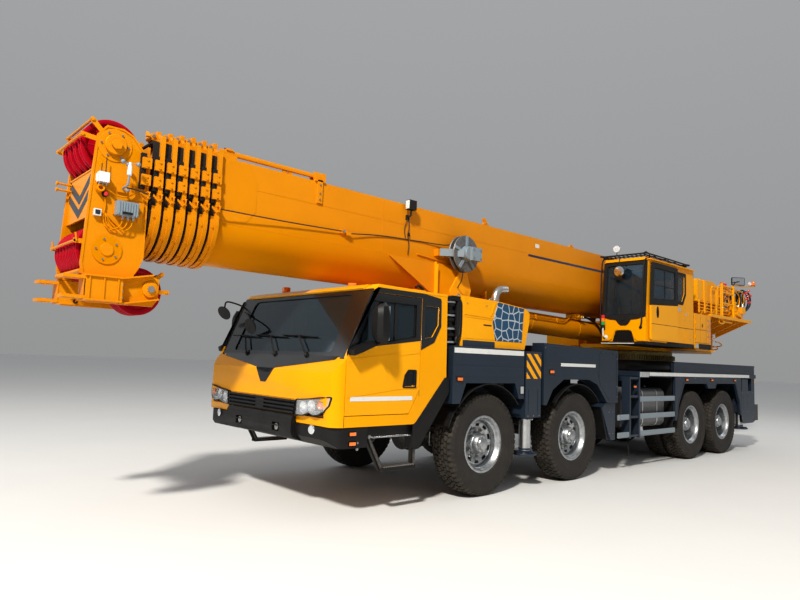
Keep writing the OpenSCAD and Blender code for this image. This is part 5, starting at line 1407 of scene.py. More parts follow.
b = B("ladders", "carrier", ["navy", "rail", "steel"], ["side_steps"], bevel=0.002)
for s in (1, -1):
    for x in (-3.40, -3.70):
        # channel-shaped posts
        ya, yb = (1.235, 1.370) if s > 0 else (-1.370, -1.235)
        b.box(x - 0.022, x - 0.016 if x < -3.5 else x + 0.022, min(s * 1.235, s * 1.368), max(s * 1.235, s * 1.368), 0.50, 1.458, "navy") if x < -3.5 else b.box(x + 0.016, x + 0.022, min(s * 1.235, s * 1.368), max(s * 1.235, s * 1.368), 0.50, 1.458, "navy")
        b.box(x - 0.022, x + 0.022, min(s * 1.362, s * 1.369), max(s * 1.362, s * 1.369), 0.50, 1.458, "navy")
        b.box(x - 0.022, x + 0.022, min(s * 1.234, s * 1.240), max(s * 1.234, s * 1.240), 0.50, 1.458, "navy")
    for z in (0.520, 0.810, 1.130, 1.420):
        ya, yb = min(s * 1.242, s * 1.360), max(s * 1.242, s * 1.360)
        b.box(-3.684, -3.416, ya, yb, z, z + 0.006, "navy")
        b.box(-3.684, -3.416, min(s * 1.354, s * 1.361), max(s * 1.354, s * 1.361), z, z + 0.034, "navy")
        b.box(-3.684, -3.416, min(s * 1.241, s * 1.247), max(s * 1.241, s * 1.247), z, z + 0.034, "navy")
        for k in range(9):
            for j in range(3):
                b.cyl((-3.665 + 0.029 * k, s * (1.270 + 0.032 * j), z + 0.006), (-3.665 + 0.029 * k, s * (1.270 + 0.032 * j), z + 0.011), 0.008, "navy", 8, 0.005)
    b.box(-3.420, -3.400, min(s * 1.0, s * 1.232), max(s * 1.0, s * 1.232), 1.38, 1.459, "navy")
    for (x0, x1, zz) in ((-4.955, -3.724, (0.56, 0.83, 1.10)), (-3.376, -3.062, (0.56, 0.83))):
        for z in zz:
            # rounded guard rail of box section, with end caps
            prof = round_poly([(s * 1.336, z - 0.042), (s * 1.368, z - 0.042), (s * 1.368, z + 0.042), (s * 1.336, z + 0.042)], 0.010, 3)
            b.prism(prof, x0, x1, "yz", "rail")
            b.box(x0 + 0.02, x1 - 0.02, min(s * 1.3675, s * 1.3695), max(s * 1.3675, s * 1.3695), z - 0.022, z + 0.022, "rail")
            for x in (x0 + 0.03, x1 - 0.03):
                b.nut((x, s * 1.369, z), (0, s, 0), 0.009, 0.005, "bolt", False)
    # earthing strap that hangs under the ladder
    b.tube([(-3.46, s * 1.30, 0.505), (-3.45, s * 1.302, 0.40), (-3.47, s * 1.305, 0.30), (-3.455, s * 1.30, 0.22)], [0.008, 0.0075, 0.007, 0.006], "softblack", 8, sub=5) if s > 0 else None
    lamp_side(b, -3.55, 1.30, 1.3585, s, 0.06, 0.028)
b.done("rail_paint")

b = skin("tail_bar", "black", 0.008, segs=3)
for s in (1, -1):
    for z in (0.60, 0.66, 0.72, 0.78, 0.84):
        b.box(-9.25, -9.03, min(s * 1.2405, s * 1.248), max(s * 1.2405, s * 1.248), z - 0.012, z + 0.012, "black")
    b.box(-9.20, -9.08, min(s * 0.95, s * 1.17), max(s * 0.95, s * 1.17), 0.9005, 0.915, "redlens")
    b.nut((-9.04, s * 1.241, 0.89), (0, s, 0), 0.010, 0.006, "bolt", False)
for k in range(9):
    y0 = -1.20 + 0.27 * k
    v = [(-9.0805, y0, 0.652), (-9.0805, y0 + 0.13, 0.652), (-9.0805, y0 + 0.22, 0.768), (-9.0805, y0 + 0.09, 0.768)]
    if y0 + 0.22 > 0.88 or y0 < -0.88 or abs(y0 + 0.1) < 0.18:
        continue
    v += [(p[0] - 0.0025, p[1], p[2]) for p in v]
    b.faces(v, [(0, 1, 2, 3), (7, 6, 5, 4), (0, 4, 5, 1), (1, 5, 6, 2), (2, 6, 7, 3), (3, 7, 4, 0)], "redlens" if k % 2 else "white")
b.done()

# slewing ring: seat and toothed outer race; its bolts are not drawn
b = B("slew_gear", "carrier", ["gear", "black", "bolt"], ["slew_ring"], bevel=0.0015)
C = (-6.0, 0, 0)
b.lathe([(1.562, 0.62), (1.562, 0.758), (1.60, 0.758), (1.63, 0.745), (1.70, 0.745), (1.742, 0.760), (1.742, 0.62)], C, (0, 0, 1), "black", seg=96, closed=True)
b.lathe([(1.742, 0.62), (1.742, 0.785), (1.850, 0.785), (1.856, 0.770), (1.900, 0.770), (1.924, 0.765), (1.924, 0.62)], C, (0, 0, 1), "gear", seg=96, closed=True)
N = 116
for i in range(N):
    a = 2 * pi * i / N
    c, sn = cos(a), sin(a)
    def gp(r, da, z):
        return (-6.0 + r * cos(a + da), r * sin(a + da), z)
    v = []
    for z in (1.755, 1.842):
        v += [gp(0.783, -0.0165, z), gp(0.783, 0.0165, z), gp(0.8195, 0.0085, z), gp(0.8195, -0.0085, z)]
    b.faces(v, [(0, 1, 2, 3), (7, 6, 5, 4), (0, 4, 5, 1), (1, 5, 6, 2), (2, 6, 7, 3), (3, 7, 4, 0)], "gear")
for i in range(60):
    a = 2 * pi * i / 60
b.done("ring_steel")

# end covers that ride on the rear beams
for s, side in ((1, "left"), (-1, "right")):
    nm = "outrigger_beam_rear_" + side
    b = B("rear_end_cover_" + side, nm, ["navy", "bolt"], bevel=0.003)
    b.prism([(-7.972, 1.205), (-7.972, 0.640), (-8.060, 0.545), (-8.620, 0.545), (-8.620, 1.205)], *sorted((s * 1.366, s * 1.374)), "xz", "navy")
    for x in (-8.01, -8.30, -8.58):
        for z in (0.66, 1.17):
            b.nut((x, s * 1.3735, z), (0, s, 0), 0.009, 0.004, "bolt", False)
    b.done("dark_paint")

# ------------------------------------------------------------------ turntable
def turn_pick(c, n):
    return "yellow"
b = skin("turntable", ["yellow", "bolt", "steel", "softblack"], 0.006, pick=turn_pick, segs=2)
for s in (1, -1):
    # pin bosses with their keeper plates
    for (x, z, r) in ((-7.80, 3.15, 0.165), (-5.45, 2.21, 0.135)):
        b.lathe([(0.524, r), (0.540, r), (0.540, r * 0.72), (0.524, r * 0.72)], (x, 0, z), (0, s, 0), "yellow", seg=40, closed=True)
        for k in range(8):
            a = 2 * pi * k / 8
            b.nut((x + r * 0.86 * cos(a), s * 0.540, z + r * 0.86 * sin(a)), (0, s, 0), 0.013, 0.008, "bolt", False)
    b.lathe([(0.574, 0.094), (0.590, 0.088), (0.592, 0.0)], (-7.80, 0, 3.15), (0, s, 0), "steel", seg=32)
    # flange along the cheek's edge
    ch = [(-8.580, 2.030), (-8.640, 2.900), (-8.300, 3.330), (-8.000, 3.430), (-7.600, 3.430), (-7.300, 3.300), (-6.300, 2.600), (-5.700, 2.440), (-5.200, 2.440), (-5.130, 2.030)]
    b.ring(ch, inset(ch, 0.028), *((0.520, 0.560) if s > 0 else (-0.560, -0.520)), "xz", "yellow")
    # weld-on stiffeners
    for (p, q) in (((-8.05, 2.06), (-7.82, 2.98)), ((-7.15, 2.06), (-7.40, 3.10)), ((-6.30, 2.06), (-6.30, 2.57))):
        d = (Vector((q[0], 0, q[1])) - Vector((p[0], 0, p[1])))
        mid = Vector(((p[0] + q[0]) / 2, s * 0.545, (p[1] + q[1]) / 2))
        dn = d.normalized()
        b.obox(mid, dn, (0, 1, 0), dn.cross(Vector((0, 1, 0))), d.length / 2, 0.020, 0.008, "yellow")
    # sleeves that join the cheeks
for (x, z) in ((-8.45, 2.62), (-6.75, 2.42)):
    b.cyl((x, -0.47, z), (x, 0.47, z), 0.045, "yellow", 20)
# bolts in the flange over the ring
for i in range(56):
    a = 2 * pi * i / 56
    x, y = -6.0 + 0.715 * cos(a), 0.715 * sin(a)
    b.nut((x, y, 1.986), (0, 0, 1), 0.018, 0.012, "bolt", False)
for i in range(48):
    a = 2 * pi * i / 48
    x, y = -6.0 + 0.762 * cos(a), 0.762 * sin(a)
    b.obox((x, y, 1.957), (-sin(a), cos(a), 0), (cos(a), sin(a), 0), (0, 0, 1), 0.018, 0.012, 0.018, "yellow")
b.done("turntable_paint")

# ------------------------------------------------------------------ operator's cab
def op_pick(c, n):
    if c.z < 2.0295:
        return "softblack"
    if abs(n.x) > 0.6 and c.x > -4.06 and c.z > 2.40:
        return "softblack"
    if c.x > -4.0 and c.z > 2.45 and n.x < -0.6:
        return "softblack"
    if c.x > -5.75 and c.z < 3.38 and c.z > 2.08 and 0.59 < c.y < 1.31 and abs(n.y) < 0.99 and -5.74 < c.x < -4.005:
        return "trim"
    return "yellow"
b = skin("operator_cab", ["yellow", "softblack", "trim", "white", "plastic", "bolt", "pale"], 0.016, pick=op_pick, segs=4)
XF = -3.952
# face of the lower front, with the black notch below and the dark trapezoid in the middle
def fpoly(pts, x, t, m):
    b.prism(pts, x, x + t, "yz", m)
mask = [(0.566, 3.375), (1.334, 3.375), (1.334, 2.450), (1.200, 2.405), (1.085, 2.395), (1.040, 2.330), (0.995, 2.300), (0.905, 2.300), (0.860, 2.330), (0.815, 2.395), (0.700, 2.405), (0.566, 2.450)]
win = [(0.625, 3.330), (1.275, 3.330), (1.275, 2.505), (1.205, 2.485), (0.695, 2.485), (0.625, 2.505)]
def on_front(y, z, t):
    if z <= 2.43:
        return Vector((-3.950 + t - (2.43 - z) * 0.025, y, z))
    k = (z - 2.43) / 0.965
    return Vector((-3.950 - 0.070 * k + t, y, z))
def sheet(outer, inner, t0, t1, m):
    """Frame with a window in the slightly leaning front."""
    def dens(pts, n):
        L = []
        for i in range(len(pts)):
            a, c = Vector(pts[i]), Vector(pts[(i + 1) % len(pts)])
            L.append((a, c, (c - a).length))
        tot = sum(l for _, _, l in L)
        out = []
        for k in range(n):
            d = tot * k / n
            for a, c, l in L:
                if d <= l:
                    out.append(a.lerp(c, d / l)); break
                d -= l
        return out
    ctr = Vector((0.95, 2.92))
    if inner:
        n = 72
        def hit(pts, a):
            dr = Vector((cos(a), sin(a)))
            best = None
            for i in range(len(pts)):
                p, q = Vector(pts[i]) - ctr, Vector(pts[(i + 1) % len(pts)]) - ctr
                e = q - p
                den = dr.x * e.y - dr.y * e.x
                if abs(den) < 1e-9:
                    continue
                tt = (p.x * e.y - p.y * e.x) / den
                uu = (p.x * dr.y - p.y * dr.x) / den
                if tt > 0 and -1e-6 <= uu <= 1 + 1e-6:
                    best = tt if best is None else max(best, tt)
            return ctr + dr * best
        angs = sorted(set([round(2 * pi * k / n, 6) for k in range(n)] + [round(math.atan2(p[1] - ctr.y, p[0] - ctr.x) % (2 * pi), 6) for p in list(outer) + list(inner)]))
        O = [hit(outer, a) for a in angs]; I = [hit(inner, a) for a in angs]
        N = len(angs)
        v = [on_front(p.x, p.y, t1) for p in O] + [on_front(p.x, p.y, t1) for p in I] + [on_front(p.x, p.y, t0) for p in O] + [on_front(p.x, p.y, t0) for p in I]
        f = []
        for i in range(N):
            j = (i + 1) % N
            f += [(i, j, N + j, N + i), (2 * N + j, 2 * N + i, 3 * N + i, 3 * N + j), (i, 2 * N + i, 2 * N + j, j), (N + j, 3 * N + j, 3 * N + i, N + i)]
        b.faces(v, f, m)
sheet(round_poly(mask, 0.03, 3), round_poly(win, 0.035, 4), -0.002, 0.012, "softblack")
# yellow lower panel standing proud, as two shoulders round the dark middle
low = [(0.560, 2.040), (0.690, 2.042), (0.745, 2.075), (0.800, 2.205), (0.845, 2.225), (1.055, 2.225), (1.100, 2.205), (1.155, 2.075), (1.210, 2.042), (1.340, 2.040), (1.340, 2.440), (1.205, 2.392), (1.090, 2.380), (1.048, 2.315), (0.998, 2.288), (0.902, 2.288), (0.852, 2.315), (0.810, 2.380), (0.695, 2.392), (0.560, 2.440)]
b.prism(low, -3.958, -3.941, "yz", "yellow")
b.prism([(0.755, 2.035), (0.808, 2.200), (0.850, 2.215), (1.050, 2.215), (1.092, 2.200), (1.145, 2.035)], -3.960, -3.949, "yz", "plastic")
b.box(-3.9425, -3.9385, 0.875, 1.025, 2.335, 2.395, "softblack")
# sill, step and its pale nosing
b.prism([(-3.935, 1.986), (-3.925, 2.010), (-3.925, 2.030), (-3.965, 2.036), (-5.78, 2.036), (-5.79, 1.986)], 1.335, 1.352, "xz", "softblack")
b.box(-3.965, -3.920, 0.60, 1.30, 1.990, 2.022, "softblack")
b.box(-3.921, -3.912, 0.56, 1.16, 1.992, 2.006, "white")
b.box(-5.77, -4.70, 1.340, 1.353, 1.990, 2.060, "softblack")
# side: upper window band behind the door, quarter frame, seam lines, small blank plates
Q = round_poly([(-5.09, 2.80), (-5.09, 3.27), (-5.40, 3.27), (-5.40, 2.96), (-5.30, 2.80)], 0.02, 3)
for (y0, y1) in ((1.3445, 1.3525), (0.5475, 0.5555)):
    b.ring(round_poly([(-5.045, 2.745), (-5.045, 3.320), (-5.455, 3.320), (-5.455, 2.940), (-5.330, 2.745)], 0.03, 3), Q, y0, y1, "xz", "softblack")
for z in (2.335,):
    b.box(-5.775, -5.06, 1.3445, 1.3470, z - 0.004, z + 0.004, "softblack")
b.box(-5.776, -5.772, 1.3435, 1.3465, 2.06, 3.37, "softblack")
b.prism([(-5.50, 2.06), (-5.36, 2.30), (-5.345, 2.30), (-5.485, 2.06)], 1.3440, 1.3500, "xz", "yellow")
for (x, z, w, h) in ((-5.20, 2.66, 0.10, 0.075), (-5.47, 2.585, 0.045, 0.055)):
    b.box(x - w / 2, x + w / 2, 1.3445, 1.3468, z - h / 2, z + h / 2, "pale")
for (x, z) in ((-5.42, 2.70), (-5.62, 2.70), (-5.42, 2.48), (-5.62, 2.48), (-5.64, 2.14)):
    b.nut((x, 1.345, z), (0, 1, 0), 0.010, 0.005, "bolt", False)
# roof: raised visor box, drip lip and the roof window frame
b.prism([(-4.000, 3.400), (-4.015, 3.448), (-4.090, 3.460), (-4.235, 3.460), (-4.235, 3.400)], 0.585, 1.315, "xz", "yellow")
b.prism([(-5.015, 3.400), (-5.015, 3.456), (-5.640, 3.450), (-5.720, 3.425), (-5.720, 3.400)], 0.585, 1.315, "xz", "yellow")
for (y0, y1) in ((1.245, 1.315), (0.585, 0.655)):
    b.box(-5.02, -4.23, y0, y1, 3.400, 3.454, "yellow")
b.box(-5.60, -4.30, 1.332, 1.352, 3.405, 3.425, "yellow")
# lip above the sliding door
b.prism([(-4.02, 3.402), (-4.02, 3.418), (-5.74, 3.418), (-5.74, 3.402)], 1.345, 1.394, "xz", "yellow")
b.done("operator_cab_paint")

# roof guard and hand rails of black tube
b = B("operator_rails", "superstructure", ["softblack", "white", "mirror", "bolt", "redlens", "orange", "greenlens", "steel", "clear"], bevel=0.001)
GZ = 3.505
loop = [(-3.99, 0.60, GZ), (-3.99, 1.28, GZ), (-4.06, 1.34, GZ), (-5.45, 1.34, GZ - 0.01), (-5.52, 1.28, GZ - 0.01), (-5.52, 0.60, GZ - 0.01), (-5.45, 0.56, GZ - 0.01), (-4.06, 0.56, GZ)]
b.tube([Vector(p) for p in loop], 0.013, "softblack", 12, closed=True, sub=2)
b.tube([Vector((p[0] + (0.035 if p[0] < -4.7 else -0.035), 0.95 + (p[1] - 0.95) * 0.93, p[2] - 0.030)) for p in loop], 0.008, "softblack", 8, closed=True, sub=2)
for k in range(9):
    y = 0.64 + 0.0775 * k
    b.tube([(-3.99, y, GZ), (-4.75, y, GZ), (-5.52, y, GZ - 0.01)], 0.0065, "softblack", 8)
for x in (-4.35, -4.75, -5.15):
    b.tube([(x, 0.56, GZ - 0.004), (x, 1.34, GZ - 0.004)], 0.009, "softblack", 8)
for (x, y) in ((-4.12, 0.575), (-4.12, 1.325), (-4.80, 0.575), (-4.80, 1.325), (-5.42, 0.575), (-5.42, 1.325)):
    b.tube([(x, y, 3.405), (x, y, GZ - 0.004)], 0.009, "softblack", 8)
    b.lathe([(0, 0.024), (0.008, 0.024), (0.010, 0.012), (0.012, 0.0)], (x, y, 3.405), (0, 0, 1), "softblack", seg=14)
# long front rail on the boom side and the short one at the door pillar
b.tube(spline([(-4.06, 0.575, 3.48), (-3.955, 0.570, 3.440), (-3.915, 0.568, 3.30), (-3.885, 0.568, 2.85), (-3.870, 0.570, 2.42), (-3.885, 0.578, 2.27), (-3.940, 0.590, 2.245)], 6), 0.012, "softblack", 12)
b.tube(spline([(-4.02, 1.318, 3.42), (-3.965, 1.318, 3.37), (-3.925, 1.316, 3.20), (-3.895, 1.312, 2.70), (-3.890, 1.300, 2.36), (-3.905, 1.270, 2.27), (-3.945, 1.262, 2.265)], 6), 0.012, "softblack", 12)
for p in ((-3.944, 0.590, 2.245), (-3.944, 1.262, 2.265)):
    b.lathe([(0, 0.026), (0.010, 0.026), (0.013, 0.014), (0.014, 0.0)], p, (1, 0, 0), "softblack", seg=16)
    b.nut((p[0] + 0.012, p[1], p[2]), (1, 0, 0), 0.009, 0.006, "bolt", False)
# round mirror on the glass and the pale work lamp on the guard
b.tube(spline([(-3.99, 0.86, 3.46), (-3.93, 0.88, 3.40), (-3.90, 0.905, 3.30)], 5), 0.006, "softblack", 8)
b.lathe([(-0.012, 0.0), (-0.010, 0.085), (0.0, 0.100), (0.010, 0.100), (0.012, 0.092)], (-3.890, 0.905, 3.215), (1, 0.12, -0.05), "softblack", seg=36)
b.lathe([(0.010, 0.093), (0.016, 0.070), (0.019, 0.035), (0.020, 0.0)], (-3.890, 0.905, 3.215), (1, 0.12, -0.05), "mirror", seg=36)
b.tube([(-4.00, 0.800, GZ), (-4.00, 0.800, 3.575)], 0.007, "softblack", 8)
b.lathe([(-0.055, 0.0), (-0.052, 0.030), (-0.020, 0.052), (0.028, 0.058), (0.034, 0.056)], (-4.005, 0.800, 3.625), (1, 0.2, -0.12), "white", seg=28)
b.lathe([(0.033, 0.056), (0.036, 0.0)], (-4.005, 0.800, 3.625), (1, 0.2, -0.12), "clear", seg=28)
# three-colour signal on its pale stalk, at the boom-side corner
bx, by = -3.885, 0.612
b.tube(spline([(-3.94, 0.635, 2.105), (-3.915, 0.630, 2.10), (-3.890, 0.618, 2.125), (bx, by, 2.17), (bx, by, 2.27)], 5), 0.013, "white", 12)
b.lathe([(0, 0.036), (0.010, 0.036), (0.014, 0.020), (0.016, 0)], (-3.943, 0.637, 2.105), (1, 0, 0), "white", seg=18)
b.lathe([(0, 0.022), (0.004, 0.033), (0.042, 0.033), (0.046, 0.030)], (bx, by, 2.265), (0, 0, 1), "softblack", seg=24)
for k, m in enumerate(("greenlens", "orange", "redlens")):
    z = 2.311 + 0.056 * k
    b.lathe([(0, 0.031), (0.002, 0.0325), (0.026, 0.0325), (0.027, 0.031), (0.029, 0.0325), (0.052, 0.0325), (0.055, 0.030)], (bx, by, z), (0, 0, 1), m, seg=28)
b.lathe([(0, 0.031), (0.006, 0.029), (0.010, 0.0)], (bx, by, 2.479), (0, 0, 1), "softblack", seg=24)
# wiper on the windscreen
p0, p1 = Vector((-3.935, 0.945, 2.395)), Vector((-3.945, 0.790, 2.86))
b.lathe([(0, 0.018), (0.016, 0.018), (0.020, 0.010), (0.021, 0)], (-3.940, 0.945, 2.395), (1, 0, 0), "softblack", seg=16)
b.tube([p0, p0.lerp(p1, 0.5) + Vector((0.012, 0, 0)), p1], [0.007, 0.006, 0.004], "softblack", 8)
b.tube([p0 + Vector((0.004, 0.028, 0)), p1 + Vector((0, 0.02, 0))], 0.0035, "softblack", 6)
b.tube([(-3.940, 0.765, 2.56), (-3.953, 0.800, 3.10)], 0.006, "softblack", 6)
# hydraulic hoses and joystick-side cable at the cab's boom side
for k in range(4):
    b.tube(spline([(-4.30 - 0.06 * k, 0.548, 2.06), (-4.36 - 0.06 * k, 0.540, 2.20), (-4.55 - 0.07 * k, 0.538, 2.28), (-4.80 - 0.07 * k, 0.541, 2.12), (-4.85 - 0.07 * k, 0.545, 2.03)], 5), 0.010, "softblack", 8)
b.done("operator_trim")

# glass of the cab
b = B("operator_panes", "superstructure", ["glass", "softblack"], ["operator_glass"], bevel=0)
def fglass(y0, y1, z0, z1, t0, t1):
    v = [on_front(y, z, t) for t in (t0, t1) for (y, z) in ((y0, z0), (y1, z0), (y1, z1), (y0, z1))]
    b.faces(v, [(0, 3, 2, 1), (4, 5, 6, 7), (0, 1, 5, 4), (1, 2, 6, 5), (2, 3, 7, 6), (3, 0, 4, 7)], "glass")
fglass(0.604, 1.296, 2.475, 3.360, -0.016, -0.010)
b.box(-5.764, -5.758, 0.643, 1.257, 2.703, 3.267, "glass")
for y in (0.566, 1.328):
    b.prism(inset([(-5.09, 2.80), (-5.09, 3.27), (-5.40, 3.27), (-5.40, 2.96), (-5.30, 2.80)], 0.003), y, y + 0.006, "xz", "glass")
b.prism([(-4.113, 2.703), (-4.142, 3.287), (-4.957, 3.287), (-4.957, 2.703)], 0.568, 0.574, "xz", "glass")
b.box(-4.997, -4.253, 0.663, 1.237, 3.392, 3.398, "glass")
b.done("operator_glazing")

# sliding door
b = B("operator_door_skin", "operator_door", ["yellow", "softblack", "glass", "bolt", "trim"], ["operator_door"], bevel=0.004, segs=3)
D = [(-4.052, 2.060), (-4.052, 2.700), (-4.092, 3.366), (-5.040, 3.366), (-5.040, 2.060)]
W = [(-4.130, 2.740), (-4.165, 3.280), (-4.950, 3.280), (-4.950, 2.790)]
b.prism(round_poly([(-4.052, 2.060), (-4.052, 2.640), (-5.040, 2.700), (-5.040, 2.060)], [0.05, 0.004, 0.004, 0.02], 5), 1.358, 1.390, "xz", "yellow")
b.ring(round_poly([(-4.052, 2.642), (-4.052, 2.700), (-4.092, 3.366), (-5.040, 3.366), (-5.040, 2.702)], [0.004, 0.01, 0.06, 0.02, 0.004], 5), round_poly([(-4.130, 2.735), (-4.165, 3.280), (-4.950, 3.280), (-4.950, 2.790)], 0.03, 5), 1.358, 1.3905, "xz", "softblack")
b.prism(inset(W, -0.004), 1.371, 1.377, "xz", "glass")
b.ring(round_poly(inset(W, 0.000), 0.03, 5), round_poly(inset(W, 0.016), 0.025, 5), 1.3775, 1.384, "xz", "softblack")
b.tube([(-4.56, 1.380, 2.775), (-4.56, 1.380, 3.275)], 0.008, "softblack", 8)
b.box(-4.945, -4.15, 1.372, 1.381, 2.985, 2.997, "softblack")
# pressed seam, lower swage and the oval handle
b.box(-5.036, -4.056, 1.3895, 1.3915, 2.331, 2.338, "softblack")
b.prism([(-4.075, 2.085), (-4.075, 2.315), (-5.015, 2.315), (-5.015, 2.085)], 1.3890, 1.3915, "xz", "yellow")
ov = [( -4.275 + 0.042 * cos(2 * pi * k / 40), 2.535 + 0.098 * sin(2 * pi * k / 40)) for k in range(40)]
b.prism(ov, 1.388, 1.3925, "xz", "softblack")
ovi = [( -4.275 + 0.034 * cos(2 * pi * k / 40), 2.535 + 0.090 * sin(2 * pi * k / 40)) for k in range(40)]
b.ring(ov, ovi, 1.3925, 1.3950, "xz", "softblack")
b.prism(round_poly([(-4.262, 2.475), (-4.262, 2.595), (-4.288, 2.595), (-4.288, 2.475)], 0.010, 3), 1.3925, 1.4040, "xz", "softblack")
b.done("operator_door_paint")

# seat, consoles and joysticks
b = skin("operator_seat", ["fabric", "plastic", "softblack", "trim"], 0.018, segs=3)
for y in (0.662, 1.21):
    b.box(-5.13, -4.72, y - 0.034, y + 0.034, 2.558, 2.575, "softblack")
    b.lathe([(0, 0.034), (0.010, 0.034), (0.050, 0.018), (0.055, 0.012), (0.150, 0.012), (0.152, 0.020), (0.215, 0.024), (0.235, 0.018), (0.240, 0.0)], (-4.77, y, 2.572), (0.05, 0, 1), "softblack", seg=20)
    for k in range(6):
        b.cyl((-4.86 - 0.035 * k, y + 0.015, 2.574), (-4.86 - 0.035 * k, y + 0.015, 2.582), 0.008, "trim", 10)
# screen on its arm at the front pillar
b.box(-4.130, -4.105, 0.665, 0.880, 2.640, 2.790, "softblack")
b.box(-4.1325, -4.130, 0.680, 0.865, 2.655, 2.775, "trim")
b.tube([(-4.07, 0.74, 2.40), (-4.08, 0.745, 2.52), (-4.110, 0.76, 2.66)], 0.012, "softblack", 10, sub=2)
for y in (0.86, 1.04):
    b.obox((-4.17, y, 2.155), (0.5, 0, 0.86), (0, 1, 0), (0.86, 0, -0.5), 0.085, 0.035, 0.006, "softblack")
b.done("operator_inside")

# ------------------------------------------------------------------ side cowl
def cowl_pick(c, n):
    return "yellow"
b = skin("side_cowl", ["yellow", "softblack", "cells2", "white", "bolt", "pale"], 0.022, pick=cowl_pick, segs=4)
def arc_pt(a, r):
    return Vector((-6.50 + r * cos(a), 0.985 + r * sin(a), 0))
# cell field that wraps round the rear corner
def wrap(a0, a1, z0, z1, r, t, m, n=16):
    v, f = [], []
    for i in range(n + 1):
        a = a0 + (a1 - a0) * i / n
        for (rr, z) in ((r, z0), (r, z1), (r + t, z0), (r + t, z1)):
            p = arc_pt(a, rr); v.append((p.x, p.y, z))
    for i in range(n):
        q, w = 4 * i, 4 * i + 4
        f += [(q + 2, w + 2, w + 3, q + 3), (q, q + 1, w + 1, w), (q + 1, q + 3, w + 3, w + 1), (q, w, w + 2, q + 2)]
    f += [(0, 2, 3, 1), (4 * n, 4 * n + 1, 4 * n + 3, 4 * n + 2)]
    b.faces(v, f, m)
wrap(radians(92), radians(176), 2.115, 2.565, 0.3495, 0.003, "cells2", 22)
b.box(-6.49, -6.40, 1.3345, 1.3380, 2.115, 2.565, "cells2")
wrap(radians(90), radians(179), 1.992, 2.085, 0.3495, 0.004, "softblack", 20)
b.box(-6.50, -6.02, 1.3345, 1.3400, 1.992, 2.085, "softblack")
wrap(radians(140), radians(178), 1.990, 2.100, 0.3515, 0.006, "white", 10)
# access door with seams, hinges and latch
for (x0, x1) in ((-6.355, -6.350), (-5.875, -5.870), (-6.115, -6.111)):
    b.box(x0, x1, 1.3340, 1.3362, 2.10, 2.60, "softblack")
for z in (2.345, 2.10):
    b.box(-6.495, -5.86, 1.3340, 1.3362, z - 0.003, z + 0.003, "softblack")
b.box(-6.34, -6.125, 1.3345, 1.3390, 2.36, 2.595, "yellow")
b.box(-6.34, -6.125, 1.3345, 1.3390, 2.12, 2.330, "yellow")
b.box(-6.100, -5.885, 1.3345, 1.3390, 2.12, 2.330, "yellow")
b.box(-6.100, -5.885, 1.3345, 1.3390, 2.36, 2.595, "yellow")
for z in (2.22, 2.48):
    b.cyl((-5.868, 1.340, z - 0.030), (-5.868, 1.340, z + 0.030), 0.008, "yellow", 10)
b.prism(round_poly([(-6.155, 2.40), (-6.155, 2.46), (-6.185, 2.46), (-6.185, 2.40)], 0.008, 3), 1.339, 1.345, "xz", "softblack")
b.box(-6.78, -5.90, 0.66, 1.30, 2.640, 2.652, "yellow")
for k in range(7):
    b.box(-6.60 + 0.085 * k, -6.565 + 0.085 * k, 0.74, 1.22, 2.652, 2.664, "softblack")
for (x, y) in ((-5.92, 0.70), (-5.92, 1.26), (-6.55, 1.26), (-6.55, 0.70)):
    b.nut((x, y, 2.652), (0, 0, 1), 0.010, 0.006, "bolt", False)
b.box(-5.99, -5.86, 1.341, 1.346, 2.005, 2.070, "pale")
b.done("cowl_paint")

# ------------------------------------------------------------------ oil tank and cooler on the right
b = skin("right_unit", ["yellow", "softblack", "steel", "bolt", "hose", "pale"], 0.016, segs=3)
for (x0, x1) in ((-6.72, -5.98), (-5.90, -5.08)):
    b.box(x0, x1, -1.3055, -1.299, 2.05, 2.37, "yellow")
    for k in range(9):
        z = 2.085 + 0.032 * k
        if x0 > -6.0:
            b.obox(((x0 + x1) / 2, -1.308, z), (1, 0, 0), (0, -0.8, -0.6), (0, 0.6, -0.8), 0.34, 0.010, 0.003, "softblack")
    b.nut((x0 + 0.05, -1.3055, 2.34), (0, -1, 0), 0.010, 0.006, "bolt", False)
    b.nut((x1 - 0.05, -1.3055, 2.34), (0, -1, 0), 0.010, 0.006, "bolt", False)
b.lathe([(0, 0.26), (0.030, 0.26), (0.034, 0.22), (0.034, 0.0)], (-5.50, -0.93, 2.420), (0, 0, 1), "softblack", seg=40)
for k in range(5):
    b.lathe([(0.034, 0.05 + 0.042 * k), (0.042, 0.05 + 0.042 * k), (0.042, 0.056 + 0.042 * k), (0.034, 0.056 + 0.042 * k)], (-5.50, -0.93, 2.420), (0, 0, 1), "steel", seg=36, closed=True)
b.lathe([(0, 0.055), (0.06, 0.055), (0.065, 0.070), (0.10, 0.070), (0.105, 0.0)], (-6.35, -1.05, 2.56), (0, 0, 1), "softblack", seg=24)
for k in range(5):
    b.tube(spline([(-6.75 + 0.09 * k, -0.60, 2.50), (-6.80 + 0.09 * k, -0.57, 2.62), (-6.95 + 0.06 * k, -0.575, 2.66), (-7.10 + 0.05 * k, -0.58, 2.45), (-7.10 + 0.05 * k, -0.58, 2.05)], 5), 0.016, "hose", 10)
b.done("right_unit_paint")

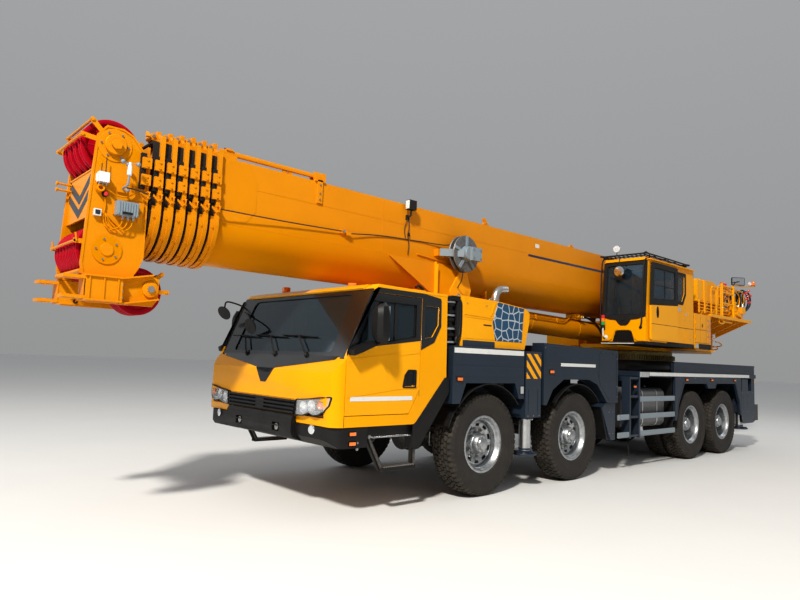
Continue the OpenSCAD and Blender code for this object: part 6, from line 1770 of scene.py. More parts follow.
# ------------------------------------------------------------------ winches
def winch(node, x, z, rf, rr, wraps_up):
    b = B(node + "_drum", "superstructure", ["yellow", "steel", "rope", "bolt", "softblack", "cast"], [node], bevel=0.003)
    for s in (1, -1):
        b.lathe([(0.330, rf), (0.352, rf), (0.352, rf - 0.022), (0.345, rf - 0.030), (0.345, 0.10), (0.330, 0.10)], (x, 0, z), (0, s, 0), "yellow", seg=56, closed=True)
        for k in range(8):
            a = 2 * pi * k / 8 + 0.2
            b.obox((x + (rf * 0.62) * cos(a), s * 0.352, z + (rf * 0.62) * sin(a)), (cos(a), 0, sin(a)), (0, 1, 0), (-sin(a), 0, cos(a)), rf * 0.28, 0.007, 0.006, "yellow")
        b.lathe([(0.345, 0.088), (0.430, 0.088), (0.440, 0.078), (0.455, 0.078), (0.455, 0.0)], (x, 0, z), (0, s, 0), "cast" if s < 0 else "yellow", seg=36)
        for k in range(10):
            a = 2 * pi * k / 10
            b.nut((x + 0.066 * cos(a), s * 0.455, z + 0.066 * sin(a)), (0, s, 0), 0.008, 0.006, "bolt", False)
    b.lathe([(-0.330, rr - 0.020), (0.330, rr - 0.020)], (x, 0, z), (0, 1, 0), "steel", seg=48)
    # one layer of rope, wound side by side
    d = 0.0192
    n = int(0.655 / d)
    prof = []
    for i in range(n):
        y0 = -0.3275 + 0.655 * (i + 0.5) / n
        for k in range(5):
            a = pi * (1 - k / 4)
            prof.append((y0 + 0.655 / n / 2 * cos(a) * 0.98, rr - 0.0096 + 0.0096 * sin(a)))
    b.lathe(prof, (x, 0, z), (0, 1, 0), "rope", seg=56)
    b.done(node + "_steel")
winch("main_winch", -8.370, 2.800, 0.215, 0.180, True)
winch("auxiliary_winch", -8.330, 2.300, 0.190, 0.160, False)

# ------------------------------------------------------------------ plumbing, rails and hoses at the back
b = B("rear_plumbing", "superstructure", ["yellow", "hose", "redlens", "steel", "bolt", "mirror", "softblack", "orange", "white", "rail", "pale", "clear"], bevel=0.002)
def rail_tube(pts, r=0.017, m="yellow", n=10, sub=None):
    b.tube([Vector(p) for p in pts] if sub is None else spline(pts, sub), r, m, n)
for s in (-1,):
    # platform on brackets, outside the cheek
    b.box(-8.55, -6.92, min(s * 0.56, s * 0.86), max(s * 0.56, s * 0.86), 2.540, 2.552, "yellow")
    b.box(-8.55, -6.92, min(s * 0.855, s * 0.868), max(s * 0.855, s * 0.868), 2.500, 2.572, "yellow")
    for k in range(16):
        x = -8.50 + 0.10 * k
        b.box(x, x + 0.045, min(s * 0.60, s * 0.83), max(s * 0.60, s * 0.83), 2.552, 2.556, "yellow")
    for x in (-8.40, -7.90, -7.40, -6.97):
        b.prism([(s * 0.56, 2.36), (s * 0.56, 2.54), (s * 0.85, 2.54), (s * 0.85, 2.505)], x - 0.010, x + 0.010, "yz", "yellow")
    # hand rails
    for x in (-8.52, -8.12, -7.72, -7.32, -6.95):
        rail_tube([(x, s * 0.848, 2.552), (x, s * 0.848, 3.045)])
        b.box(x - 0.03, x + 0.03, min(s * 0.83, s * 0.866), max(s * 0.83, s * 0.866), 2.552, 2.560, "yellow")
    for z in (2.72, 2.885, 3.045):
        rail_tube([(-8.52, s * 0.848, z), (-6.95, s * 0.848, z)], 0.015)
# steel lines that run from the centre to the winches, beside the left cheek
for k in range(7):
    y, z = 0.585 + 0.030 * (k % 2), 2.16 + 0.048 * k
    rail_tube([(-6.93, y, z), (-7.30, y, z), (-7.42, y, z + 0.05), (-8.15, y, z + 0.05), (-8.30, y - 0.02, z + 0.10), (-8.66, y - 0.02, z + 0.10)], 0.0085, "yellow", 8)
    for x in (-7.10, -7.60, -8.00):
        b.box(x - 0.015, x + 0.015, y - 0.014, y + 0.014, z - 0.014 + (0.05 if x < -7.42 else 0), z + 0.014 + (0.05 if x < -7.42 else 0), "yellow")
# frame behind the winches: posts and cross tubes; the mirror, beacon and small lamps are not drawn here
for s in (1, -1):
    rail_tube([(-8.70, s * 0.50, 2.03), (-8.70, s * 0.50, 3.02)], 0.024, n=12)
    rail_tube([(-8.70, s * 0.50, 2.95), (-9.02, s * 0.46, 2.93)], 0.018, n=10)
    b.box(-8.73, -8.62, min(s * 0.46, s * 0.54), max(s * 0.46, s * 0.54), 2.030, 2.060, "yellow")
for z in (2.10, 2.52, 2.98):
    rail_tube([(-8.70, -0.50, z), (-8.70, 0.50, z)], 0.020, n=12)
# valve bank behind the main winch
b.box(-8.92, -8.72, -0.30, 0.34, 2.560, 2.700, "yellow")
for k in range(6):
    y = -0.24 + 0.10 * k
    b.box(-8.945, -8.92, y - 0.035, y + 0.035, 2.575, 2.690, "yellow")
    b.cyl((-8.82, y, 2.70), (-8.82, y, 2.745), 0.020, "steel", 12)
    b.nut((-8.82, y, 2.745), (0, 0, 1), 0.024, 0.020, "steel", False)
    b.cyl((-8.945, y, 2.60), (-8.975, y, 2.60), 0.014, "steel", 10)
# black hoses that loop out with red caps at their couplings
for k in range(7):
    y = -0.26 + 0.105 * k
    o = 0.035 * (k % 3)
    pts = [(-8.82, y, 2.77), (-8.86, y, 2.90 + o), (-8.98, y + 0.01, 2.965 + o), (-9.12 - o * 0.6, y + 0.02, 2.90), (-9.16 - o * 0.8, y + 0.02, 2.76), (-9.10, y + 0.02, 2.62), (-8.98, y + 0.01, 2.55), (-8.90, y, 2.44), (-8.78, y, 2.36)]
    rail_tube(pts, 0.0165, "hose", 10, sub=5)
    for (p, ax) in ((pts[0], (0, 0, 1)), (pts[-1], (-0.9, 0, 0.6))):
        b.lathe([(-0.02, 0.021), (0.045, 0.021), (0.048, 0.017)], p, ax, "steel", seg=14)
for k in range(3):
    y = 0.42 + 0.07 * k
    b.cyl((-8.99, y, 2.965), (-8.99, y, 3.035), 0.018, "steel", 12)
    b.lathe([(0, 0.023), (0.032, 0.023), (0.036, 0.018), (0.037, 0.0)], (-8.99, y, 3.030), (0, 0, 1), "redlens", seg=16)
b.box(-9.03, -8.95, 0.36, 0.60, 2.945, 2.968, "yellow")
for (x, y, z) in ((-9.10, 0.30, 2.80), (-9.06, 0.14, 2.70), (-9.09, -0.02, 2.86)):
    b.lathe([(-0.02, 0.019), (0.02, 0.019), (0.023, 0.014), (0.024, 0)], (x, y, z), (0, 0.6, 1), "redlens", seg=14)
# swivel and hose guide under the bank
b.lathe([(0, 0.12), (0.03, 0.12), (0.03, 0.085), (0.20, 0.085), (0.20, 0.11), (0.23, 0.11), (0.23, 0.0)], (-8.84, 0.10, 2.08), (0, 0, 1), "yellow", seg=32)
for k in range(8):
    a = 2 * pi * k / 8
    b.nut((-8.84 + 0.10 * cos(a), 0.10 + 0.10 * sin(a), 2.31), (0, 0, 1), 0.010, 0.008, "bolt", False)
rail_tube([(-8.66, 0.60, 2.24), (-8.84, 0.62, 2.22), (-8.98, 0.60, 2.16), (-9.02, 0.30, 2.13), (-8.95, 0.10, 2.12)], 0.012, "yellow", 10, sub=5)
rail_tube([(-8.66, 0.56, 2.14), (-8.80, 0.58, 2.12), (-8.90, 0.54, 2.08), (-8.92, 0.34, 2.06)], 0.012, "yellow", 10, sub=5)
# pipes over the right of the turntable
for k in range(4):
    rail_tube([(-5.20, -0.555, 2.06 + 0.035 * k), (-6.20, -0.555, 2.06 + 0.035 * k), (-6.90, -0.575, 2.10 + 0.035 * k), (-8.30, -0.575, 2.10 + 0.035 * k)], 0.0085, "yellow", 8)
b.done("plumbing_paint")

# ------------------------------------------------------------------ hydraulic bank on the left rear platform
b = B("rear_bank", "superstructure", ["yellow", "hose", "redlens", "steel", "bolt", "mirror", "softblack", "orange", "white", "pale", "clear", "plastic"], bevel=0.0025, segs=2)
def pipe(pts, r=0.017, m="yellow", n=10, sub=None):
    b.tube([Vector(p) for p in pts] if sub is None else spline(pts, sub), r, m, n)
# floor with brackets from the cheek
b.box(-8.96, -6.86, 0.540, 1.235, 2.690, 2.702, "yellow")
b.box(-8.96, -6.86, 1.228, 1.240, 2.650, 2.712, "yellow")
b.box(-6.868, -6.856, 0.540, 1.240, 2.650, 2.712, "yellow")
for x in (-8.86, -8.40, -7.90, -7.40, -6.95):
    b.prism([(0.526, 2.330), (0.526, 2.690), (1.225, 2.690), (1.225, 2.655)], x - 0.010, x + 0.010, "yz", "yellow")
for k in range(20):
    x = -8.90 + 0.10 * k
    b.box(x, x + 0.05, 0.60, 1.18, 2.702, 2.706, "yellow")
# closed housing behind the cab, with a shoulder, doors and a ribbed lid
b.prism([(-6.370, 2.930), (-6.370, 3.330), (-6.400, 3.350), (-6.690, 3.346), (-6.930, 3.380), (-7.190, 3.368), (-7.395, 3.305), (-7.395, 2.930)], 0.620, 1.150, "xz", "yellow")
b.prism([(-6.395, 2.955), (-6.395, 3.300), (-6.670, 3.300), (-6.820, 2.955)], 1.150, 1.156, "xz", "yellow")
b.prism([(-6.850, 2.955), (-6.705, 3.300), (-6.930, 3.335), (-7.170, 3.325), (-7.365, 3.270), (-7.365, 2.955)], 1.150, 1.156, "xz", "yellow")
for x in (-6.42, -7.33):
    for z in (2.985, 3.245):
        b.nut((x, 1.156, z), (0, 1, 0), 0.013, 0.009, "bolt")
for x, z1 in ((-6.385, 3.34), (-6.70, 3.36), (-7.38, 3.31)):
    b.box(x - 0.012, x + 0.012, 1.150, 1.172, 2.70 if x < -6.86 else 2.93, z1, "yellow")
for k in range(6):
    b.box(-7.14 + 0.11 * k, -7.12 + 0.11 * k, 0.66, 1.11, 3.352, 3.386, "yellow")
b.box(-6.900, -6.874, 0.62, 1.15, 2.702, 2.930, "yellow")
b.box(-7.390, -7.360, 0.62, 1.15, 2.702, 2.930, "yellow")
# side rails in front of it: four long pipes that bend down at their front end, and stanchions
for k, z in enumerate((2.745, 2.805, 2.865, 2.925)):
    pipe([(-6.350, 1.190, z), (-6.90, 1.190, z), (-7.45 - 0.03 * k, 1.190, z), (-7.60, 1.170, z + 0.02), (-7.92, 1.150, z + 0.03)], 0.0115, "yellow", 8)
for x, z0, z1 in ((-6.360, 2.70, 2.96), (-6.62, 2.70, 2.96), (-6.93, 2.65, 3.22), (-7.175, 2.65, 3.22), (-7.400, 2.62, 3.30)):
    b.box(x - 0.017, x + 0.017, 1.196, 1.216, z0, z1, "yellow")
pipe([(-6.93, 1.210, 3.22), (-6.95, 1.210, 3.252), (-7.16, 1.210, 3.252), (-7.175, 1.210, 3.22)], 0.015, "yellow", 10)
# tall posts and cross tubes of the open frame
for x in (-7.455, -8.045):
    for y in (0.62, 1.205):
        pipe([(x, y, 2.66), (x, y, 3.375)], 0.0265, "yellow", 14)
        b.box(x - 0.045, x + 0.045, y - 0.04, y + 0.032, 2.702, 2.716, "yellow")
        b.lathe([(0, 0.030), (0.010, 0.030), (0.012, 0.0)], (x, y, 3.372), (0, 0, 1), "yellow", seg=18)
for z in (2.98, 3.20, 3.335):
    pipe([(-7.455, 1.205, z), (-8.045, 1.205, z)], 0.016, "yellow", 10)
    pipe([(-8.045, 0.62, z), (-8.045, 1.205, z)], 0.015, "yellow", 10)
# bank of valves between the posts: blocks, spools, caps and bolts, in two tiers
for t, (z, h, y) in enumerate(((2.790, 0.120, 1.060), (3.055, 0.115, 1.040))):
    b.box(-7.98, -7.50, y - 0.150, y + 0.020, z, z + h, "yellow")
    for k in range(5):
        x = -7.545 - 0.095 * k
        b.box(x - 0.036, x + 0.036, y + 0.020, y + 0.062, z + 0.008, z + h - 0.008, "yellow")
        b.lathe([(0, 0.026), (0.020, 0.026), (0.024, 0.020), (0.052, 0.020), (0.056, 0.014), (0.057, 0.0)], (x, y + 0.062, z + h * 0.5), (0, 1, 0), "yellow" if (k + t) % 2 else "steel", seg=16)
        b.cyl((x, y - 0.05, z + h), (x, y - 0.05, z + h + 0.050), 0.018, "yellow", 12)
        b.nut((x, y - 0.05, z + h + 0.050), (0, 0, 1), 0.021, 0.018, "steel", False)
        pipe([(x, y - 0.05, z + h + 0.06), (x, y - 0.05, z + h + 0.10), (x - 0.02, y - 0.10, z + h + 0.125), (x - 0.05, y - 0.26, z + h + 0.13), (x - 0.05, 0.66, z + h + 0.13)], 0.0105, "yellow", 8, sub=3)
        for d in (-1, 1):
            b.nut((x + d * 0.024, y + 0.062, z + 0.022), (0, 1, 0), 0.007, 0.006, "bolt", False)
# large relief valve: vertical body with flanges and ports
for x, y, z0, r, h in ((-8.300, 1.090, 2.715, 0.082, 0.36), (-8.520, 1.060, 2.715, 0.064, 0.30), (-8.300, 0.800, 2.715, 0.074, 0.33)):
    b.lathe([(0, r * 1.35), (0.022, r * 1.35), (0.022, r), (h * 0.42, r), (h * 0.42, r * 1.22), (h * 0.52, r * 1.22), (h * 0.52, r * 0.92), (h * 0.86, r * 0.92), (h * 0.90, r * 1.12), (h * 0.97, r * 1.12), (h, r * 0.75), (h + 0.03, r * 0.30), (h + 0.06, 0.0)], (x, y, z0), (0, 0, 1), "yellow", seg=32)
    for k in range(6):
        a = 2 * pi * k / 6
        b.nut((x + r * 1.18 * cos(a), y + r * 1.18 * sin(a), z0 + 0.022), (0, 0, 1), 0.010, 0.009, "bolt", False)
        b.nut((x + r * 1.02 * cos(a), y + r * 1.02 * sin(a), z0 + h * 0.97), (0, 0, 1), 0.008, 0.007, "bolt", False)
    b.lathe([(0, r * 0.55), (0.05, r * 0.55), (0.05, r * 0.70), (0.068, r * 0.70), (0.070, 0.0)], (x, y + r * 0.8, z0 + h * 0.28), (0, 1, 0), "yellow", seg=24)
    b.lathe([(0, r * 0.42), (0.045, r * 0.42), (0.048, 0.0)], (x - r * 0.8, y, z0 + h * 0.70), (-1, 0, 0), "steel", seg=20)
# upper pipes that run back and turn down over the end
for k in range(6):
    y = 0.80 + 0.072 * k
    z = 3.285 + 0.022 * (k % 3)
    e = -8.52 - 0.05 * (k % 3)
    pipe([(-7.42, y, z - 0.05), (-7.70, y, z), (-8.30, y, z), (e, y, z - 0.01), (e - 0.13, y, z - 0.07), (e - 0.15, y, z - 0.20), (e - 0.08, y, z - 0.32)], 0.0145, "yellow", 10, sub=4)
    for x in (-7.75, -8.22):
        b.box(x - 0.016, x + 0.016, y - 0.024, y + 0.024, z - 0.020, z + 0.020, "yellow")
    b.lathe([(-0.02, 0.020), (0.018, 0.024), (0.040, 0.024), (0.044, 0.018)], (e - 0.085, y, z - 0.30), (0.1, 0, -1), "steel", seg=14)
# manifold at the end with black hoses that loop out, and red caps
b.box(-8.78, -8.60, 0.72, 1.19, 2.845, 2.985, "yellow")
b.box(-8.74, -8.64, 0.78, 1.15, 2.702, 2.845, "yellow")
for k in range(7):
    y = 0.755 + 0.066 * k
    o = 0.030 * (k % 3)
    pts = [(-8.70, y, 2.985), (-8.76, y, 3.060 + o), (-8.72 - o, y, 3.240 + o), (-8.86, y, 3.345 + o * 0.6), (-9.06, y, 3.335 + o * 0.5), (-9.175 - o, y, 3.225), (-9.16 - o, y, 3.085), (-9.03, y, 2.985 - o), (-8.90, y, 2.930 - o), (-8.79, y, 2.915)]
    pipe(pts, 0.0180, "hose", 12, sub=5)
    for q, ax in ((pts[0], (0, 0, 1)), (pts[-1], (-1, 0, 0.15))):
        b.lathe([(-0.015, 0.026), (0.018, 0.026), (0.020, 0.021), (0.055, 0.021), (0.058, 0.018)], q, ax, "steel", seg=16)
for x, y, z, ax in ((-8.94, 1.205, 3.370, (-0.3, 0.6, 0.8)), (-9.02, 1.215, 3.270, (0.5, 0.9, 0.2)), (-8.80, 1.225, 3.175, (0, 1, 0.3)), (-8.72, 1.220, 3.300, (0, 1, 0.5)), (-8.86, 1.215, 3.245, (-0.4, 0.9, 0)), (-8.98, 1.210, 3.120, (-0.2, 1, 0))):
    ax_ = Vector(ax).normalized()
    b.lathe([(-0.050, 0.014), (-0.012, 0.014), (-0.010, 0.022), (0.020, 0.022), (0.024, 0.016), (0.025, 0.0)], (x, y, z), ax_, "redlens", seg=18)
for k in range(4):
    b.lathe([(0, 0.013), (0.05, 0.013), (0.05, 0.022), (0.068, 0.022), (0.070, 0.0)], (-7.62 - 0.085 * k, 1.13, 3.352), (0, 0, 1), "redlens", seg=16)
b.box(-7.98, -7.54, 1.10, 1.16, 3.340, 3.356, "yellow")
# U-shaped guide bars that hang below the floor's edge
for x0, x1, zb in ((-7.300, -7.560, 2.560), (-7.480, -7.980, 2.600)):
    pipe([(x0, 1.205, 2.700), (x0, 1.205, zb + 0.03), (x0 - 0.03, 1.205, zb), (x1 + 0.03, 1.205, zb), (x1, 1.205, zb + 0.03), (x1, 1.205, 2.700)], 0.0125, "yellow", 10)
pipe([(-7.05, 1.19, 2.69), (-7.25, 1.22, 2.655), (-7.62, 1.20, 2.64), (-7.95, 1.19, 2.668)], 0.009, "yellow", 8, sub=4)
# mirror on its arm, rod with a lamp cup and a beacon
pipe([(-8.045, 1.205, 3.365), (-8.12, 1.205, 3.400), (-8.60, 1.205, 3.432), (-9.16, 1.205, 3.492), (-9.215, 1.205, 3.497)], 0.0125, "yellow", 10)
b.box(-9.250, -9.150, 1.165, 1.245, 3.492, 3.500, "yellow")
b.lathe([(0, 0.046), (0.014, 0.046), (0.018, 0.038)], (-9.205, 1.205, 3.500), (0, 0, 1), "softblack", seg=28)
b.lathe([(0.016, 0.040), (0.030, 0.042), (0.040, 0.040), (0.050, 0.042), (0.085, 0.040), (0.105, 0.030), (0.112, 0.0)], (-9.205, 1.205, 3.500), (0, 0, 1), "orange", seg=28)
b.lathe([(-0.040, 0.0), (-0.036, 0.024), (-0.010, 0.038), (0.016, 0.040), (0.018, 0.036)], (-8.965, 1.215, 3.530), (0.5, 0.85, 0.05), "white", seg=24)
b.lathe([(0.016, 0.036), (0.019, 0.0)], (-8.965, 1.215, 3.530), (0.5, 0.85, 0.05), "clear", seg=24)
pipe([(-8.965, 1.205, 3.475), (-8.965, 1.210, 3.505)], 0.008, "steel", 8)
pipe([(-8.045, 1.205, 3.375), (-8.085, 1.225, 3.440), (-8.190, 1.235, 3.490), (-8.330, 1.235, 3.505)], 0.0095, "softblack", 8, sub=4)
def mir_pt(u, w, d):
    """Mirror plate turned to the front and left: u across, w up, d out of the glass."""
    c, e = Vector((0.62, 0.785, 0)), Vector((-0.785, 0.62, 0))
    return Vector((-8.345, 1.205, 3.515)) + e * u + Vector((0, 0, 1)) * w + c * d
def plate(o, d0, d1, m):
    k = len(o)
    b.faces([mir_pt(u, w, d0) for u, w in o] + [mir_pt(u, w, d1) for u, w in o], [tuple(reversed(range(k))), tuple(range(k, 2 * k))] + [(i, (i + 1) % k, (i + 1) % k + k, i + k) for i in range(k)], m)
o_m = round_poly([(-0.145, -0.085), (0.145, -0.085), (0.145, 0.085), (-0.145, 0.085)], 0.028, 5)
plate(o_m, -0.022, 0.006, "softblack")
plate(inset(o_m, 0.012), 0.005, 0.009, "mirror")
b.done("plumbing_paint")

# ------------------------------------------------------------------ boom: outlines of the sections
XC = [3.165 + 0.116 * k for k in range(7)]
def u_out(w, zb, zt, n=28, top=0.03):
    """U outline in Y and Z: half round below, flat on top with small corner radii."""
    pts = []
    for i in range(n + 1):
        a = pi + pi * i / n
        pts.append((w * cos(a), zb + w + w * sin(a)))
    for i in range(5):
        a = pi / 2 * i / 4
        pts.append((w - top + top * cos(a), zt - top + top * sin(a)))
    for i in range(5):
        a = pi / 2 + pi / 2 * i / 4
        pts.append((-w + top + top * cos(a), zt - top + top * sin(a)))
    return pts
def dims(k):
    return 0.400 - 0.026 * k, 2.500 + 0.026 * k, 3.580 - 0.026 * k

def collar_details(b, k, m="boomyel"):
    """Rollers, pads, guides and the band behind one collar plate."""
    xc = XC[k]
    w, zb, zt = 0.444 - 0.003 * k, 2.454 + 0.003 * k, 3.620
    # wide band that follows the plate's edge, a little inside it
    n = 30
    o, i_ = [], []
    for j in range(n + 1):
        a = pi * 0.965 + pi * 1.07 * j / n
        o.append(((w - 0.012) * cos(a), zb + w + (w - 0.012) * sin(a)))
        i_.append(((w - 0.028) * cos(a), zb + w + (w - 0.028) * sin(a)))
    v, f = [], []
    x0, x1 = xc + 0.040, xc + 0.084
    for p, q in zip(o, i_):
        v += [(x0, *p), (x1, *p), (x1, *q), (x0, *q)]
    for j in range(n):
        e, g = 4 * j, 4 * j + 4
        f += [(e, e + 1, g + 1, g), (e + 1, e + 2, g + 2, g + 1), (e + 2, e + 3, g + 3, g + 2), (e + 3, e, g, g + 3)]
    f += [(3, 2, 1, 0), (4 * n, 4 * n + 1, 4 * n + 2, 4 * n + 3)]
    b.faces(v, f, m)
    # black ring inside between the plates: painted shade of the gap into the boom
    if k < 6:
        b.ring(u_out(w - 0.040, zb + 0.040, zt - 0.045), u_out(w - 0.060, zb + 0.060, zt - 0.065), xc + 0.041, xc + 0.100, "yz", "softblack")
    for s in (1, -1):
        # bolted pad blocks on the flank
        for (z0, z1) in ((3.115, 3.215), (3.275, 3.375)):
            b.box(xc + 0.004, xc + 0.088, min(s * (w - 0.03), s * (w + 0.016)), max(s * (w - 0.03), s * (w + 0.016)), z0, z1, m)
            for zz in (z0 + 0.022, z1 - 0.022):
                b.nut((xc + 0.045, s * (w + 0.016), zz), (0, s, 0), 0.012, 0.009, "boomyel", False)
        b.box(xc + 0.045, xc + 0.096, min(s * (w - 0.050), s * (w - 0.012)), max(s * (w - 0.050), s * (w - 0.012)), 3.08, 3.42, "softblack")
        # round adjusting screws along the curve
        for aa in (-62, -35, -8):
            a = radians(aa)
            c = (xc + 0.062, s * (w - 0.012) * cos(a), zb + w + (w - 0.012) * sin(a))
            b.nut(c, (0, s * cos(a), sin(a)), 0.013, 0.010, "boomyel", False)
        # rollers between the ears on top
        top = 3.73 - 0.012 * max(0, k - 2)
        if k < 6:
            zr = top - 0.055
            b.cyl((xc + 0.074, s * 0.165, zr), (xc + 0.074, s * 0.300, zr), 0.031, m, 20)
            b.cyl((xc + 0.074, s * 0.300, zr), (xc + 0.074, s * 0.312, zr), 0.016, "bolt", 12)
            for y in (0.175, 0.285):
                b.box(xc + 0.040, xc + 0.088, min(s * y, s * (y + 0.012)), max(s * y, s * (y + 0.012)), 3.600, zr - 0.01, m)
        # gussets of the ears
        b.prism([(s * 0.300, 3.615), (s * 0.300, 3.67), (s * 0.345, 3.615)], xc + 0.006, xc + 0.036, "yz", m)
    # cable guide on the left flank
    y = w + 0.002
    b.box(xc + 0.006, xc + 0.036, y - 0.01, y + 0.036, 2.985, 3.003, m)
    b.box(xc + 0.006, xc + 0.036, y - 0.01, y + 0.036, 3.040, 3.054, m)
    b.tube([(xc + 0.021, y + 0.030, 2.990), (xc + 0.021, y + 0.046, 3.010), (xc + 0.021, y + 0.046, 3.030), (xc + 0.021, y + 0.030, 3.048)], 0.006, m, 8)
    b.prism([(xc + 0.030, 2.97), (xc + 0.085, 3.02), (xc + 0.085, 3.045), (xc + 0.030, 3.00)], y - 0.006, y + 0.010, "xz", m)

# base section
# the boom's own faces take the darkened boom yellow, a painted shade
b = skin("boom_base", ["boomyel", "yellow", "boomblue", "softblack", "bolt", "steel", "rope", "hose", "white", "clear", "cast", "rail", "redlens", "navy", "chrome"], 0.004, segs=2, angle=25)
collar_details(b, 0)
for s in (1, -1):
    Y = 0.3998
    # weld seams and the slight folds of the flank
    for (z, h) in ((3.315, 0.006), (2.905, 0.008)):
        b.box(-7.44, 3.165, *sorted((s * Y, s * (Y + 0.0022))), z - h / 2, z + h / 2, "boomyel")
    for x in (-4.62, -2.05, 0.98):
        b.box(x - 0.004, x + 0.004, *sorted((s * Y, s * (Y + 0.0020))), 2.905, 3.575, "boomyel")
    # doubling plates near the collar and over the pivot
    b.prism(round_poly([(3.160, 2.93), (3.160, 3.56), (2.82, 3.56), (2.74, 3.40), (2.74, 3.08), (2.86, 2.93)], 0.03, 3), *at_y(s, Y, 0.0040), "xz", "boomyel")
    b.prism(round_poly([(-7.43, 2.93), (-7.43, 3.54), (-6.60, 3.40), (-6.35, 3.10), (-6.55, 2.93)], 0.05, 4), *at_y(s, Y, 0.0070), "xz", "boomyel")
    # the long stiffener under the flank, from the lift point back and forward, is not drawn
    # boss of the foot
    b.lathe([(0.396, 0.150), (0.416, 0.150), (0.420, 0.135), (0.420, 0.10)], (-7.80, 0, 3.15), (0, s, 0), "boomyel", seg=40)
    # lugs of the lift point
    b.lathe([(0.198, 0.150), (0.214, 0.150), (0.218, 0.142), (0.218, 0.0)], (-0.97, 0, 2.320), (0, s, 0), "boomyel", seg=40)
    for k in range(6):
        a = 2 * pi * k / 6
        b.nut((-0.97 + 0.115 * cos(a), s * 0.218, 2.320 + 0.115 * sin(a)), (0, s, 0), 0.014, 0.010, "bolt", False)
    # ribs across the cheeks below the tube
    for x in (-0.62, 0.10):
        b.prism([(s * 0.165, 2.47), (s * 0.41, 2.56), (s * 0.41, 2.64), (s * 0.165, 2.545)], x - 0.009, x + 0.009, "yz", "boomyel")
# ribs and the flared lobes of the lift bracket, outside the gussets
for s in (1, -1):
    b.prism([(0.060, 2.470), (0.060, 2.868), (0.048, 2.868), (0.048, 2.470)], *at_y(s, 0.417, 0.062), "xz", "yellow")
    b.prism([(0.060, 2.868), (0.060, 2.905), (0.048, 2.905), (0.048, 2.868)], *at_y(s, 0.417, 0.030), "xz", "yellow")
    # inward curved web between the rib and the lobe
    v, f = [], []
    n = 14
    for i in range(n + 1):
        t = i / n
        z = 2.450 + 0.44 * t
        xx = -0.20 - 0.26 * (t ** 1.7)
        v += [(0.020 - 0.05 * t, s * 0.4185, z), (-0.05 - 0.12 * t, s * (0.4185 + 0.035 * sin(pi * t)), z), (xx, s * (0.425 + 0.062 * (1 - t) ** 0.5), z)]
    for i in range(n):
        e, g = 3 * i, 3 * i + 3
        f += [(e, e + 1, g + 1, g), (e + 1, e + 2, g + 2, g + 1)]
    k0 = len(v)
    v += [(p[0], s * 0.4165, p[2]) for p in v]
    f += [tuple(k0 + q for q in reversed(t_)) for t_ in f]
    f += [(0, 1, k0 + 1, k0), (1, 2, k0 + 2, k0 + 1)] + [(3 * i + 2, 3 * i + 5, k0 + 3 * i + 5, k0 + 3 * i + 2) for i in range(n)] + [(3 * i, k0 + 3 * i, k0 + 3 * i + 3, 3 * i + 3) for i in range(n)] + [(3 * n, k0 + 3 * n, k0 + 3 * n + 1, 3 * n + 1), (3 * n + 1, k0 + 3 * n + 1, k0 + 3 * n + 2, 3 * n + 2)]
    b.faces(v, f, "boomyel")
    # lobe plate: narrow at the top, round and wide below
    b.prism(round_poly([(-0.205, 2.440), (-0.180, 2.540), (-0.330, 2.760), (-0.455, 3.010), (-0.500, 3.010), (-0.520, 2.780), (-0.600, 2.580), (-0.560, 2.440)], [0.04, 0.06, 0.05, 0.01, 0.01, 0.06, 0.06, 0.04], 5), *at_y(s, 0.417, 0.070), "xz", "yellow")
    # flat bar below the cable reel
    b.prism([(0.380, 2.958), (0.380, 2.976), (-0.340, 2.916), (-0.340, 2.898)], *at_y(s, 0.399, 0.020), "xz", "boomyel")
# tail plate, top lugs and inspection cover
for (y0, y1) in ((-0.30, -0.02), (0.02, 0.30)):
    b.box(-7.476, -7.469, y0, y1, 3.00, 3.50, "boomyel")
b.cyl((-7.49, -0.12, 3.24), (-7.47, -0.12, 3.24), 0.06, "cast", 24)
b.cyl((-7.50, 0.12, 3.24), (-7.47, 0.12, 3.24), 0.09, "cast", 28)
for x in (-6.9, -3.3, -1.05, 2.35):
    for s in (1, -1):
        b.prism(round_poly([(x - 0.075, 3.579), (x - 0.045, 3.640), (x + 0.045, 3.640), (x + 0.075, 3.579)], 0.018, 3), *sorted((s * 0.33, s * 0.352)), "xz", "boomyel")
        b.lathe([(-0.013, 0.016), (0.013, 0.016), (0.013, 0.010), (-0.013, 0.010)], (x, s * 0.341, 3.618), (0, 1, 0), "bolt", seg=16, closed=True)
# bent lug that stands on the top edge
b.obox((-1.12, 0.27, 3.650), (0.42, 0, 0.91), (0, 1, 0), (0.91, 0, -0.42), 0.075, 0.030, 0.012, "boomyel")
# guide bar on the top's left edge, with its two carriers
prof = round_poly([(0.318, 3.628), (0.364, 3.628), (0.364, 3.674), (0.318, 3.674)], 0.006, 2)
b.prism(prof, 1.93, 3.16, "yz", "boomyel")
b.box(2.98, 3.16, 0.300, 0.382, 3.579, 3.630, "boomyel")
b.box(3.02, 3.10, 0.305, 0.377, 3.672, 3.690, "boomyel")
b.box(1.88, 2.02, 0.296, 0.420, 3.579, 3.598, "boomyel")
b.box(1.88, 2.02, 0.296, 0.308, 3.590, 3.690, "boomyel")
b.box(1.88, 2.02, 0.372, 0.384, 3.590, 3.690, "boomyel")
b.box(1.86, 1.89, 0.300, 0.392, 3.600, 3.690, "boomyel")
b.box(1.915, 1.985, 0.400, 0.420, 3.330, 3.600, "boomyel")
for z in (3.37, 3.44, 3.54):
    b.nut((1.95, 0.420, z), (0, 1, 0), 0.012, 0.008, "bolt", False)
for x in (1.90, 1.97, 3.04, 3.10):
    b.nut((x, 0.341, 3.688 if x < 2.5 else 3.690), (0, 0, 1), 0.013, 0.009, "bolt", False)
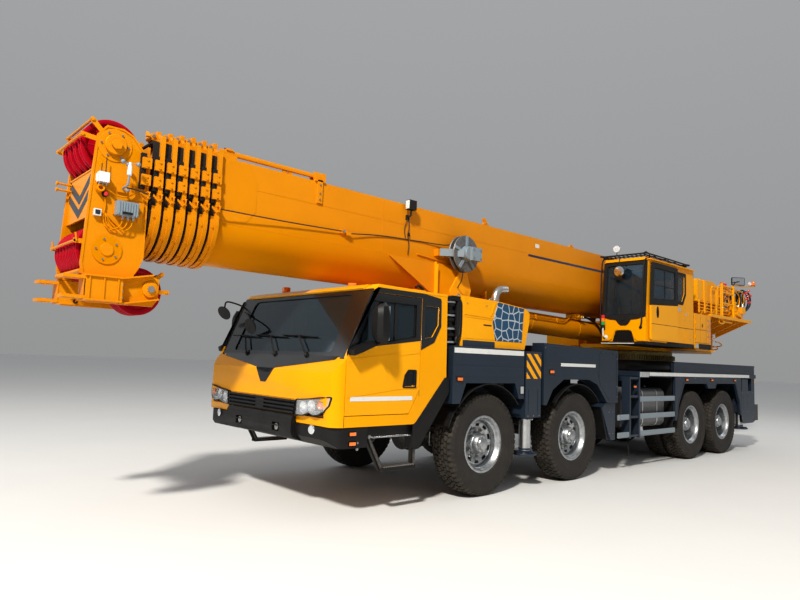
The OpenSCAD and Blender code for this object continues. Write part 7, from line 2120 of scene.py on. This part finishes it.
# hose and hoist-rope carriers along the top
for x in (2.75, 1.35, -0.30, -2.10, -3.95, -5.80):
    b.box(x - 0.035, x + 0.035, -0.16, 0.16, 3.579, 3.592, "boomyel")
    for s in (1, -1):
        b.box(x - 0.012, x + 0.012, *sorted((s * 0.130, s * 0.146)), 3.590, 3.672, "boomyel")
    b.cyl((x, -0.128, 3.628), (x, 0.128, 3.628), 0.020, "steel", 16)
# the hoist rope's own run over the base section, from drum to mouth
b.tube([(-7.40, -0.05, 3.648 + 0.010), (3.20, -0.05, 3.658)], 0.0095, "rope", 8)
b.tube([(-7.40, 0.06, 3.648 + 0.010), (3.20, 0.06, 3.658)], 0.0095, "rope", 8)
b.box(-7.46, -7.38, -0.14, 0.14, 3.579, 3.592, "boomyel")
for s in (1, -1):
    b.box(-7.45, -7.39, *sorted((s * 0.118, s * 0.134)), 3.588, 3.705, "boomyel")
b.cyl((-7.42, -0.118, 3.640), (-7.42, 0.118, 3.640), 0.040, "steel", 24)
# thin cable along the left flank: from the mouth to a clamp and on to the reel
b.tube([(3.165, 0.474, 3.020), (2.40, 0.440, 3.035), (1.62, 0.424, 3.060)], 0.0065, "hose", 8, sub=4)
b.box(1.53, 1.64, 0.398, 0.428, 3.035, 3.085, "boomyel")
b.box(1.50, 1.56, 0.425, 0.450, 3.020, 3.060, "boomyel")
b.cyl((1.60, 0.426, 3.060), (1.60, 0.452, 3.060), 0.018, "steel", 14)
b.tube(spline([(1.52, 0.436, 3.045), (1.0, 0.412, 3.105), (0.35, 0.409, 3.135), (-0.10, 0.440, 3.150), (-0.23, 0.56, 3.190)], 6), 0.0065, "hose", 8)
# reel on its arm
RX, RZ = -0.34, 3.045
b.box(-0.02, 0.06, 0.398, 0.470, 2.985, 3.075, "boomyel")
b.obox((-0.115, 0.565, 3.035), (-0.80, 0.60, 0), (0.60, 0.80, 0), (0, 0, 1), 0.165, 0.014, 0.050, "rail")
b.obox((-0.185, 0.50, 3.035), (-0.80, 0.60, 0), (0.60, 0.80, 0), (0, 0, 1), 0.120, 0.010, 0.040, "rail")
b.lathe([(0.520, 0.245), (0.530, 0.252), (0.540, 0.245), (0.540, 0.165), (0.600, 0.165), (0.600, 0.245), (0.610, 0.252), (0.620, 0.245), (0.620, 0.10), (0.520, 0.10)], (RX, 0, RZ), (0, 1, 0), "cast", seg=48, closed=True)
prof = []
for i in range(5):
    y0 = 0.541 + 0.0118 * (i + 0.5)
    for k in range(5):
        a = pi * (1 - k / 4)
        prof.append((y0 + 0.0058 * cos(a), 0.208 + 0.0058 * sin(a)))
b.lathe([(0.541, 0.20)] + prof + [(0.599, 0.20)], (RX, 0, RZ), (0, 1, 0), "hose", seg=40)
for k in range(5):
    a = 2 * pi * k / 5 + 0.3
    b.obox((RX + 0.155 * cos(a), 0.628, RZ + 0.155 * sin(a)), (cos(a), 0, sin(a)), (0, 1, 0), (-sin(a), 0, cos(a)), 0.085, 0.008, 0.020, "rail")
b.lathe([(0.420, 0.055), (0.520, 0.055), (0.520, 0.110), (0.622, 0.110), (0.640, 0.100), (0.690, 0.095), (0.700, 0.085), (0.700, 0.0)], (RX, 0, RZ), (0, 1, 0), "rail", seg=32)
b.box(RX - 0.175, RX + 0.015, 0.640, 0.745, RZ - 0.095, RZ + 0.085, "rail")
for z in (-0.06, 0.05):
    for x in (-0.150, -0.010):
        b.nut((RX + x, 0.745, RZ + z), (0, 1, 0), 0.012, 0.008, "bolt", False)
b.tube(spline([(RX + 0.10, 0.66, RZ - 0.22), (RX + 0.08, 0.62, RZ - 0.36), (RX + 0.02, 0.50, RZ - 0.45), (RX - 0.10, 0.412, RZ - 0.47)], 5), 0.0065, "hose", 8)
# work lamp on its bracket with a hanging lead
b.box(0.545, 0.60, 0.398, 0.418, 3.380, 3.440, "softblack")
b.tube([(0.572, 0.415, 3.410), (0.572, 0.470, 3.430), (0.575, 0.475, 3.500)], 0.010, "softblack", 10)
b.box(0.520, 0.640, 0.440, 0.520, 3.500, 3.620, "softblack")
b.box(0.638, 0.646, 0.448, 0.512, 3.508, 3.612, "white")
b.box(0.645, 0.650, 0.456, 0.504, 3.518, 3.602, "clear")
for k in range(4):
    b.box(0.510, 0.522, 0.446 + 0.018 * k, 0.454 + 0.018 * k, 3.510, 3.610, "softblack")
b.tube(spline([(0.560, 0.420, 3.400), (0.545, 0.414, 3.28), (0.560, 0.412, 3.18), (0.535, 0.411, 3.07), (0.545, 0.411, 2.93)], 5), 0.0055, "hose", 8)
b.tube(spline([(0.580, 0.420, 3.400), (0.620, 0.412, 3.26), (0.600, 0.411, 3.14)], 5), 0.0045, "hose", 8)
b.box(0.530, 0.560, 0.408, 0.420, 3.170, 3.215, "softblack")
# small blank plates
b.box(-2.30, -2.20, 0.4000, 0.4020, 3.43, 3.49, "white")
b.box(-4.42, -2.02, 0.4000, 0.4020, 3.268, 3.302, "boomblue")
b.done("boom_paint")

# telescoping sections
for k in range(1, 6):
    node = "boom_section_%d" % (k + 1)
    b = skin(node, ["boomyel", "softblack", "bolt", "steel"], 0.003, segs=2, angle=25)
    collar_details(b, k)
    w, zb, zt = dims(k)
    for s in (1, -1):
        b.box(XC[k] - 9.3, XC[k] - 0.1, *sorted((s * (w - 0.0002), s * (w + 0.002))), 2.905 - 0.004, 2.905 + 0.004, "boomyel")
    b.done("section_paint")

# head
b = skin("boom_head", ["boomyel", "navy", "softblack", "bolt", "steel", "white", "rail", "hose", "redlens", "rope", "chrome", "pale", "cast"], 0.004, segs=2, angle=28)
collar_details(b, 6)
HX = XC[6]
for s in (1, -1):
    Y = 0.3848
    # doubler round the upper axle, flange, hexagon end
    b.lathe([(Y, 0.150), (Y + 0.008, 0.150), (Y + 0.008, 0.0)], (4.19, 0, 3.43), (0, s, 0), "boomyel", seg=44)
    b.lathe([(Y + 0.020, 0.095), (Y + 0.040, 0.095), (Y + 0.046, 0.088), (Y + 0.046, 0.0)], (4.19, 0, 3.43), (0, s, 0), "boomyel", seg=36)
    b.nut((4.19, s * (Y + 0.045), 3.43), (0, s, 0), 0.050, 0.030, "boomyel", False)
    for k in range(6):
        a = 2 * pi * k / 6
        b.nut((4.19 + 0.118 * cos(a), s * (Y + 0.008), 3.43 + 0.118 * sin(a)), (0, s, 0), 0.011, 0.008, "bolt", False)
    b.lathe([(Y, 0.130), (Y + 0.010, 0.130), (Y + 0.010, 0.060), (Y + 0.020, 0.055), (Y + 0.020, 0.0)], (4.19, 0, 2.47), (0, s, 0), "boomyel", seg=36)
    for k in range(5):
        a = 2 * pi * k / 5
        b.nut((4.19 + 0.095 * cos(a), s * (Y + 0.010), 2.47 + 0.095 * sin(a)), (0, s, 0), 0.010, 0.008, "bolt", False)
    # edge flanges of the side plate
    hp = [(HX, 2.62), (HX, 3.36), (4.03, 3.56), (4.12, 3.60), (4.27, 3.60), (4.345, 3.50), (4.365, 3.15), (4.40, 2.33), (4.38, 2.23), (3.96, 2.23), (3.90, 2.33), (HX, 2.44)]
    b.ring(hp, inset(hp, 0.018), *at_y(s, Y, 0.006), "xz", "boomyel")
    # rope guard bars past the rims of the upper sheaves: drawn further down with the cross tubes
    # lower arm: stiffening flanges, bolts, end plate
    b.prism([(3.72, 2.052), (4.06, 1.988), (4.06, 2.002), (3.72, 2.068)], *sorted((s * 0.388, s * 0.470)), "xz", "boomyel")
    b.prism([(3.78, 2.272), (4.06, 2.214), (4.06, 2.230), (3.78, 2.288)], *sorted((s * 0.388, s * 0.470)), "xz", "boomyel")
    for x in (4.10, 4.22, 4.34):
        b.box(x - 0.006, x + 0.006, *sorted((s * 0.494, s * 0.506)), 2.005, 2.222, "boomyel")
    b.box(4.062, 4.378, *sorted((s * 0.494, s * 0.512)), 2.002, 2.016, "boomyel")
    b.box(4.062, 4.378, *sorted((s * 0.494, s * 0.512)), 2.212, 2.226, "boomyel")
    b.lathe([(0.414, 0.075), (0.432, 0.075), (0.436, 0.065), (0.436, 0.0)], (3.79, 0, 2.15), (0, s, 0), "boomyel", seg=32)
    b.nut((3.79, s * 0.434, 2.15), (0, s, 0), 0.034, 0.020, "steel", False)
    # jib forks: hinge eyes and their pins' keepers
    for z in (2.012, 2.184):
        b.lathe([(-0.003, 0.060), (0.031, 0.060), (0.031, 0.028), (-0.003, 0.028)], (4.48, s * 0.420, z), (0, 0, 1), "boomyel", seg=28, closed=True)
    b.box(4.372, 4.386, *sorted((s * 0.345, s * 0.495)), 2.040, 2.184, "boomyel")
    # bolts in line on the lower box
    for z in (2.05, 2.11, 2.17):
        b.nut((4.036, s * 0.415, z), (0, s, 0), 0.012, 0.008, "bolt", False)
# front plate: chevrons in dark blue-grey on yellow
def chev(zc, m):
    for s in (1, -1):
        q = [(s * 0.0, zc - 0.16), (s * 0.0, zc - 0.08), (s * 0.352, zc + 0.12), (s * 0.352, zc + 0.04)]
        b.prism(q, 4.3455, 4.3475, "yz", m)
for zc in (2.94, 3.07):
    chev(zc, "navy")
for s in (1, -1):
    b.box(4.326, 4.352, *sorted((s * 0.345, s * 0.359)), 2.76, 3.19, "boomyel")
b.box(4.326, 4.352, -0.359, 0.359, 3.180, 3.194, "boomyel")
# two hooks that stand out of the front plate
for z in (3.145, 3.085):
    for y in (-0.30,):
        b.tube([(4.345, y, z), (4.455, y, z), (4.475, y, z + 0.004)], 0.011, "boomyel", 10)
        b.lathe([(0, 0.020), (0.014, 0.020), (0.014, 0)], (4.47, y, z), (1, 0, 0), "boomyel", seg=14)
# cross tubes between the plates and the rope guards
b.cyl((4.385, -0.385, 2.26), (4.385, 0.385, 2.26), 0.022, "boomyel", 16)
b.cyl((3.94, -0.36, 2.36), (3.94, 0.36, 2.36), 0.028, "boomyel", 16)
for (x, z) in ((4.395, 3.625), (4.470, 3.470)):
    b.cyl((x, -0.372, z), (x, 0.372, z), 0.013, "boomyel", 14)
for s in (1, -1):
    for (x, z) in ((4.395, 3.625), (4.470, 3.470)):
        d = Vector((x - 4.215, 0, z - 3.440)); L = d.length; d.normalize()
        b.obox((4.215 + d.x * (0.10 + (L - 0.10) / 2), s * 0.378, 3.440 + d.z * (0.10 + (L - 0.10) / 2)), d, (0, 1, 0), d.cross(Vector((0, 1, 0))), (L - 0.10) / 2 + 0.012, 0.006, 0.022, "boomyel")
        b.nut((x, s * 0.384, z), (0, s, 0), 0.018, 0.012, "boomyel", False)
# rope retainer below: bar in front of the lower sheaves, tabs and pins
b.cyl((4.452, -0.372, 2.52), (4.452, 0.372, 2.52), 0.012, "boomyel", 12)
for s in (1, -1):
    b.box(4.34, 4.465, *sorted((s * 0.362, s * 0.372)), 2.500, 2.542, "boomyel")
    b.tube([(4.44, s * 0.378, 2.515), (4.455, s * 0.382, 2.590)], 0.008, "boomyel", 8)
# rods behind the rear sheaves
for (dx, dz) in ((-0.195, 0.175), (-0.255, 0.010)):
    b.cyl((3.79 + dx, -0.155, 2.15 + dz), (3.79 + dx, 0.155, 2.15 + dz), 0.012, "boomyel", 12)
    for s in (1, -1):
        d = Vector((dx, 0, dz)).normalized()
        L = math.hypot(dx, dz)
        b.obox((3.79 + dx / 2, s * 0.150, 2.15 + dz / 2), d, (0, 1, 0), d.cross(Vector((0, 1, 0))), L / 2 + 0.03, 0.006, 0.020, "boomyel")
        b.nut((3.79 + dx, s * 0.156, 2.15 + dz), (0, s, 0), 0.014, 0.010, "boomyel", False)
# instruments on the left plate
Y = 0.390
b.box(4.235, 4.325, Y, Y + 0.075, 3.060, 3.150, "white")
b.box(4.228, 4.332, Y, Y + 0.008, 3.075, 3.135, "white")
b.tube([(4.262, Y + 0.04, 3.150), (4.262, Y + 0.04, 3.290)], 0.0045, "hose", 8)
b.tube([(4.298, Y + 0.04, 3.150), (4.298, Y + 0.04, 3.230)], 0.0045, "hose", 8)
for x in (4.25, 4.28, 4.31):
    b.cyl((x, Y + 0.04, 3.060), (x, Y + 0.04, 3.035), 0.007, "steel", 10)
# wind gauge: arm, mast, three cups
b.box(4.055, 4.145, Y, Y + 0.012, 3.010, 3.075, "boomyel")
b.tube([(4.10, Y + 0.01, 3.045), (4.10, Y + 0.085, 3.050), (4.085, Y + 0.10, 3.07), (4.080, Y + 0.105, 3.150)], 0.009, "rail", 10)
b.lathe([(0, 0.012), (0.01, 0.022), (0.08, 0.022), (0.10, 0.015), (0.125, 0.012), (0.13, 0.0)], (4.080, Y + 0.105, 3.150), (0, 0, 1), "white", seg=20)
for k in range(3):
    a = 2 * pi * k / 3 + 0.5
    c = Vector((4.080 + 0.078 * cos(a), Y + 0.105 + 0.050 * sin(a) * 0.9, 3.265))
    b.tube([(4.080, Y + 0.105, 3.268), c], 0.0035, "rail", 8)
    b.sphere(c, 0.021, "rail", 16, 10)
b.lathe([(0, 0.0), (0.004, 0.022), (0.02, 0.020), (0.03, 0.0)], (4.085, Y + 0.10, 3.03), (0, 0, -1), "rail", seg=16)
# ribbed junction box with glands
b.box(3.965, 4.155, Y + 0.004, Y + 0.085, 2.790, 2.920, "rail")
for k in range(8):
    b.box(3.972 + 0.023 * k, 3.980 + 0.023 * k, Y + 0.083, Y + 0.092, 2.800, 2.912, "rail")
b.box(3.955, 4.165, Y, Y + 0.010, 2.800, 2.910, "boomyel")
b.box(4.02, 4.11, Y + 0.091, Y + 0.094, 2.800, 2.822, "softblack")
for x in (4.00, 4.045, 4.09):
    b.cyl((x, Y + 0.045, 2.790), (x, Y + 0.045, 2.755), 0.013, "steel", 12)
    b.tube(spline([(x, Y + 0.045, 2.757), (x + 0.015, Y + 0.045, 2.70), (x + 0.06, Y + 0.030, 2.665), (x + 0.12, Y + 0.012, 2.70), (4.235, Y + 0.008, 2.80)], 5), 0.0055, "boomyel", 8)
# dark sensor with a red face, small pale box, coiled lead
b.lathe([(0, 0.026), (0.03, 0.026), (0.036, 0.022)], (4.245, Y, 2.965), (0, 1, 0), "softblack", seg=20)
b.lathe([(0.030, 0.022), (0.040, 0.018), (0.044, 0.0)], (4.245, Y, 2.965), (0, 1, 0), "redlens", seg=20)
b.lathe([(0, 0.034), (0.05, 0.034), (0.05, 0.020), (0.02, 0.018), (0.02, 0.0)], (4.295, Y, 3.000), (0, 1, 0.2), "boomyel", seg=20)
b.box(4.270, 4.330, Y, Y + 0.035, 2.760, 2.820, "white")
b.box(4.279, 4.321, Y + 0.035, Y + 0.038, 2.770, 2.810, "navy")
b.tube(spline([(4.255, Y + 0.03, 3.035), (4.20, Y + 0.03, 2.99), (4.12, Y + 0.02, 2.965), (4.03, Y + 0.02, 2.99), (3.99, Y + 0.02, 3.05), (4.05, Y + 0.03, 3.09)], 6), 0.006, "boomyel", 8)
b.tube(spline([(4.245, Y + 0.01, 2.935), (4.235, Y + 0.01, 2.86), (4.245, Y + 0.01, 2.74), (4.20, Y + 0.015, 2.66), (4.13, Y + 0.015, 2.655)], 5), 0.006, "boomyel", 8)
# thin cable from the head through the guides, over its own collar
b.tube(spline([(4.08, Y + 0.06, 3.05), (3.98, Y + 0.06, 3.045), (3.93, 0.465, 3.030), (3.87, 0.470, 3.022)], 5), 0.0065, "hose", 8)
# hanging limit line under the lugs
b.tube(spline([(4.40, 0.33, 2.005), (4.41, 0.335, 1.985), (4.39, 0.33, 1.975), (4.375, 0.32, 1.99)], 5), 0.007, "softblack", 8)
b.done("head_paint")

# sheaves: dark red, with a web of shallow ribs and a steel hub
def sheaves(node, x, z, r, rb, ys):
    b = B(node + "_discs", node, ["red", "steel", "bolt"], [node], bevel=0)
    for y in ys:
        prof = [(-0.037, rb), (-0.037, rb + 0.052), (-0.020, rb + 0.060), (-0.0135, rb + 0.075), (-0.012, r - 0.068), (-0.014, r - 0.060), (-0.0285, r - 0.049), (-0.034, r - 0.030), (-0.0355, r - 0.002), (-0.0345, r), (-0.0285, r), (-0.026, r - 0.006), (-0.012, r - 0.030), (-0.006, r - 0.034),
                (0.006, r - 0.034), (0.012, r - 0.030), (0.026, r - 0.006), (0.0285, r), (0.0345, r), (0.0355, r - 0.002), (0.034, r - 0.030), (0.0285, r - 0.049), (0.014, r - 0.060), (0.012, r - 0.068), (0.0135, rb + 0.075), (0.020, rb + 0.060), (0.037, rb + 0.052), (0.037, rb)]
        b.lathe(prof, (x, y, z), (0, 1, 0), "red", seg=72, closed=True)
        for s in (1, -1):
            b.lathe([(0.0365, rb + 0.003), (0.0382, rb + 0.003), (0.0382, rb + 0.030), (0.0365, rb + 0.030)], (x, y, z), (0, s, 0), "steel", seg=40, closed=True)
            for k in range(8):
                a = 2 * pi * k / 8
                r0, r1 = rb + 0.078, r - 0.072
                if r1 - r0 > 0.02:
                    b.obox((x + (r0 + r1) / 2 * cos(a), y + s * 0.0135, z + (r0 + r1) / 2 * sin(a)), (cos(a), 0, sin(a)), (0, 1, 0), (-sin(a), 0, cos(a)), (r1 - r0) / 2, 0.002, 0.006, "red")
    b.done("sheave_red")
sheaves("upper_sheaves", 4.190, 3.430, 0.262, 0.047, (-0.24, -0.08, 0.08, 0.24))
sheaves("lower_sheaves", 4.190, 2.470, 0.245, 0.047, (-0.3, -0.2, -0.1, 0.0, 0.1, 0.2, 0.3))
sheaves("rear_sheaves", 3.790, 2.150, 0.230, 0.042, (-0.06, 0.06))

# ------------------------------------------------------------------ lift cylinder and rod
CA, CB = Vector((-5.450, 0, 2.210)), Vector((-0.970, 0, 2.320))
ax = (CB - CA).normalized()
nz = Vector((-ax.z, 0, ax.x))
def on_c(d, y=0.0, h=0.0):
    p = CA + ax * d + nz * h
    return Vector((p.x, y, p.z))
b = skin("lift_cylinder", ["boomyel", "steel", "hose", "bolt", "softblack", "yellow"], 0.006, segs=2, angle=30)
for d in (0.30, 1.55, 2.95, 3.72):
    b.lathe([(d - 0.018, 0.174), (d - 0.010, 0.181), (d + 0.010, 0.181), (d + 0.018, 0.174)], CA, ax, "boomyel", seg=48)
b.lathe([(3.880, 0.186), (3.905, 0.182), (3.905, 0.126), (3.895, 0.1225)], CA, ax, "boomyel", seg=48)
for k in range(16):
    a = 2 * pi * k / 16
    c = on_c(3.905, 0.156 * cos(a), 0.156 * sin(a))
    b.nut(c, ax, 0.014, 0.010, "bolt", False)
# steel line clamped on the flank, valve block on top with hoses down to the turntable
for (yy, hh) in ((0.172, 0.06), (0.160, 0.095)):
    b.tube(spline([on_c(1.72, yy * 0.55, 0.200), on_c(1.90, yy * 0.9, 0.150), on_c(2.10, yy + 0.012, hh), on_c(2.4, yy + 0.014, hh), on_c(3.4, yy + 0.014, hh), on_c(3.70, yy + 0.012, hh), on_c(3.80, yy + 0.006, hh)], 4), 0.0095, "boomyel", 8)
for d in (2.3, 2.9, 3.5):
    b.obox(on_c(d, 0.178, 0.078), ax, (0, 1, 0), nz, 0.018, 0.016, 0.040, "boomyel")
b.obox(on_c(1.62, 0.06, 0.200), ax, (0, 1, 0), nz, 0.115, 0.085, 0.045, "yellow")
b.obox(on_c(1.62, 0.10, 0.240), ax, (0, 1, 0), nz, 0.060, 0.055, 0.020, "yellow")
for (d, y, r_, L) in ((1.57, 0.150, 0.024, 0.070), (1.66, 0.150, 0.020, 0.055), (1.53, 0.02, 0.020, 0.0)):
    if L:
        b.cyl(on_c(d, y - 0.01, 0.205), on_c(d, y + L, 0.205), r_, "yellow", 16)
        b.nut(on_c(d, y + L, 0.205), (0, 1, 0), r_ * 1.1, 0.020, "steel", False)
for k in range(3):
    yk = 0.08 + 0.035 * k
    b.cyl(on_c(1.50, yk, 0.205), on_c(1.445, yk, 0.205), 0.017, "steel", 12)
    b.tube(spline([on_c(1.46, yk, 0.205), on_c(1.34, yk + 0.02, 0.230 - 0.01 * k), on_c(1.12, 0.150 + 0.012 * k, 0.170), on_c(0.86, 0.198 + 0.006 * k, 0.02 - 0.03 * k), on_c(0.62, 0.205, -0.02 - 0.03 * k), on_c(0.40, 0.190 + 0.004 * k, 0.03 - 0.03 * k), on_c(0.22, 0.150, 0.02 - 0.03 * k)], 5), 0.017, "hose", 10)
b.cyl(on_c(1.62, 0.0, 0.245), on_c(1.62, 0.0, 0.275), 0.016, "steel", 12)
b.lathe([(0.0, 0.026), (0.018, 0.026), (0.020, 0.0)], on_c(0.5, 0, 0.172), nz, "bolt", seg=16)
# flat rings on both sides of the foot
for s in (1, -1):
    b.lathe([(0.099, 0.110), (0.108, 0.110), (0.108, 0.060)], CA, (0, s, 0), "boomyel", seg=32)
b.done("cylinder_paint")
b = skin("lift_rod", ["chrome", "boomyel", "steel"], 0.003, pick=lambda c, n: "boomyel" if (c - Vector((-0.97, c.y, 2.320))).length < 0.150 else "chrome", segs=2, angle=30)
b.done("rod_chrome")


# ------------------------------------------------------------------ stage and light
def stage():
    me = bpy.data.meshes.new("floor")
    s = 120.0
    me.from_pydata([(-s, -s, 0), (s, -s, 0), (s, s, 0), (-s, s, 0)], [], [(0, 1, 2, 3)])
    t = NT("floor_paint")
    n = t.noise(0.8, 5)
    t.link(t.mix(n, (0.70, 0.70, 0.69), (0.74, 0.74, 0.73)), t.b.inputs["Base Color"])
    t.link(t.math("ADD", t.math("MULTIPLY", t.noise(6.0, 4), 0.12), 0.62), t.b.inputs["Roughness"])
    t.bump(t.noise(40.0, 3), 0.05, 0.002)
    me.materials.append(t.m)
    o = bpy.data.objects.new("floor", me)
    bpy.context.scene.collection.objects.link(o)
    w = bpy.data.worlds.new("studio") if not bpy.context.scene.world else bpy.context.scene.world
    bpy.context.scene.world = w
    w.use_nodes = True
    nt = w.node_tree
    bg = nt.nodes["Background"]
    tc = nt.nodes.new("ShaderNodeTexCoord")
    sx = nt.nodes.new("ShaderNodeSeparateXYZ")
    cr = nt.nodes.new("ShaderNodeValToRGB")
    nt.links.new(tc.outputs["Generated"], sx.inputs[0])
    nt.links.new(sx.outputs["Z"], cr.inputs["Fac"])
    cr.color_ramp.elements[0].position = 0.0
    cr.color_ramp.elements[0].color = (0.74, 0.745, 0.75, 1)
    cr.color_ramp.elements[1].position = 0.75
    cr.color_ramp.elements[1].color = (0.95, 0.97, 1.0, 1)
    nt.links.new(cr.outputs["Color"], bg.inputs["Color"])
    bg.inputs["Strength"].default_value = 0.38
    def area(name, loc, to, size, power, col=(1, 1, 1)):
        d = bpy.data.lights.new(name, "AREA")
        d.shape = "RECTANGLE"
        d.size, d.size_y = size
        d.energy = power
        d.color = col
        ob = bpy.data.objects.new(name, d)
        bpy.context.scene.collection.objects.link(ob)
        ob.location = loc
        ob.rotation_euler = (Vector(to) - Vector(loc)).to_track_quat("-Z", "Y").to_euler()
    area("key", (17, 9.5, 16), (-1.0, 0, 1.8), (1.6, 1.6), 5600, (1.0, 0.955, 0.88))
    area("fill", (15, -10, 7), (1, 0, 1.5), (10, 6), 160, (0.93, 0.96, 1.0))
    area("back", (-14, 4, 12), (-1, 0, 2), (9, 6), 300, (1, 1, 1))

bpy.context.scene.view_settings.view_transform = "Standard"
bpy.context.scene.view_settings.look = "Medium High Contrast"
bpy.context.scene.view_settings.exposure = 0.0
stage()
